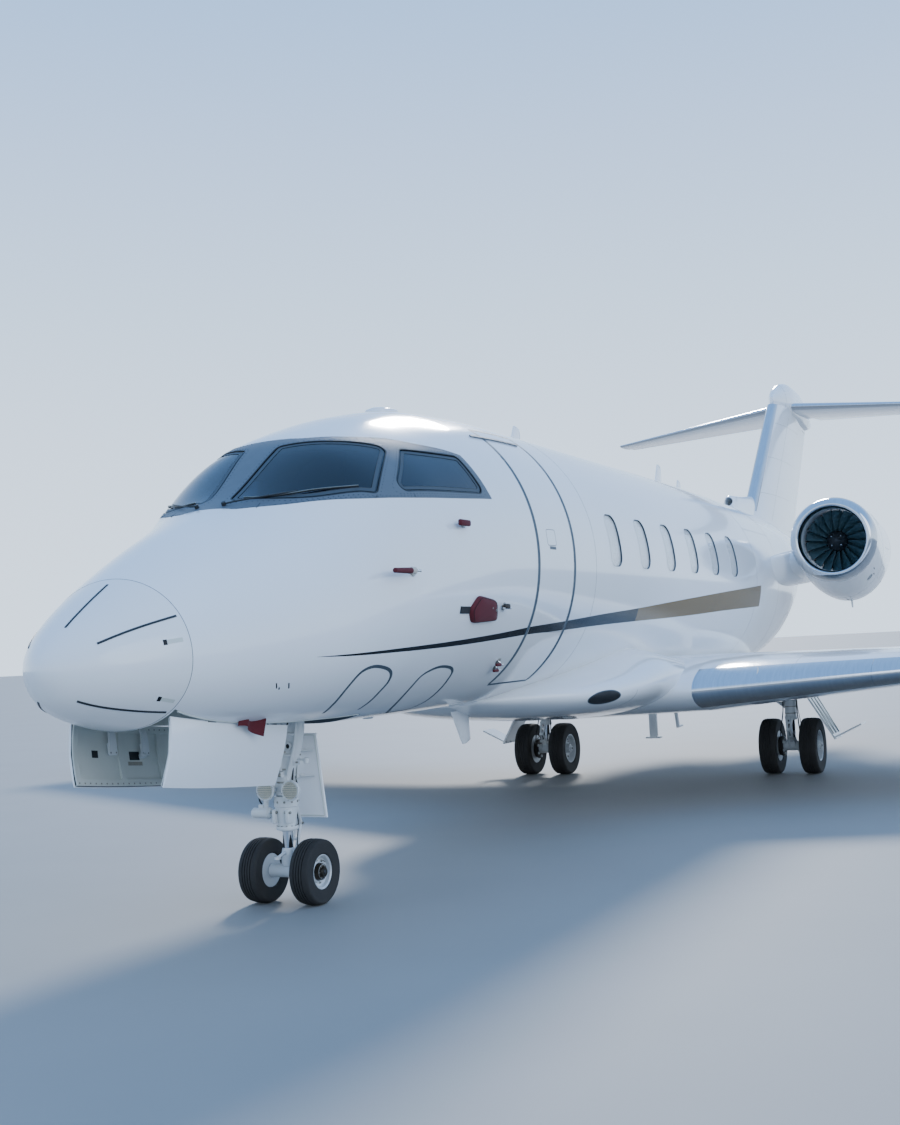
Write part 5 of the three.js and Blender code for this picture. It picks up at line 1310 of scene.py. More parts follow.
wingletShape = wingletPart()
pad = rod(row(2.60, 9.60, 1.12), row(2.60, 9.60, 1.045), 0.045, sides=28)
wingFixings = [(canoe(x, "wing"), "polyurethaneWhite") for x in wing["tracks"]] + [
    (tipShare, "polyurethaneWhite"), (pad, "gearEnamel")]
flapParts = [(part, "polyurethaneWhite") for part in (flapPart, *(canoe(x, "flap") for x in wing["tracks"]))]
lensAt = row(9.86, 11.60, 1.735)
lens = skin(np.stack([lensAt + np.array([0.02 * math.cos(a) * w, l, 0.03 * math.sin(a) * w])
                      for l, w in ((-0.06, 0.35), (-0.03, 0.8), (0.03, 1.0), (0.12, 0.8))
                      for a in circle(16)]).reshape(4, 16, 3))
for label, turn in labelledSides:
    piece(f"wingBox.{label}", copied(wingSkin, f"wingBox.{label}", turn), replaces=[f"wing_{label}"])
    piece(f"wingTrim.{label}", placed(wingTrim + wingFixings, turn))
    piece(f"wingLeadingEdge.{label}", [(turn(leading), "polishedAluminium")],
          replaces=[f"wing_leading_edge_{label}"])
    piece(f"flap.{label}", placed(flapParts, turn), replaces=[f"flap_{label}"])
    piece(f"aileron.{label}", [(turn(aileronPart), "polyurethaneWhite")], replaces=[f"aileron_{label}"])
    piece(f"winglet.{label}", [(turn(wingletShape), "polyurethaneWhite"),
                               (turn(lens), "redLens" if label == "port" else "greenLens")],
          replaces=[f"winglet_{label}"])
print("wings")

# Belly fairing round the wing joint. Columns: station, half width, top, bottom
fairing = {
    "rows": np.array([(4.95, 0.30, 1.28, 1.195), (5.25, 0.72, 1.36, 1.120), (5.70, 1.08, 1.43, 1.045),
                      (6.30, 1.27, 1.53, 0.985), (7.20, 1.36, 1.69, 0.935), (7.80, 1.38, 1.63, 0.925),
                      (8.60, 1.39, 1.52, 0.915), (10.2, 1.38, 1.49, 0.915), (11.4, 1.32, 1.48, 0.935),
                      (12.3, 1.14, 1.46, 0.990), (13.1, 0.84, 1.43, 1.090), (13.8, 0.45, 1.39, 1.215)]),
    "power": 0.9, "well": (0.62, 10.86, 0.37), "slot": (0.9, 1.6, 0.11), "lamp": (5.845, -10),
}
fairingCurves = [smoothCurve(fairing["rows"][:, 0], fairing["rows"][:, k]) for k in (1, 2, 3)]


def fairingPoint(s, degrees, off=0.0):
    width, top, bottom = (curve(s) for curve in fairingCurves)
    c, d = np.cos(np.deg2rad(degrees)), np.sin(np.deg2rad(degrees))
    p = fairing["power"]
    return row((width + off) * np.sign(c) * np.abs(c) ** p, s,
               (top + bottom) / 2 + ((top - bottom) / 2 + off) * np.sign(d) * np.abs(d) ** p)


def fairingNormal(s, degrees):
    t = fairingPoint(s + 0.01, degrees) - fairingPoint(s - 0.01, degrees)
    u = fairingPoint(s, degrees + 1) - fairingPoint(s, degrees - 1)
    out = unit(np.cross(t, u))
    middle = row(0, s, (fairingCurves[1](s) + fairingCurves[2](s)) / 2)
    return out * np.sign(((fairingPoint(s, degrees) - middle) * out).sum(-1, keepdims=True))


shell = skin(fairingPoint(steps(4.95, 13.8, 0.09)[:, None], (np.arange(120) + 0.5)[None] * 3))
stub = wingPart(wing["rows"], np.linspace(0, wing["root"] - hair, 6), share(0), share(0.99), 40)
wellX, wellS, wellR = fairing["well"]
wells = [rod(row(side * wellX, wellS, 0.7), row(side * wellX, wellS, 1.16), wellR, sides=72, edge=0.001)
         for side in (1, -1)]
slotIn, slotOut, slotHalf = fairing["slot"]
slots = [roundedBlock((x0, wellS - slotHalf, 0.7), (x1, wellS + slotHalf, 1.12), 0.01)
         for x0, x1 in ((slotIn, slotOut), (-slotOut, -slotIn))]
fairingMesh = plain(carved("fairingShell", shell, wells + slots), "polyurethaneWhite", 30)
stubMesh = plain(carved("wingStub", stub, slots), "polyurethaneWhite", 30)
piece("bellyFairing", fairingMesh, replaces=["belly_fairing"])
for label, turn in labelledSides:
    piece(f"wingStub.{label}", copied(stubMesh, f"wingStub.{label}", turn))

fairingParts = []
for s in (6.3, 8.3, 10.2, 12.3):
    a = np.linspace(-178, -2, 90)
    path = fairingPoint(s, a)
    fairingParts.append((surfaceLine(path, fairingNormal(s, a)), "greySealant"))
for a in (-50, -130, -90):
    s = np.linspace(5.6, 9.9, 60)
    fairingParts.append((surfaceLine(fairingPoint(s, a), fairingNormal(s, a)), "greySealant"))
# taxi lamps: dark oval glass set in the fairing's shoulders, each with a grey rim
lampS, lampAngle = fairing["lamp"]
t = circle(40)
for side, angle in ((1, lampAngle), (-1, 180 - lampAngle)):
    rings = [fairingPoint(lampS + 0.185 * k * np.cos(t), angle + side * 13.5 * k * np.sin(t), off)
             for k, off in ((1.0, -0.02), (1.0, 0.0015), (0.96, 0.003), (0.5, 0.004), (0.05, 0.0045))]
    fairingParts.append((skin(np.array(rings)), "panelBlack"))
    rim = lampS + 0.192 * np.cos(t), angle + side * 14.0 * np.sin(t)
    fairingParts.append((surfaceLine(fairingPoint(*rim), fairingNormal(*rim), 0.006, 0.0015, loop=True), "greySealant"))
# well rims, and the stiffeners inside each well
for side in (1, -1):
    rim = row(side * wellX + (wellR + 0.004) * np.cos(t), wellS + (wellR + 0.004) * np.sin(t), 0.93)
    fairingParts.append((pipe(np.vstack([rim, rim[:2]]), 0.008, 8, 120), "blackSealant"))
    for k in np.linspace(0, 2 * np.pi, 9)[:-1]:
        a = row(side * wellX + 0.36 * math.cos(k), wellS + 0.36 * math.sin(k), 1.14)
        b = row(side * wellX + 0.36 * math.cos(k), wellS + 0.36 * math.sin(k), 0.96)
        fairingParts.append((rod(a, b, 0.008, sides=8), "bayPrimer"))
piece("fairingTrim", fairingParts)

# Aerials, beacons, masts. Columns of a blade: station, height in the skin, chord, then the same at its tip,
# and half its thickness
blades = {"crown": ((6.56, 3.62, 0.30, 6.70, 3.875, 0.15, 0.016), (11.02, 3.56, 0.34, 11.22, 3.93, 0.15, 0.016),
                    (11.95, 3.55, 0.26, 12.06, 3.80, 0.12, 0.014)),
          "belly": (5.02, 1.155, 0.34, 5.22, 0.86, 0.17, 0.018), "crownZ": 3.6}


def bladeAerial(s0, z0, c0, s1, z1, c1, half, count=12):
    # foil rings that shrink towards a rounded tip
    t = np.linspace(0, 1, count)
    closing = np.where(t > 0.85, np.sqrt(np.maximum(1 - ((t - 0.85) / 0.15) ** 2, 0)) * 0.6 + 0.4, 1.0)
    rings = []
    for k in range(count):
        chord = (c0 + (c1 - c0) * t[k]) * closing[k]
        c = np.linspace(0, 1, 14) ** 1.6
        wide = half * 1.9 * closing[k] * np.sqrt(np.maximum(c * (1 - c), 0)) * (1.2 - 0.4 * c) + 0.0006
        s = s0 + (s1 - s0) * t[k] + c * chord
        z = np.full(14, z0 + (z1 - z0) * t[k])
        rings.append(np.vstack([row(wide, s, z), row(-wide[::-1], s[::-1], z)]))
    return skin(np.array(rings))


aerialParts = [(bladeAerial(*b), "polyurethaneWhite") for b in (*blades["crown"], blades["belly"])]
for s0, _, c0, *_ in blades["crown"]:
    t = circle(40)
    x, s = 0.045 * np.cos(t), s0 + c0 / 2 + (c0 / 2 + 0.04) * np.sin(t)
    aerialParts.append((line(ontoHull(x, s, blades["crownZ"]), 0.004, lift=0.003, loop=True), "greySealant"))
    inner = [ontoHull(0.045 * k * np.cos(t), s0 + c0 / 2 + (c0 / 2 + 0.04) * k * np.sin(t), blades["crownZ"], off)
             for k, off in ((1, -0.003), (1, 0.002), (0.8, 0.003), (0.03, 0.003))]
    aerialParts.append((skin(np.array(inner)), "polyurethaneWhite"))
aerialParts.append((casting([
    (3.60, 0.13, 0.17), (3.655, 0.13, 0.165), (3.670, 0.125, 0.155), (3.682, 0.10, 0.125), (3.690, 0.06, 0.07),
    (3.694, 0.005, 0.005)], s=4.05, power=1.0, sides=48), "polyurethaneWhite"))
aerialParts.append((casting([(z, 0.032 * k, 0.032 * k) for z, k in (
    (3.66, 1), (3.675, 1), (3.695, 0.85), (3.708, 0.5), (3.712, 0.03))], s=8.05, power=1.0, sides=48), "redLens"))
t = circle(48)
drain = [joined(roundedBlock((-0.045, 10.42, 0.49), (0.045, 10.50, 0.96), 0.012),
                roundedBlock((-0.09, 10.40, 0.475), (0.09, 10.52, 0.495), 0.006)),
         skin(np.array([row(0.02 * np.cos(t), s + 0.05 + 0.05 * np.sin(t), z) for s, z in (
             (11.26, 0.98), (11.29, 0.88), (11.33, 0.75), (11.40, 0.53))])),
         pipe(row([0, 0, 0], [11.44, 11.53, 11.62], [0.545, 0.545, 0.545]), 0.015, 10, 12)]
aerialParts += [(part, "polyurethaneWhite") for part in drain]
aerialParts.append((rod(row(0, 3.60, 1.25), row(0, 3.60, 1.195), 0.045, sides=28), "gearEnamel"))
piece("aerials", aerialParts)
print("belly and aerials")


# Fin: upright aerofoil whose nose and tail lines are straight; the rudder has a slim gap round it
fin = {"nose": (15.92, 1.0272, 3.86), "hinge": (18.02, 0.8424, 3.27), "tail": (18.75, 0.78, 3.30), "ratio": 0.105,
       "low": 3.20, "high": 5.62, "rudder": (3.43, 5.395), "edge": 0.055}


def finLine(name, z):
    start, slope, base = fin[name]
    return start + (z - base) * slope


def finPart(z0, z1, begin, end, rings=14, count=30, slim=0.0):
    made = []
    for z in np.linspace(z0, z1, rings):
        nose, chord = finLine("nose", z), finLine("tail", z) - finLine("nose", z)
        ring = foil(nose, chord, 0, fin["ratio"], begin(z, chord, nose), end(z, chord, nose), count, slim, 0.0)
        made.append(row(ring[:, 1], ring[:, 0], z))
    return skin(np.array(made))


def onFin(z, c, side=1):
    nose, chord = finLine("nose", z), finLine("tail", z) - finLine("nose", z)
    return row(side * chord * fin["ratio"] * halfThickness(c), nose + chord * c, z)


finHinge = lambda extra: lambda z, chord, nose: (finLine("hinge", z) - nose + extra) / chord
finBox = finPart(fin["low"], fin["high"], share(fin["edge"]), finHinge(0.0))
finEdge = finPart(3.62, fin["high"], share(0), share(fin["edge"] + 0.0005), 14, 16)
finRoot = finPart(fin["low"], 3.62, share(0), share(fin["edge"] + 0.0005), 6, 16)
below = finPart(fin["low"], fin["rudder"][0] - 0.006, finHinge(-0.001), share(1), 4)
above = finPart(fin["rudder"][1] + 0.006, 5.50, finHinge(-0.001), share(1), 4)
rudder = finPart(*fin["rudder"], finHinge(0.0006), share(1), 14, 20, wing["gap"])
t = circle(48)
scoopTable = np.array([(14.60, 0.070, 3.42, 3.765), (14.64, 0.088, 3.42, 3.79), (14.87, 0.096, 3.42, 3.80),
                       (15.3, 0.105, 3.40, 3.82), (15.8, 0.090, 3.40, 3.86), (16.3, 0.06, 3.40, 3.90)])
scoopBody = skin(np.array([row(w * np.cos(t), s, (top + bottom) / 2 + (top - bottom) / 2 * np.sign(np.sin(t))
                               * np.abs(np.sin(t)) ** 0.8) for s, w, bottom, top in scoopTable]))
scoopMesh = plain(carved("dorsalScoop", scoopBody, [rod(row(0, 14.5, 3.695), row(0, 15.1, 3.695), 0.066, 0.05)]),
                  "polyurethaneWhite", 30)
piece("dorsalScoop", scoopMesh)
finTrim = []
for z in (3.95, 4.60, 5.25):
    for side in (1, -1):
        path = onFin(z, np.linspace(fin["edge"] + 0.004, 0.66, 26), side)
        finTrim.append((surfaceLine(path, (side, 0, 0)), "greySealant"))
for side in (1, -1):
    finTrim.append((surfaceLine(onFin(np.linspace(3.5, 5.45, 30), 0.30, side), (side, 0, 0)), "greySealant"))
finParts = [(part, "polyurethaneWhite") for part in (finBox, finRoot, below, above)]
piece("finSkin", finParts + [(finEdge, "polishedAluminium")] + finTrim, replaces=["fin"], sharp=30)
piece("rudderSkin", [(rudder, "polyurethaneWhite")], replaces=["rudder"], sharp=30)

# Bullet between fin and tailplane: superellipse rings. Columns: station, half width, top, bottom
bullet = np.array([(17.86, 0.030, 5.76, 5.66), (18.10, 0.110, 5.93, 5.56), (18.45, 0.165, 6.07, 5.47),
                   (18.90, 0.185, 6.133, 5.42), (19.50, 0.180, 6.10, 5.41), (20.10, 0.135, 5.95, 5.44),
                   (20.60, 0.075, 5.80, 5.50), (20.98, 0.015, 5.68, 5.60)])
curves = [smoothCurve(bullet[:, 0], bullet[:, k]) for k in (1, 2, 3)]
tip, end = bullet[0, 0], bullet[-1, 0]
at = np.concatenate([[tip], tip + (end - tip) * np.linspace(0.004, 1, 60)])[:, None]
w, top, bottom = (curve(at) for curve in curves)
top = np.minimum(top, 6.131)  # the height of the solid
bulletPart = skin(row(w * np.cos(t), at, (top + bottom) / 2 + (top - bottom) / 2 * np.sin(t)))
lamp = [(rod(row(0, 20.95, 5.64), row(0, 20.979, 5.64), 0.016, 0.010, 16), "ribbedLampGlass")]
seams = [(surfaceLine(row(curves[0](s) * np.cos(t), s, (curves[1](s) + curves[2](s)) / 2
                          + (curves[1](s) - curves[2](s)) / 2 * np.sin(t)),
                      np.stack([np.cos(t), 0 * t, np.sin(t)], -1), loop=True), "greySealant") for s in (18.32, 20.2)]
piece("tailBullet", [(bulletPart, "polyurethaneWhite")] + lamp + seams, replaces=["tail_bullet"],
      sharp=40)


def tailPart(x0, x1, begin, end, slim=0.0):
    return wingPart(tail["rows"], np.linspace(x0, x1, 12), share(begin), share(end), 26, slim)


rootX, tipX = tail["rows"][:, 0]
stabiliser = tailPart(rootX, tipX, 0.06, tail["hinge"])
stabiliserEdge = tailPart(rootX, tipX, 0.0, 0.0605)
elevator = tailPart(*tail["elevator"], tail["hinge"] + 0.0008, 1.0, wing["gap"])
elevatorParts = [(elevator, "polyurethaneWhite")]
for x in tail["wicks"]:
    nose, chord, height, _ = spanRow(tail["rows"], x)
    foot = nose + chord - 0.04
    wick = rod(row(x, foot, height), row(x, foot + 0.068, height), 0.003, 0.0012, 6)
    elevatorParts.append((wick, "blackSealant"))
for label, turn in labelledSides:
    piece(f"tailplane.{label}", [(turn(stabiliser), "polyurethaneWhite"), (turn(stabiliserEdge), "polishedAluminium")],
          replaces=[f"tailplane_{label}"])
    piece(f"elevator.{label}", placed(elevatorParts, turn), replaces=[f"elevator_{label}"])
print("tail")

# Nacelle, straight first and then toed in. Columns: station, centre x, half width, belt, rise, drop
nacelle = {
    "rows": np.array([(13.1754, 1.795, 0.572, 0, 0.572, 0.575), (13.45, 1.787, 0.582, -0.02, 0.588, 0.665),
                      (13.90, 1.783, 0.575, -0.07, 0.598, 0.775), (14.50, 1.780, 0.556, -0.10, 0.592, 0.820),
                      (15.10, 1.780, 0.532, -0.09, 0.565, 0.770), (15.70, 1.785, 0.492, -0.05, 0.515, 0.620),
                      (16.30, 1.795, 0.420, 0, 0.420, 0.440)]),
    "inside": [(13.1754, 0.425), (13.3, 0.425), (13.5, 0.44), (13.9, 0.45), (15.3, 0.45), (16.30, 0.381)],
    "lip": [(13.175, 0.572), (13.14, 0.566), (13.10, 0.557), (13.065, 0.543), (13.035, 0.525), (13.015, 0.505),
            (13.004, 0.485), (13.0, 0.466), (13.006, 0.453), (13.025, 0.443), (13.05, 0.436), (13.09, 0.429),
            (13.13, 0.426), (13.175, 0.425)],
    "axis": (1.795, 2.905), "front": 13.0, "toe": 3.0, "blades": 18, "fan": 13.60, "bladeRadii": (0.142, 0.4265),
    "vanes": 28, "lobes": 14,
    # columns: station and half width of the joints round the cowl
    "joints": ((13.181, 0.002), (13.93, 0.0016), (15.55, 0.0016), (16.22, 0.0016)),
    # columns: stations, then angles
    "hatches": ((14.05, 14.40, -38, -22), (14.7, 15.1, -60, -42), (14.1, 14.5, 30, 48)),
}
axisX, axisZ = nacelle["axis"]
axisLine = row(axisX, 0, axisZ), row(axisX, 1, axisZ)
cowlFront, cowlRear = nacelle["rows"][0, 0], nacelle["rows"][-1, 0]
cowlCurves = [smoothCurve(nacelle["rows"][:, 0], nacelle["rows"][:, k]) for k in (1, 2, 3, 4, 5)]


def toed(part):
    return moved(part, turned("Z", nacelle["toe"]), about=(axisX, nacelle["front"] - midStation, 0))


def cowlPoint(s, degrees, off=0.0):
    x, width, belt, up, down = (curve(s) for curve in cowlCurves)
    c, d = np.cos(np.deg2rad(degrees)), np.sin(np.deg2rad(degrees))
    return row(x + (width + off) * c, s, axisZ + belt + (np.where(d > 0, up - belt, down + belt) + off) * d)


def cowlNormal(s, degrees):
    t = cowlPoint(s + 0.01, degrees) - cowlPoint(s - 0.01, degrees)
    u = cowlPoint(s, degrees + 1) - cowlPoint(s, degrees - 1)
    out = unit(np.cross(t, u))
    middle = row(axisX, s, axisZ)
    return out * np.sign(((cowlPoint(s, degrees) - middle) * out).sum(-1, keepdims=True))


turnSteps = np.linspace(0, 360, 96, endpoint=False)
outer = cowlPoint(steps(cowlFront, cowlRear, 0.08)[:, None], turnSteps[None])
inner = np.array([row(axisX + r * np.cos(np.deg2rad(turnSteps)), s, axisZ + r * np.sin(np.deg2rad(turnSteps)))
                  for s, r in nacelle["inside"]])
cowlShell = skin(np.concatenate([outer, inner[::-1]]), ring=True)
lipPart = lathe(nacelle["lip"], *axisLine, 128, ring=True)


def fanBlade(count=12):
    # camber arc across the chord; stagger grows from the root to the tip
    rows = []
    root, tip = nacelle["bladeRadii"]
    for t in np.linspace(0, 1, count):
        r = root + (tip - root) * t
        chord = 0.105 + 0.055 * math.sin(math.pi * min(t * 0.85, 1))
        stagger = math.radians(28 + 36 * t)
        c = np.linspace(-0.5, 0.5, 9)
        bend = 0.07 * chord * (1 - (2 * c) ** 2)
        thick = 0.007 * (1.25 - t * 0.75) * np.sqrt(np.maximum(1 - (2 * c) ** 2, 0)) + 0.0006
        ring = []
        for off, order in ((1, slice(None)), (-1, slice(None, None, -1))):
            along, across = (c * chord)[order], (bend + off * thick / 2)[order]
            sweep = 0.03 * math.sin(math.pi * t) + 0.012 * t
            ring.append(np.stack([along * math.sin(stagger) + across * math.cos(stagger) + 0.028 * math.sin(2.2 * t),
                                  along * math.cos(stagger) + across * math.sin(stagger) - sweep,
                                  np.full(9, r)], -1))
        rows.append(np.vstack(ring))
    return skin(np.array(rows))


blade = moved(fanBlade(), shift=row(0, nacelle["fan"], 0))
fanParts = []
for k in range(nacelle["blades"]):
    fanParts.append((moved(blade, turned("Y", 360 / nacelle["blades"] * k), (axisX, 0, axisZ)), "fanTitanium"))
spinner = lathe([(13.385, 0.0), (13.39, 0.018), (13.41, 0.043), (13.45, 0.080), (13.50, 0.114), (13.55, 0.137),
                 (13.60, 0.147), (13.66, 0.150), (13.68, 0.150), (13.685, 0.08), (13.9596, 0.06), (13.9596, 0.0)],
                *axisLine, 64)
fanParts.append((spinner, "panelBlack"))
for k in range(4):
    a = math.pi / 4 + k * math.pi / 2
    spot = row(axisX + 0.088 * math.cos(a), 13.458, axisZ + 0.088 * math.sin(a))
    way = unit(np.array([math.cos(a) * 0.72, -0.7, math.sin(a) * 0.72]))
    fanParts.append((rod(spot - way * 0.004, spot + way * 0.006, 0.009, 0.006, 14), "hardChrome"))

corePart = lathe([(13.9605, 0.0), (13.9605, 0.38), (15.60, 0.38), (16.10, 0.366), (16.50, 0.352), (16.74, 0.345),
                  (16.742, 0.335), (16.74, 0.325), (16.50, 0.318), (16.30, 0.31), (16.30, 0.16), (16.5, 0.135),
                  (16.75, 0.085), (16.93, 0.035), (16.98, 0.0)], *axisLine, 96)
coreParts = [(corePart, "burntAlloy")]
for k in range(nacelle["vanes"]):
    a = 2 * math.pi * k / nacelle["vanes"]
    vane = softBox((0.15, 13.90 - midStation, -0.004), (0.449, 13.99 - midStation, 0.004), 0.002)
    coreParts.append((moved(vane, turned("Y", math.degrees(a)), (axisX, 0, axisZ)), "ductGrey"))
for k in range(nacelle["lobes"]):
    a = 2 * math.pi * k / nacelle["lobes"]
    d = np.array([math.cos(a), 0, math.sin(a)])
    lobe = rod(row(axisX, 16.32, axisZ) + d * 0.20, row(axisX, 16.70, axisZ) + d * 0.315, 0.010, 0.004, 8)
    coreParts.append((lobe, "burntAlloy"))
pylonTable = np.array([(0.50, 12.05, 4.60, 2.50, 0.096), (1.03, 12.28, 4.30, 2.55, 0.096),
                       (1.17, 13.20, 2.95, 2.65, 0.145), (1.60, 13.40, 2.65, 2.69, 0.150)])
pylonShape = wingPart(pylonTable, (0.50, 0.70, 0.90, 1.03, 1.10, 1.17, 1.35, 1.60), share(0), share(1), 34, camber=0.0)
pylonMesh = carved("pylon", pylonShape, [hullSkin(steps(11.6, 17.6, 0.15), hair, 120), toed(skin(outer))])
plain(pylonMesh, "polyurethaneWhite", 30)


def cowlStrip(s, degrees, half=0.0016, lift=0.0006, loop=False):
    # a strip on the cowl; either the station or the angle may be a single number
    s, degrees = s + 0 * degrees, degrees + 0 * s
    return surfaceLine(cowlPoint(s, degrees), cowlNormal(s, degrees), half, lift, loop)


nacelleTrim = [(cowlStrip(s, turnSteps, half, loop=True), "greySealant") for s, half in nacelle["joints"]]
for angle in (118, 75, -88, 150, 0):
    s = np.linspace(13.94, 15.54, 60) if angle != 0 else np.linspace(14.3, 15.2, 40)
    nacelleTrim.append((cowlStrip(s, angle), "greySealant"))
t = np.linspace(0, 1, 12)
for s0, s1, a0, a1 in nacelle["hatches"]:
    loopS = np.concatenate([s0 + (s1 - s0) * t, 0 * t + s1, s1 - (s1 - s0) * t, 0 * t + s0])
    loopA = np.concatenate([0 * t + a0, a0 + (a1 - a0) * t, 0 * t + a1, a1 - (a1 - a0) * t])
    nacelleTrim.append((cowlStrip(loopS, loopA, loop=True), "greySealant"))
# round cooling vent, louvred slots drawn as black strips of painted shade, and latches along the lower split
t = circle(32)
ventRings = [cowlPoint(13.62 + 0.040 * k * np.cos(t), -46 + 3.9 * k * np.sin(t), off)
             for k, off in ((1.25, -0.003), (1.25, 0.004), (1.0, 0.005), (0.95, 0.0008), (0.03, 0.0008))]
nacelleTrim.append((skin(np.array(ventRings)), "ductGrey"))
for s, a in ((13.50, -35.5), (13.66, -39.0), (14.62, 62), (14.74, 62), (14.86, 62)):
    nacelleTrim.append((cowlStrip(np.linspace(s, s + 0.075, 8), a, 0.007, 0.001), "panelBlack"))
for s in (14.15, 14.6, 15.05, 15.4):
    nacelleTrim.append((cowlStrip(np.linspace(s, s + 0.07, 6), -88, 0.012, 0.0018), "satinSheetAluminium"))
drainFoot = cowlPoint(14.30, -84)
nacelleTrim.append((skin(np.array([drainFoot + np.array([0.012 * w * math.cos(a), l + 0.035 * w * math.sin(a), -d])
                                   for d, l, w in ((-0.02, 0, 1.5), (0.02, 0.01, 1.1), (0.09, 0.035, 0.9),
                                                   (0.11, 0.045, 0.75))
                                   for a in circle(16)]).reshape(4, 16, 3)),
                    "gearEnamel"))
lipParts = [(lipPart, "polishedAluminium")]
reach, at = np.array([0.5722, 0.5585]), [13.172, 13.102]  # short joints across the lip, from the cowl forward
for angle in np.linspace(0, 360, 12, endpoint=False):
    a = math.radians(angle + 15)
    across = row(axisX + reach * math.cos(a), at, axisZ + reach * math.sin(a))
    lipParts.append((pipe(across, 0.0012, 6, 6), "greySealant"))
throat = lathe([(13.1754, 0.4248), (13.45, 0.4345), (13.451, 0.4325), (13.1764, 0.4228)], *axisLine, 96, ring=True)
cowlParts = [(cowlShell, "polyurethaneWhite"), *nacelleTrim, (throat, "ductGrey")]
for label, turn in labelledSides:
    piece(f"nacelleCowl.{label}", placed(cowlParts, toed, turn), replaces=[f"nacelle_cowl_{label}"],
          sharp=40)
    piece(f"intakeLip.{label}", placed(lipParts, toed, turn), replaces=[f"intake_lip_{label}"],
          sharp=60)
    piece(f"fanRotor.{label}", placed(fanParts, toed, turn), f"engine_fan_{label}", replaces=[f"fan_{label}"])
    piece(f"engineCore.{label}", placed(coreParts, toed, turn), replaces=[f"engine_{label}"])
    piece(f"enginePylon.{label}", copied(pylonMesh, f"enginePylon.{label}", turn),
          replaces=[f"engine_pylon_{label}"])
print("engines")

# exhaust of the auxiliary power unit at the very end: a stub of burnt pipe, closed a little inside its mouth by a black
# disc of painted shade
tailPipe = row(0, 18.885, 3.01)
wall = [(0.0, 0.080), (0.0, 0.091), (0.075, 0.090), (0.095, 0.087), (0.098, 0.084), (0.095, 0.081), (0.03, 0.079)]
piece("tailExhaust", [(lathe(wall, tailPipe, tailPipe + [0, 1, 0], 56, ring=True), "burntAlloy"),
                      (rod(tailPipe + [0, 0.004, 0], tailPipe + [0, 0.030, 0], 0.0805, sides=56), "panelBlack"),
                      (rod(tailPipe + [0, 0.030, 0], tailPipe + [0, 0.060, 0], 0.030, 0.012, 32), "burntAlloy")])


# Nose gear bay: a riveted tray of formed sheet, with frames, stringers and hoses inside
def bellyLevel(x, s):
    # height of the belly skin at a place
    return throughHull(row(x, s, noseBay["inside"]), (0, 0, -1))[..., 2]


bayFront, bayRear, bayHalf, bayRoof, bayWall = (noseBay[k] for k in ("front", "rear", "half", "roof", "wall"))
outerHalf, innerHalf, innerRoof = bayHalf - hair, bayHalf - bayWall - hair, bayRoof - bayWall
trayRings = []
for s in steps(bayFront + hair, bayRear - hair, 0.15):
    low = bellyLevel(outerHalf, s) + 0.004
    ring = np.array([(outerHalf, low), (outerHalf, bayRoof - hair), (-outerHalf, bayRoof - hair), (-outerHalf, low),
                     (-innerHalf, low), (-innerHalf, innerRoof), (innerHalf, innerRoof), (innerHalf, low)])
    trayRings.append(row(ring[:, 0], s, ring[:, 1]))
bayBlocks = []  # columns: low corner, high corner, edge
for s in (bayFront + 0.007, bayRear - 0.007):
    low = bellyLevel(bayHalf, s) + 0.045
    bayBlocks.append(((-innerHalf, s - 0.006, low), (innerHalf, s + 0.006, innerRoof), 0.002))
for s in noseBay["frames"]:
    for x0, x1 in ((innerHalf - 0.025, innerHalf), (-innerHalf, -(innerHalf - 0.025))):
        bayBlocks.append(((x0, s - 0.012, bellyLevel(0.40, s) + 0.075), (x1, s + 0.012, innerRoof), 0.003))
    bayBlocks.append(((-innerHalf, s - 0.012, bayRoof - 0.045), (innerHalf, s + 0.012, innerRoof), 0.003))
for x in noseBay["stringers"]:
    bayBlocks.append(((x - 0.008, bayFront + 0.015, bayRoof - 0.032), (x + 0.008, bayRear - 0.015, innerRoof), 0.002))
bayParts = [(skin(np.array(trayRings)), "bayPrimer")] + [(roundedBlock(*b), "bayPrimer") for b in bayBlocks]
for x, z, look in ((0.36, 1.50, "hoseRubber"), (0.33, 1.53, "zincSteel"), (-0.36, 1.47, "hoseRubber"),
                   (-0.33, 1.52, "zincSteel"), (0.20, 1.60, "hoseRubber")):
    s = np.linspace(bayFront + 0.03, bayRear - 0.05, 9)
    wave = 0.012 * np.sin(s * 9)
    bayParts.append((pipe(row(x + wave, s, z + wave / 2), 0.008 if look == "zincSteel" else 0.012, 8, 60), look))
for side in (1, -1):
    rim = row(side * (bayHalf - 0.003), steps(0.74, 2.75, 0.08), 0)
    rim[:, 2] = bellyLevel(0.41, rim[:, 1] + midStation) + 0.006
    bayParts.append((pipe(rim, 0.005, 8, 60), "bayPrimer"))
piece("noseGearBay", bayParts, replaces=["nose_gear_bay"])

# Nose gear doors: skins that follow the belly, hung open on two goose-neck arms
noseDoor = {"front": 0.735, "rear": 1.93, "half": 0.40, "open": 70,
            "middle": np.array([0.400, -9.2075, 1.3246647]), "axis": np.array([0, 0.9931829, -0.1165661]),
            "arms": (1.08, 1.38),
            # raised frame along the edges and two stiffeners. Columns: x from and to, station from and to
            "frame": ((0.008, 0.05, 0.74, 1.925), (0.35, 0.396, 0.74, 1.925), (0.05, 0.35, 0.74, 0.785),
                      (0.05, 0.35, 1.88, 1.925), (0.05, 0.35, 1.16, 1.20), (0.05, 0.35, 1.52, 1.56)),
            # blank plates on the pan: the same columns and the finish
            "plates": ((0.19, 0.235, 0.93, 0.985, "panelBlack"), (0.18, 0.235, 1.27, 1.36, "blackSealant"),
                       (0.145, 0.170, 1.25, 1.38, "zincSteel"))}


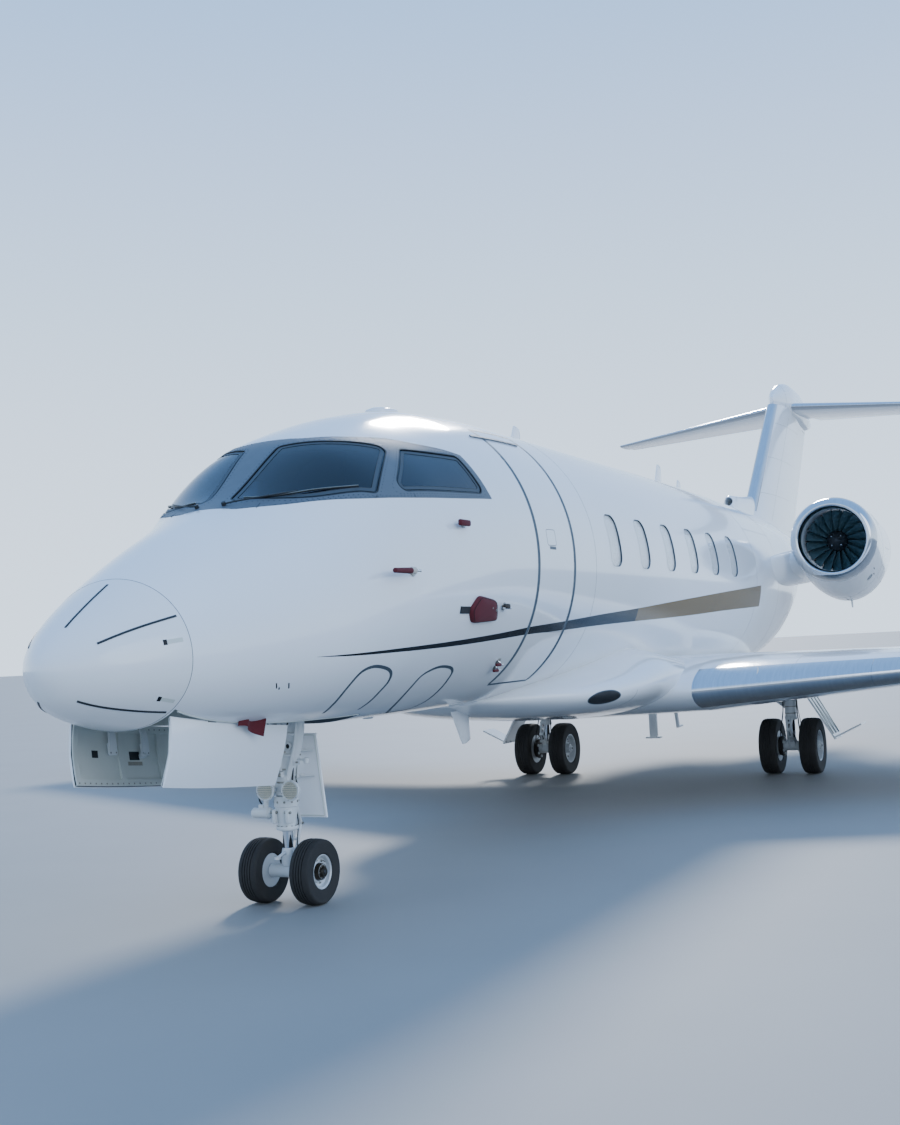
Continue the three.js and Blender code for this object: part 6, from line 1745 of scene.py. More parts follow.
def doorSkin(x, s, off):
    # the belly skin at a place, moved along its normal
    level = throughHull(row(x, s, noseBay["inside"]), (0, 0, -1))
    return level + hullNormal(level) * off


def doorSlab(x0, x1, s0, s1, low, high, acrossCount=5, lengthCount=14):
    # a closed slab between two depths under the belly skin
    s, x = np.linspace(s0, s1, lengthCount)[:, None], np.linspace(x0, x1, acrossCount)[None]
    return skin(np.concatenate([doorSkin(x, s, low), doorSkin(x, s, high)[:, ::-1]], 1))


def doorOpen(part):
    turn = np.array(Matrix.Rotation(math.radians(-noseDoor["open"]), 3, Vector(noseDoor["axis"])))
    return moved(part, turn, about=noseDoor["middle"])


doorBits = [(doorSlab(0.004, noseDoor["half"], noseDoor["front"], noseDoor["rear"], -hair, -0.008, 16, 31),
             "polyurethaneWhite")]
doorBits += [(doorSlab(*place, -0.0075, -0.0278), "bayPrimer") for place in noseDoor["frame"]]
doorBits.append((doorSlab(0.02, 0.385, 0.75, 1.91, -0.0074, -0.0115, 8, 30), "bayPrimer"))
x0, x1, s0, s1 = 0.011, 0.390, 0.742, 1.923  # the seal's run round the pan
edge = np.concatenate([doorSkin(x, s, -0.014) for x, s in (
    (x0, np.linspace(s0, s1, 30)), (np.linspace(x0, x1, 12), s1), (x1, np.linspace(s1, s0, 30)),
    (np.linspace(x1, x0, 12), s0))])
doorBits.append((pipe(edge, 0.006, 6, 180), "blackSealant"))
seats = np.concatenate([doorSkin(x, np.linspace(0.76, 1.90, 24), -0.0278) for x in (0.022, 0.375)])
doorBits.append((bolts(seats, np.tile([0.0, 0, 1], (len(seats), 1)), 0.0045, 0.002), "zincSteel"))
for s in noseDoor["arms"]:
    base = doorSkin(0.30, s, -0.028)
    hinge = noseDoor["middle"] + noseDoor["axis"] * ((s - midStation) - noseDoor["middle"][1])
    # flat arm, wide at the door and narrow at the hinge
    neck = np.array([base + [-0.09, 0, 0.004], base + [-0.02, 0, 0.022], base + [0.045, 0, 0.032], hinge])
    t = np.linspace(0, 1, 26)
    middle = np.stack([np.interp(t, [0, 0.33, 0.66, 1], neck[:, k]) for k in range(3)], -1)
    for _ in range(8):  # corners ease by averaging with their neighbours
        middle[1:-1] = (middle[:-2] + 2 * middle[1:-1] + middle[2:]) / 4
    across = np.gradient(middle, axis=0)
    across = np.stack([-across[:, 2], 0 * t, across[:, 0]], -1)
    across = across / np.linalg.norm(across, axis=1)[:, None] * 0.008
    beam = np.stack([0 * t, 0.032 - 0.014 * t, 0 * t], -1)
    arm = [middle - across - beam, middle - across + beam, middle + across + beam, middle + across - beam]
    doorBits.append((skin(np.stack(arm, 1)), "gearEnamel"))
    bolt = base + np.array([(x, y, z) for x, z in ((-0.085, 0.012), (-0.04, 0.014)) for y in (-0.022, 0.022)])
    doorBits.append((bolts(bolt, np.tile([0.0, 0, 1], (4, 1)), 0.005, 0.003), "zincSteel"))
    foot = softBox(base + [-0.10, -0.03, -0.002], base + [-0.02, 0.03, 0.012], 0.004)
    doorBits.append((foot, "gearEnamel"))
    pin0, pin1 = hinge - noseDoor["axis"] * 0.040, hinge + noseDoor["axis"] * 0.040
    doorBits.append((rod(pin0, pin1, 0.0155, sides=20), "zincSteel"))
doorBits += [(doorSlab(*place, -0.0112, -0.0128, 3, 4), look) for *place, look in noseDoor["plates"]]
push = doorSkin(0.20, 1.36, -0.026)
doorBits.append((softBox(push + [-0.014, -0.02, 0], push + [0.014, 0.02, 0.035], 0.005), "gearEnamel"))
for label, turn in labelledSides:
    piece(f"noseDoor.{label}", placed(doorBits, doorOpen, turn), f"nose_door_{label}",
          replaces=[f"nose_gear_door_{label}"])
print("nose bay and doors")


# Wheels: bead seats, web, hub cap and bolts by a lathe about the axle; tyres with ribs and a rounded shoulder
gear = {
    "nose": {"s": 2.435, "z": 0.225, "offset": 0.21, "rim": 0.115, "half": 0.062, "axle": 0.028, "tyre": 0.075,
             "ties": 8, "tieRing": 0.078, "holes": 0},
    "main": {"x": 1.593, "s": 10.86, "z": 0.33, "offset": 0.238, "rim": 0.178, "half": 0.085, "axle": 0.0375,
             "tyre": 0.10, "ties": 9, "tieRing": 0.075, "holes": 9},
}


def tyrePart(centre, kind):
    # section of a tyre: tread with four grooves, shoulder and sidewall by arcs, bead tucked on the rim
    g = gear[kind]
    R, rim, h = g["z"], g["rim"] + 0.0006, g["tyre"]
    half = [(-0.80 * h, rim), (-0.88 * h, rim + 0.004), (-0.93 * h, rim + 0.014)]
    for t in np.linspace(0, 1, 12)[1:]:
        a = math.pi / 2 * t  # sidewall and shoulder: quarter superellipse from the bead to the tread
        bulge = 0.93 + 0.07 * math.sin(a * 1.15) if t < 0.55 else 1 - 0.40 * ((t - 0.55) / 0.45) ** 2.2
        half.append((-h * bulge, rim + 0.014 + (R - 0.004 - rim - 0.014) * math.sin(a)))
    groove = 0.055 * h
    for x in (-0.42 * h, -0.14 * h):
        half += [(x - groove, R - 0.001), (x - groove * 0.7, R - 0.008), (x + groove * 0.7, R - 0.008),
                 (x + groove, R - 0.001)]
    profile = np.array(half + [(0.0, R)] + [(-x, r) for x, r in half[::-1]])
    profile[:, 1] = np.minimum(profile[:, 1], R)
    return lathe(profile, centre, centre + np.array([1.0, 0, 0]), 96, ring=True)


def hubPart(centre, kind, out):
    # wheel half: rim flange, well, dished web, hub and cap. Columns: distance outward, radius
    g = gear[kind]
    rim, h, ax = g["rim"], g["half"], g["axle"]
    dish = 0.55 if kind == "nose" else 0.72
    profile = [(-h, 0.0), (-h, ax + hair), (-h, rim - 0.012), (-h, rim), (-h + 0.006, rim + 0.004), (-h + 0.012, rim),
               (h - 0.012, rim), (h - 0.006, rim + 0.006), (h, rim + 0.006), (h + 0.002, rim - 0.001),
               (h - 0.004, rim - 0.009), (h * 0.55, rim - 0.014), (h * (1 - dish), rim - 0.022),
               (h * (1 - dish) - 0.004, rim - 0.035), (h * (1 - dish), 0.065), (h * 0.55, 0.058), (h * 0.8, 0.055),
               (h, 0.053), (h + 0.002, 0.050), (h + 0.003, 0.036), (h + 0.012, 0.034), (h + 0.0195, 0.030),
               (h + 0.020, 0.012), (h + 0.020, 0.0)]
    bits = [(lathe(profile, centre, centre + out, 72), "wheelEnamel")]
    face = h * (1 - dish) - 0.003
    places, axes = ringOf(centre + out * face, out, g["tieRing"] + (rim - 0.035 - g["tieRing"]) / 2, g["ties"], 0.2)
    bits.append((bolts(places, axes, 0.0075 if kind == "main" else 0.006, 0.010), "zincSteel"))
    places, axes = ringOf(centre + out * (h + 0.003), out, 0.043, 6, 0)
    bits.append((bolts(places, axes, 0.0035, 0.004), "zincSteel"))
    bits.append((rod(centre + out * (h + 0.0195), centre + out * (h + 0.026), 0.016, 0.012, 20, 0.002), "panelBlack"))
    if kind == "nose":  # greased bearing cap in the middle
        cap = [(h * 0.3, 0.050), (h * 0.5, 0.0615), (h * 0.8, 0.0575), (h + 0.001, 0.055), (h + 0.004, 0.038),
               (h + 0.013, 0.036), (h + 0.0205, 0.032), (h + 0.021, 0.014), (h + 0.021, 0.0), (h * 0.3, 0.0)]
        bits.append((lathe(cap, centre, centre + out, 64), "greasedBronze"))
    # the black disc inside each lip is painted shade of the cooling hole
    if kind == "main":  # cooling holes between the tie bolts, drawn as dark sunk discs with raised lips
        places, axes = ringOf(centre + out * (face + 0.001), out, 0.128, g["holes"], 0.0)
        for place in places:
            bits.append((rod(place - out * 0.004, place + out * 0.0022, 0.019, sides=24), "wheelEnamel"))
            bits.append((rod(place - out * 0.004, place + out * 0.0030, 0.0145, sides=24), "panelBlack"))
    valve = centre + out * (h * 0.6) + np.array([0, 0.6, 0.8]) * (rim - 0.030)
    bits.append((rod(valve, valve + out * 0.022 + np.array([0, -0.2, -0.27]) * 0.03, 0.004, 0.003, 10), "zincSteel"))
    return bits


def axlePart(centre, half, radius):
    return rod(centre - np.array([half, 0, 0]), centre + np.array([half, 0, 0]), radius, sides=32)


noseG, mainG = gear["nose"], gear["main"]
noseCentre = row(0, noseG["s"], noseG["z"])
hubBits = [(axlePart(noseCentre, noseG["offset"], noseG["axle"] - hair), "hardChrome")]
for side in (1, -1):
    spot = noseCentre + np.array([side * noseG["offset"], 0, 0])
    hubBits += hubPart(spot, "nose", np.array([float(side), 0, 0]))
    label = "port" if side > 0 else "starboard"
    piece(f"noseTyre.{label}", [(tyrePart(spot, "nose"), "tyreRubber")], "nose_wheels",
          replaces=[f"nose_tyre_{label}"], sharp=40)
piece("noseHubs", hubBits, "nose_wheels", replaces=["nose_wheel_hubs"])

# Nose leg: a broad cast head that narrows to the cylinder, with ribs, braces, lamps, steering and hoses
noseLeg = {"lamp": (0.104, 0.79), "jack": (-0.03, 0.625), "clamps": (0.84, 0.93, 1.05), "holes": (1.09, 1.25),
           # door on the rear: lower and upper height, half width at each, and where its struts stand
           "plate": (0.565, 1.16), "plateHalf": (0.19, 0.125), "struts": (0.86, 1.04),
           # lugs of the door actuator. Columns: x from and to, how far ahead of the leg, height from and to
           "lugs": ((-0.034, -0.022, 0.10, 0.04, 0.875, 0.915), (0.022, 0.034, 0.10, 0.04, 0.875, 0.915),
                    (-0.036, -0.024, 0.118, 0.05, 1.215, 1.255), (0.024, 0.036, 0.118, 0.05, 1.215, 1.255)),
           # webs at the sides of the casting. Columns: x, height, depth
           "webs": ((0.062, 0.90, 0.0), (0.118, 1.06, 0.002), (0.150, 1.22, 0.006), (0.150, 1.40, 0.008))}
ns, nz = noseG["s"], noseG["z"]
legAxis = row(0, ns, 0), row(0, ns, 1)

legBits = [(casting([(0.7452, 0.060, 0.060), (0.752, 0.067, 0.067), (0.775, 0.068, 0.068), (0.782, 0.060, 0.060),
                     (0.86, 0.064, 0.060), (0.95, 0.092, 0.062), (1.08, 0.138, 0.066), (1.20, 0.162, 0.070),
                     (1.31, 0.166, 0.074), (1.44, 0.160, 0.072), (1.53, 0.12, 0.065), (1.6474, 0.07, 0.055)], s=ns),
            "gearEnamel")]
for x0, x1 in ((-0.022, -0.010), (0.010, 0.022)):
    legBits.append((roundedBlock((x0, ns - 0.088, 0.92), (x1, ns - 0.05, 1.40), 0.004), "gearEnamel"))
for side in (1, -1):
    web = [row(side * x, ns - 0.066 - d, z) for x, z, d in noseLeg["webs"]]
    legBits.append((pipe(np.array(web), 0.010, 8, 18), "gearEnamel"))
    legBits.append((rod(row(side * 0.12, ns, 1.47), row(side * 0.412, ns, 1.47), 0.034, 0.030, 24, 0.003),
                    "gearEnamel"))
    legBits.append((rod(row(side * 0.19, ns, 1.47), row(side * 0.215, ns, 1.47), 0.046, sides=24, edge=0.003),
                    "gearEnamel"))
for z, half in ((1.02, 0.100), (1.165, 0.135)):
    legBits.append((roundedBlock((-half, ns - 0.080, z), (half, ns - 0.05, z + 0.018), 0.004), "gearEnamel"))
# holes in the casting: a lipped ring, with a black disc inside that is painted shade of the hole
for side in (1, -1):
    for z in noseLeg["holes"]:
        spot = row(side * 0.075, ns - 0.066, z)
        legBits.append((lathe([(0.0, 0.016), (0.0, 0.032), (0.008, 0.030), (0.008, 0.018)], spot, spot - [0, 1, 0],
                              28, ring=True), "gearEnamel"))
        legBits.append((rod(spot + [0, 0.01, 0], spot - [0, 0.002, 0], 0.017, sides=24), "panelBlack"))
drag = [row(0, ns + 0.03, 1.00), row(0, 2.56, 1.22), row(0, 2.70, 1.55)]
legBits += [(rod(drag[0], drag[2], 0.022, 0.020, 24, 0.003), "gearEnamel"),
            (rod(row(-0.04, ns + 0.035, 1.0), row(0.04, ns + 0.035, 1.0), 0.014, sides=18), "zincSteel"),
            (rod(row(-0.05, 2.68, 1.50), row(0.05, 2.68, 1.50), 0.018, sides=18), "zincSteel")]
# door actuator: black barrel with a bright rod down the middle of the casting
top, mid, low = row(0.0, ns - 0.11, 1.19), row(-0.006, ns - 0.108, 1.00), row(-0.010, ns - 0.095, 0.90)
legBits += [(rod(top, mid, 0.021, 0.021, 24, 0.004), "panelBlack"), (rod(mid, low, 0.009, sides=16), "hardChrome"),
            (rod(top + [0, 0, -0.005], top + [0, 0, 0.045], 0.013, sides=16, edge=0.003), "gearEnamel"),
            (rod(row(-0.03, ns - 0.095, 0.895), row(0.03, ns - 0.095, 0.895), 0.012, sides=16), "zincSteel"),
            (rod(row(-0.032, ns - 0.11, 1.235), row(0.032, ns - 0.11, 1.235), 0.010, sides=16), "zincSteel")]
legBits += [(roundedBlock((x0, ns - s0, z0), (x1, ns - s1, z1), 0.004), "gearEnamel")
            for x0, x1, s0, s1, z0, z1 in noseLeg["lugs"]]
lampX, lampZ = noseLeg["lamp"]
for side in (1, -1):
    centre = row(side * lampX, ns - 0.11, lampZ)
    away = np.array([0, 1.0, 0])
    bowl = [(0.002, 0.0), (0.002, 0.062), (0.0, 0.064), (0.0, 0.0715), (0.004, 0.073), (0.012, 0.073), (0.014, 0.067),
            (0.05, 0.058), (0.082, 0.036), (0.090, 0.014), (0.090, 0.0)]
    legBits.append((lathe(bowl, centre, centre + away, 40), "gearEnamel"))
    lens = [(-0.004, 0.0), (-0.0035, 0.02), (-0.002, 0.05), (0.0015, 0.062), (0.0022, 0.062), (0.0022, 0.0)]
    legBits.append((lathe([(0.0018, 0.0), (0.0018, 0.060), (0.0021, 0.060), (0.0021, 0.0)], centre, centre + away, 40),
                    "lampCream"))
    legBits.append((lathe(lens, centre, centre + away, 40), "ribbedLampGlass"))
    for k in np.linspace(-0.045, 0.045, 7):
        reach = math.sqrt(0.056 ** 2 - k * k)
        depth = -0.0042 - 0.0005 * (1 - abs(k) / 0.04)
        legBits.append((pipe(centre + np.array([[-reach, depth + 0.002, k], [0, depth, k], [reach, depth + 0.002, k]]),
                             0.0022, 6, 12), "ribbedLampGlass"))
    places, axes = ringOf(centre + away * 0.0005, -away, 0.068, 6, 0.3)
    legBits.append((bolts(places, axes, 0.0028, 0.002), "zincSteel"))
    legBits.append((pipe(np.array([centre + away * 0.088, centre + away * 0.10 + [0, 0, 0.03],
                                   row(side * 0.06, ns + 0.04, 0.90), row(side * 0.07, ns + 0.05, 1.2),
                                   row(side * 0.09, ns + 0.06, 1.5)]), 0.0045, 8, 60), "hoseRubber"))
legBits.append((pipe(np.array([row(-lampX, ns - 0.04, lampZ + 0.02), row(0, ns - 0.045, lampZ + 0.03),
                               row(lampX, ns - 0.04, lampZ + 0.02)]), 0.017, 12, 20), "gearEnamel"))
# steering jack on its arm, at the starboard side of the cylinder
jackS, jackZ = ns + noseLeg["jack"][0], noseLeg["jack"][1]
legBits += [(rod(row(-0.105, jackS, jackZ), row(-0.262, jackS, jackZ), 0.036, 0.036, 28, 0.008), "gearEnamel"),
            (rod(row(-0.125, jackS, jackZ), row(-0.142, jackS, jackZ), 0.041, sides=28, edge=0.002), "gearEnamel"),
            (pipe(np.array([row(-0.02, ns - 0.03, 0.84), row(-0.10, jackS, 0.79), row(-0.145, jackS, 0.72),
                            row(-0.15, jackS, 0.64)]), 0.019, 12, 24), "gearEnamel"),
            (rod(row(-0.262, jackS, jackZ), row(-0.270, jackS, jackZ), 0.016, sides=16), "zincSteel"),
            (softBox((-0.205, jackS - midStation - 0.02, 0.655), (-0.165, jackS - midStation + 0.02, 0.685), 0.005),
             "gearEnamel"),
            (pipe(np.array([row(-0.185, jackS, 0.68), row(-0.19, ns - 0.05, 0.74), row(-0.11, ns - 0.07, 0.89),
                            row(-0.085, ns - 0.06, 1.1), row(-0.12, ns - 0.02, 1.4)]), 0.006, 8, 60), "hoseRubber")]
for side in (1, -1):
    clevis = roundedBlock((side * 0.052 - 0.008, ns + 0.02, 0.86), (side * 0.052 + 0.008, ns + 0.075, 0.99), 0.006)
    legBits.append((clevis, "gearEnamel"))
for x, s, look, r in ((0.078, ns - 0.02, "hoseRubber", 0.007), (0.086, ns + 0.015, "zincSteel", 0.004),
                      (-0.080, ns + 0.01, "hoseRubber", 0.006)):
    path = [row(x * 0.85, s, 0.80), row(x, s, 0.92), row(x * 1.25, s, 1.10), row(x * 1.75, s + 0.02, 1.34),
            row(x * 1.3, s + 0.03, 1.60)]
    legBits.append((pipe(np.array(path), r, 8, 60), look))
for z in noseLeg["clamps"]:
    legBits.append((lathe([(z - 0.006, 0.066 + (z - 0.84) * 0.08), (z + 0.006, 0.066 + (z - 0.84) * 0.08),
                           (z + 0.006, 0.055), (z - 0.006, 0.055)], *legAxis, 40, ring=True), "zincSteel"))
# valve block with its fittings at the port side
legBits.append((roundedBlock((0.066, ns - 0.035, 0.955), (0.105, ns + 0.035, 1.045), 0.006), "gearEnamel"))
for k in range(3):
    spot = row(0.105, ns - 0.02 + 0.02 * k, 0.975 + 0.025 * k)
    legBits.append((rod(spot, spot + [0.018, 0, 0], 0.007, 0.006, 12), "zincSteel"))
legBits.append((rod(row(0.10, ns, 1.0), row(0.19, ns - 0.01, 0.985), 0.009, sides=12), "gearEnamel"))
legBits.append((rod(row(0.185, ns - 0.01, 0.966), row(0.185, ns - 0.01, 1.006), 0.019, sides=20, edge=0.003),
                "gearEnamel"))
# door on the leg's rear: flanged panel held by two rods
(zLow, zHigh), (halfLow, halfHigh) = noseLeg["plate"], noseLeg["plateHalf"]


def plateRow(s, off):
    # outline of the door at one station, drawn in by "off"
    corners = []
    for z, way in ((zLow + off, -1), (zLow + off, 1), (zHigh - off, 1), (zHigh - off, -1)):
        half = halfLow + (halfHigh - halfLow) * (z - zLow) / (zHigh - zLow) - off
        corners.append(row(way * half, s, z))
    return np.array(corners)


plate = [plateRow(s, off) for s, off in ((2.6505, 0.004), (2.653, 0.0), (2.666, 0.0), (2.6695, 0.004))]
legBits.append((skin(np.array(plate)), "polyurethaneWhite"))
inset = plateRow(2.6505, 0.014)
legBits += [(rod(a, b, 0.004, sides=10), "bayPrimer") for a, b in zip(inset, np.roll(inset, -1, 0))]
for z in noseLeg["struts"]:
    legBits.append((rod(row(0, ns, z), row(0, 2.652, z), 0.014, sides=20), "gearEnamel"))
    for side in (1, -1):
        legBits.append((rod(row(side * 0.02, 2.60, z), row(side * 0.10, 2.651, z), 0.008, sides=12), "gearEnamel"))
piece("noseGearLeg", legBits, replaces=["nose_gear_leg"])

pistonBits = [
    (lathe([(0.668, 0.070), (0.670, 0.084), (0.675, 0.0855), (0.735, 0.0855), (0.742, 0.084), (0.7445, 0.060),
            (0.7445, 0.04), (0.668, 0.04)], *legAxis, 56, ring=True), "gearEnamel"),
    (casting([(0.50, 0.044, 0.044), (0.505, 0.060, 0.060), (0.52, 0.062, 0.062), (0.60, 0.068, 0.068),
              (0.660, 0.079, 0.079), (0.6678, 0.080, 0.080)], s=ns, power=1.0), "gearEnamel"),
    (rod(row(0, ns, 0.34), row(0, ns, 0.52), 0.036, sides=40), "hardChrome"),
    (casting([(0.262, 0.040, 0.046), (0.275, 0.046, 0.052), (0.34, 0.047, 0.050), (0.375, 0.042, 0.043),
              (0.385, 0.037, 0.037)], s=ns, power=0.85), "gearEnamel")]
places, axes = ringOf(row(0, ns, 0.705), np.array([0, 0, 1.0]), 0.0865, 10, 0.1)
pistonBits.append((bolts(places, unit(places - row(0, ns, 0.705)), 0.0065, 0.004), "zincSteel"))
pistonBits.append((lathe([(0.512, 0.060), (0.512, 0.076), (0.518, 0.078), (0.530, 0.078), (0.536, 0.076),
                          (0.536, 0.060)], *legAxis, 48, ring=True), "gearEnamel"))
places, axes = ringOf(row(0, ns, 0.536), np.array([0, 0, 1.0]), 0.071, 12, 0.0)
pistonBits.append((bolts(places, axes, 0.005, 0.006), "zincSteel"))
for side in (1, -1):
    pistonBits.append((roundedBlock((side * 0.055 - 0.014, ns - 0.088, 0.56), (side * 0.055 + 0.014, ns - 0.03, 0.655),
                                    0.008), "gearEnamel"))
    pistonBits.append((rod(row(side * 0.03, ns - 0.075, 0.635), row(side * 0.085, ns - 0.075, 0.635), 0.009, sides=14),
                       "zincSteel"))
bore = rod(row(-0.3, ns, nz), row(0.3, ns, nz), noseG["axle"] + 0.0012, sides=40)
knuckleMesh = plain(carved("noseKnuckle", rod(row(-0.146, ns, nz), row(0.146, ns, nz), 0.046, sides=40, edge=0.004),
                           [bore]), "gearEnamel")
piece("noseKnuckle", knuckleMesh, "steered_nose_gear")


def torqueLink(a, b, wide0, wide1, thick):
    # forked arm: two flat bars that lean together and a web between them
    bits = []
    for side in (1, -1):
        p, q = a + np.array([side * wide0, 0, 0]), b + np.array([side * wide1, 0, 0])
        bits.append(rod(p, q, thick, thick * 0.85, 14, 0.002))
    bits.append(rod(a - [wide0 + 0.012, 0, 0], a + [wide0 + 0.012, 0, 0], thick * 1.15, sides=18, edge=0.002))
    bits.append(rod(b - [wide1 + 0.012, 0, 0], b + [wide1 + 0.012, 0, 0], thick * 1.15, sides=18, edge=0.002))
    m, w = a * 0.55 + b * 0.45, wide0 * 0.55 + wide1 * 0.45
    bits.append(rod(m - [w, 0, 0], m + [w, 0, 0], thick * 0.8, sides=14))
    return joined(*bits)


knee = row(0, ns + 0.15, 0.535)
pistonBits += [(torqueLink(row(0, ns + 0.072, 0.655), knee, 0.034, 0.014, 0.013), "gearEnamel"),
               (torqueLink(row(0, ns + 0.045, 0.345), knee, 0.030, 0.014, 0.012), "gearEnamel"),
               (rod(knee - [0.036, 0, 0], knee + [0.036, 0, 0], 0.009, sides=14), "zincSteel"),
               (rod(row(0, ns - 0.03, 0.36), row(0, ns - 0.125, 0.335), 0.014, 0.011, 16, 0.002), "gearEnamel"),
               (lathe([(-0.008, 0.012), (-0.008, 0.024), (0.008, 0.024), (0.008, 0.012)], row(0, ns - 0.135, 0.332),
                      row(0, ns - 0.135, 1), 28, ring=True), "gearEnamel"),
               (pipe(np.array([row(0.05, ns + 0.04, 0.66), row(0.052, ns + 0.06, 0.55), row(0.05, ns + 0.045, 0.45),
                               row(0.05, ns + 0.03, 0.30)]), 0.004, 8, 40), "hoseRubber")]
piece("noseGearPiston", pistonBits, "steered_nose_gear", replaces=["nose_gear_piston"])
print("nose gear")

# Main gear: forged leg with trailing knuckle, brake packs, side stay, slanting leg door with its turned flap
mx, ms, mz = mainG["x"], mainG["s"], mainG["z"]
mainCentre = row(mx, ms, mz)
mainAxis = row(mx, ms, 0), row(mx, ms, 1)
mainKnee = row(mx, ms - 0.165, 0.53)
mainBits = [
    (casting([(0.640, 0.064, 0.064), (0.646, 0.071, 0.071), (0.68, 0.072, 0.072), (0.69, 0.066, 0.066),
              (0.90, 0.066, 0.066), (0.98, 0.070, 0.075), (1.10, 0.085, 0.085), (1.1385, 0.085, 0.088)], mx, ms, 0.9),
     "gearEnamel"),
    (rod(row(mx, ms, 0.40), row(mx, ms, 0.646), 0.043, sides=44), "hardChrome"),
    (casting([(0.305, 0.050, 0.066), (0.33, 0.060, 0.074), (0.385, 0.058, 0.068), (0.41, 0.050, 0.052),
              (0.43, 0.045, 0.045)], mx, ms, 0.85), "gearEnamel"),
    (torqueLink(row(mx, ms - 0.082, 0.675), mainKnee, 0.036, 0.016, 0.015), "gearEnamel"),
    (torqueLink(row(mx, ms - 0.060, 0.375), mainKnee, 0.034, 0.016, 0.014), "gearEnamel"),
    (rod(row(mx - 0.06, ms, 0.83), row(mx - 0.46, ms, 1.06), 0.022, 0.020, 24, 0.003), "gearEnamel"),
    (rod(row(mx - 0.10, ms - 0.02, 0.855), row(mx - 0.10, ms + 0.02, 0.855), 0.030, sides=20, edge=0.003),
     "gearEnamel"),
    (rod(row(mx - 0.06, ms + 0.03, 0.78), row(mx - 0.40, ms + 0.05, 1.03), 0.013, sides=16), "hardChrome"),
    (rod(row(mx - 0.22, ms + 0.042, 0.905), row(mx - 0.40, ms + 0.05, 1.03), 0.024, sides=20, edge=0.003),
     "gearEnamel"),
    (rod(row(mx + 0.04, ms, 0.90), row(mx + 0.2235, ms, 0.93), 0.013, sides=16), "zincSteel")]
for z in (0.72, 0.80, 0.88):
    mainBits.append((lathe([(z - 0.006, 0.0715), (z + 0.006, 0.0715), (z + 0.006, 0.06), (z - 0.006, 0.06)],
                           *mainAxis, 40, ring=True), "zincSteel"))
for x, s, r, look in ((0.082, -0.03, 0.007, "hoseRubber"), (-0.078, -0.04, 0.007, "hoseRubber"),
                      (0.075, 0.05, 0.005, "zincSteel")):
    side = np.sign(x)
    path = [row(mx + x, ms + s, 1.08), row(mx + x, ms + s, 0.80), row(mx + x * 1.15, ms + s * 1.6, 0.66),
            row(mx + x * 1.35, ms + s * 1.8 - 0.03, 0.54), row(mx + side * 0.12, ms - 0.09, 0.43),
            row(mx + side * 0.125, ms - 0.07, 0.37)]
    mainBits.append((pipe(np.array(path), r, 8, 80), look))
mainBore = rod(row(mx - 0.3, ms, mz), row(mx + 0.3, ms, mz), mainG["axle"] + 0.0012, sides=44)
mainKnuckle = plain(carved("mainKnuckle", rod(row(mx - 0.151, ms, mz), row(mx + 0.151, ms, mz), 0.058, sides=44,
                                              edge=0.004), [mainBore]), "gearEnamel")
for side in (1, -1):
    out = np.array([float(side), 0, 0])
    spot = mainCentre + out * 0.100
    mainBits.append((lathe([(0.0, 0.060), (0.0, 0.120), (0.004, 0.124), (0.020, 0.124), (0.024, 0.112), (0.048, 0.112),
                            (0.048, 0.060)], spot, spot + out, 48, ring=True), "sinteredSteel"))
    places, axes = ringOf(spot - out * 0.001, -out, 0.096, 6, 0.5)
    mainBits += [(rod(p, p - out * 0.018, 0.016, sides=18, edge=0.002), "gearEnamel") for p in places]
flapA, flapB, flapC = np.array([1.79, 0.99]), np.array([2.13, 0.41]), np.array([2.44, 0.575])


def slabPart(a, b, s0, s1, thick, edge=0.004):
    # flat panel between two points of the cross section, its edges eased
    d = (b - a) / np.linalg.norm(b - a)
    n = np.array([-d[1], d[0]]) * thick
    rings = []
    for s, off in ((s0, edge), (s0 + edge, 0), (s1 - edge, 0), (s1, edge)):
        corners = (a + d * off, b - d * off, b - d * off + n, a + d * off + n)
        rings.append([row(p[0], s, p[1]) for p in corners])
    return skin(np.array(rings))


legDoor = [(slabPart(flapA, flapB, 10.66, 11.06, 0.019), "polyurethaneWhite"),
           (slabPart(np.array([2.12, 0.42]), flapC, 10.70, 11.02, 0.019), "polyurethaneWhite")]
for s in (10.70, 10.86, 11.02):
    rib = np.array([row(1.83 + 0.27 * k, s, 0.955 - 0.49 * k) + np.array([0.018, 0, 0.012]) for k in (0, 0.5, 1)])
    legDoor.append((pipe(rib, 0.007, 8, 12), "bayPrimer"))
for s in (10.74, 10.86, 10.98):
    legDoor.append((rod(row(2.118, s - 0.025, 0.428), row(2.118, s + 0.025, 0.428), 0.013, sides=16), "gearEnamel"))
legDoor.append((rod(row(mx + 0.2236, ms - 0.03, 0.93), row(mx + 0.2236, ms + 0.03, 0.93), 0.014, sides=16),
                "gearEnamel"))
mainHubs = [(axlePart(mainCentre, mainG["offset"], mainG["axle"] - hair), "hardChrome")]
for side in (1, -1):
    out = np.array([float(side), 0, 0])
    mainHubs += hubPart(mainCentre + out * mainG["offset"], "main", out)
for label, turn in labelledSides:
    piece(f"mainGearLeg.{label}", placed(mainBits, turn), replaces=[f"main_gear_leg_{label}"])
    piece(f"mainKnuckle.{label}", copied(mainKnuckle, f"mainKnuckle.{label}", turn))
    piece(f"mainGearDoor.{label}", placed(legDoor, turn), replaces=[f"main_gear_door_{label}"])
    piece(f"mainHubs.{label}", placed(mainHubs, turn), f"main_wheels_{label}",
          replaces=[f"main_wheel_hubs_{label}"])
    for place, way in (("inner", -1), ("outer", 1)):
        spot = mainCentre + np.array([way * mainG["offset"], 0, 0])
        piece(f"mainTyre.{place}.{label}", [(turn(tyrePart(spot, "main")), "tyreRubber")], f"main_wheels_{label}",
              replaces=[f"main_tyre_{place}_{label}"], sharp=40)
print("main gear")


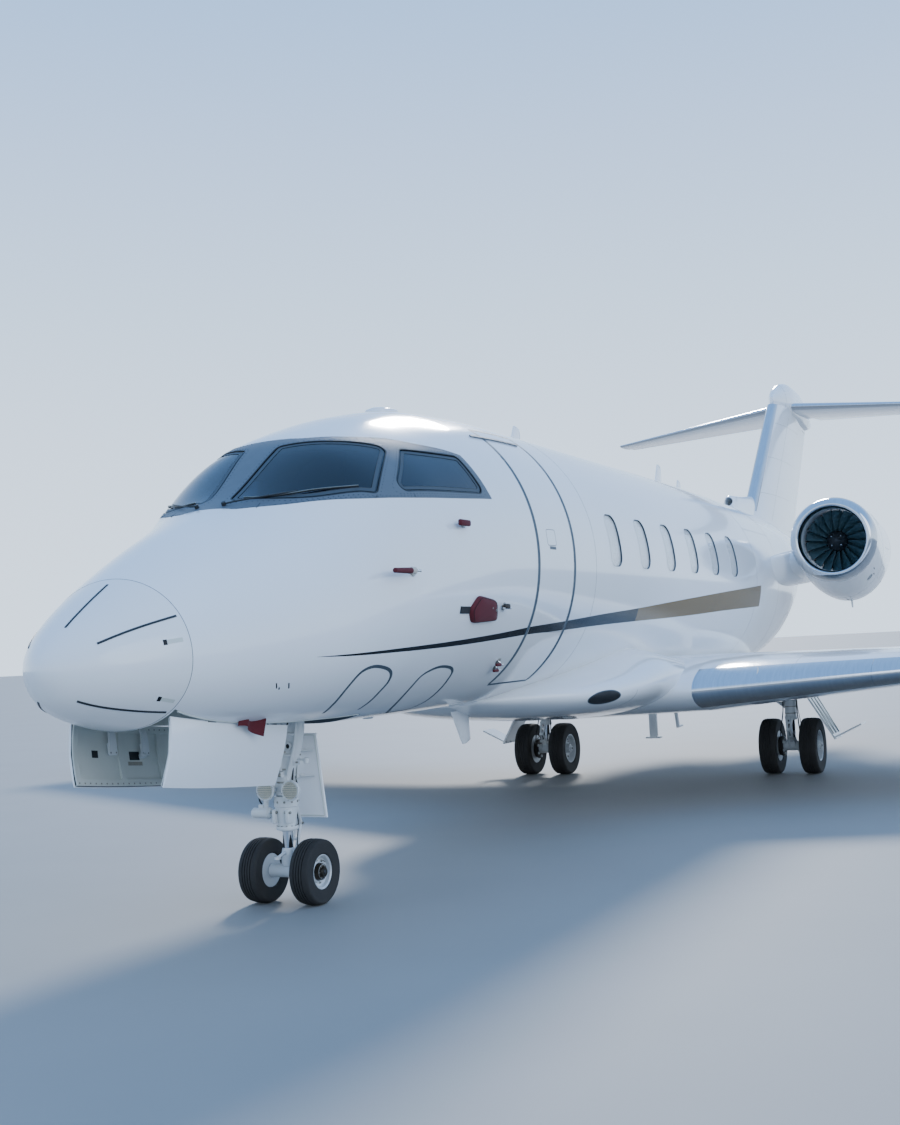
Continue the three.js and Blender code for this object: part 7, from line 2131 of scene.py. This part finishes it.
# Pale floor, soft light and the camera where the photo was taken from
studio = {"floor": 400.0, "camera": (5.3801, -16.0486, 1.7253), "yaw": -26.776, "pitch": 3.535, "roll": -2.903,
          "lens": 43.256, "zenith": "79A6DE", "horizon": "D3E5F8", "skyStrength": 2.1,
          "floorTones": ("939290", "8B8A88"),
          # columns: name, where it shines from, the angle it spans in degrees, strength
          "lights": (("keyLight", (-6.5, 19, 12), 10, 3.2), ("sideFill", (20, -9, 9), 40, 0.7))}
floorMesh = bpy.data.meshes.new("studioFloor")
half = studio["floor"]
floorMesh.from_pydata([(-half, -half, -0.001), (half, -half, -0.001), (half, half, -0.001), (-half, half, -0.001)],
                      [], [(0, 1, 2, 3)])
studioFloor = bpy.data.objects.new("studioFloor", floorMesh)
bpy.context.scene.collection.objects.link(studioFloor)
tree, place, shader = startMaterial("paleScreed")
patches = add(tree, "ShaderNodeTexNoise", {"Vector": place, "Scale": 0.8, "Detail": 4.0})
tones = add(tree, "ShaderNodeMix", {"Factor": patches.outputs["Fac"]}, data_type="RGBA")
tones.inputs["A"].default_value, tones.inputs["B"].default_value = map(linear, studio["floorTones"])
tree.links.new(tones.outputs["Result"], shader.inputs["Base Color"])
shader.inputs["Roughness"].default_value = 0.7
floorMesh.materials.append(materials["paleScreed"])

world = bpy.data.worlds.new("softStudio")
bpy.context.scene.world = world
world.use_nodes = True
world.node_tree.nodes.clear()
# the backdrop darkens from the horizon upwards
direction = add(world.node_tree, "ShaderNodeTexCoord").outputs["Generated"]
up = add(world.node_tree, "ShaderNodeSeparateXYZ", {"Vector": direction}).outputs["Z"]
climb = add(world.node_tree, "ShaderNodeMapRange", {"Value": up, "From Min": 0.0, "From Max": 0.62},
            interpolation_type="SMOOTHSTEP")
shade = add(world.node_tree, "ShaderNodeMix", {"Factor": climb.outputs["Result"]}, data_type="RGBA")
shade.inputs["A"].default_value, shade.inputs["B"].default_value = linear(studio["horizon"]), linear(studio["zenith"])
sky = add(world.node_tree, "ShaderNodeBackground", {"Color": shade.outputs["Result"],
                                                    "Strength": studio["skyStrength"]})
add(world.node_tree, "ShaderNodeOutputWorld", {"Surface": sky.outputs["Background"]})

# the lights are suns aimed at the middle, so the floor is even
for name, place, span, power in studio["lights"]:
    light = bpy.data.lights.new(name, "SUN")
    light.angle, light.energy = math.radians(span), power
    lamp = bpy.data.objects.new(name, light)
    lamp.location = place
    lamp.rotation_euler = (-Vector(place)).to_track_quat("-Z", "Y").to_euler()
    bpy.context.scene.collection.objects.link(lamp)

yaw, pitch = math.radians(studio["yaw"]), math.radians(studio["pitch"])
forward = Vector((math.sin(yaw) * math.cos(pitch), math.cos(yaw) * math.cos(pitch), math.sin(pitch)))
level = forward.to_track_quat("-Z", "Y").to_matrix()
view = level @ Matrix.Rotation(math.radians(studio["roll"]), 3, "Z")
camera = bpy.data.objects.new("photoCamera", bpy.data.cameras.new("photoCamera"))
camera.data.lens, camera.data.sensor_width, camera.data.sensor_fit = studio["lens"], 36, "AUTO"
camera.data.clip_end = 300
camera.matrix_world = Matrix.Translation(studio["camera"]) @ view.to_4x4()
bpy.context.scene.collection.objects.link(camera)
bpy.context.scene.camera = camera
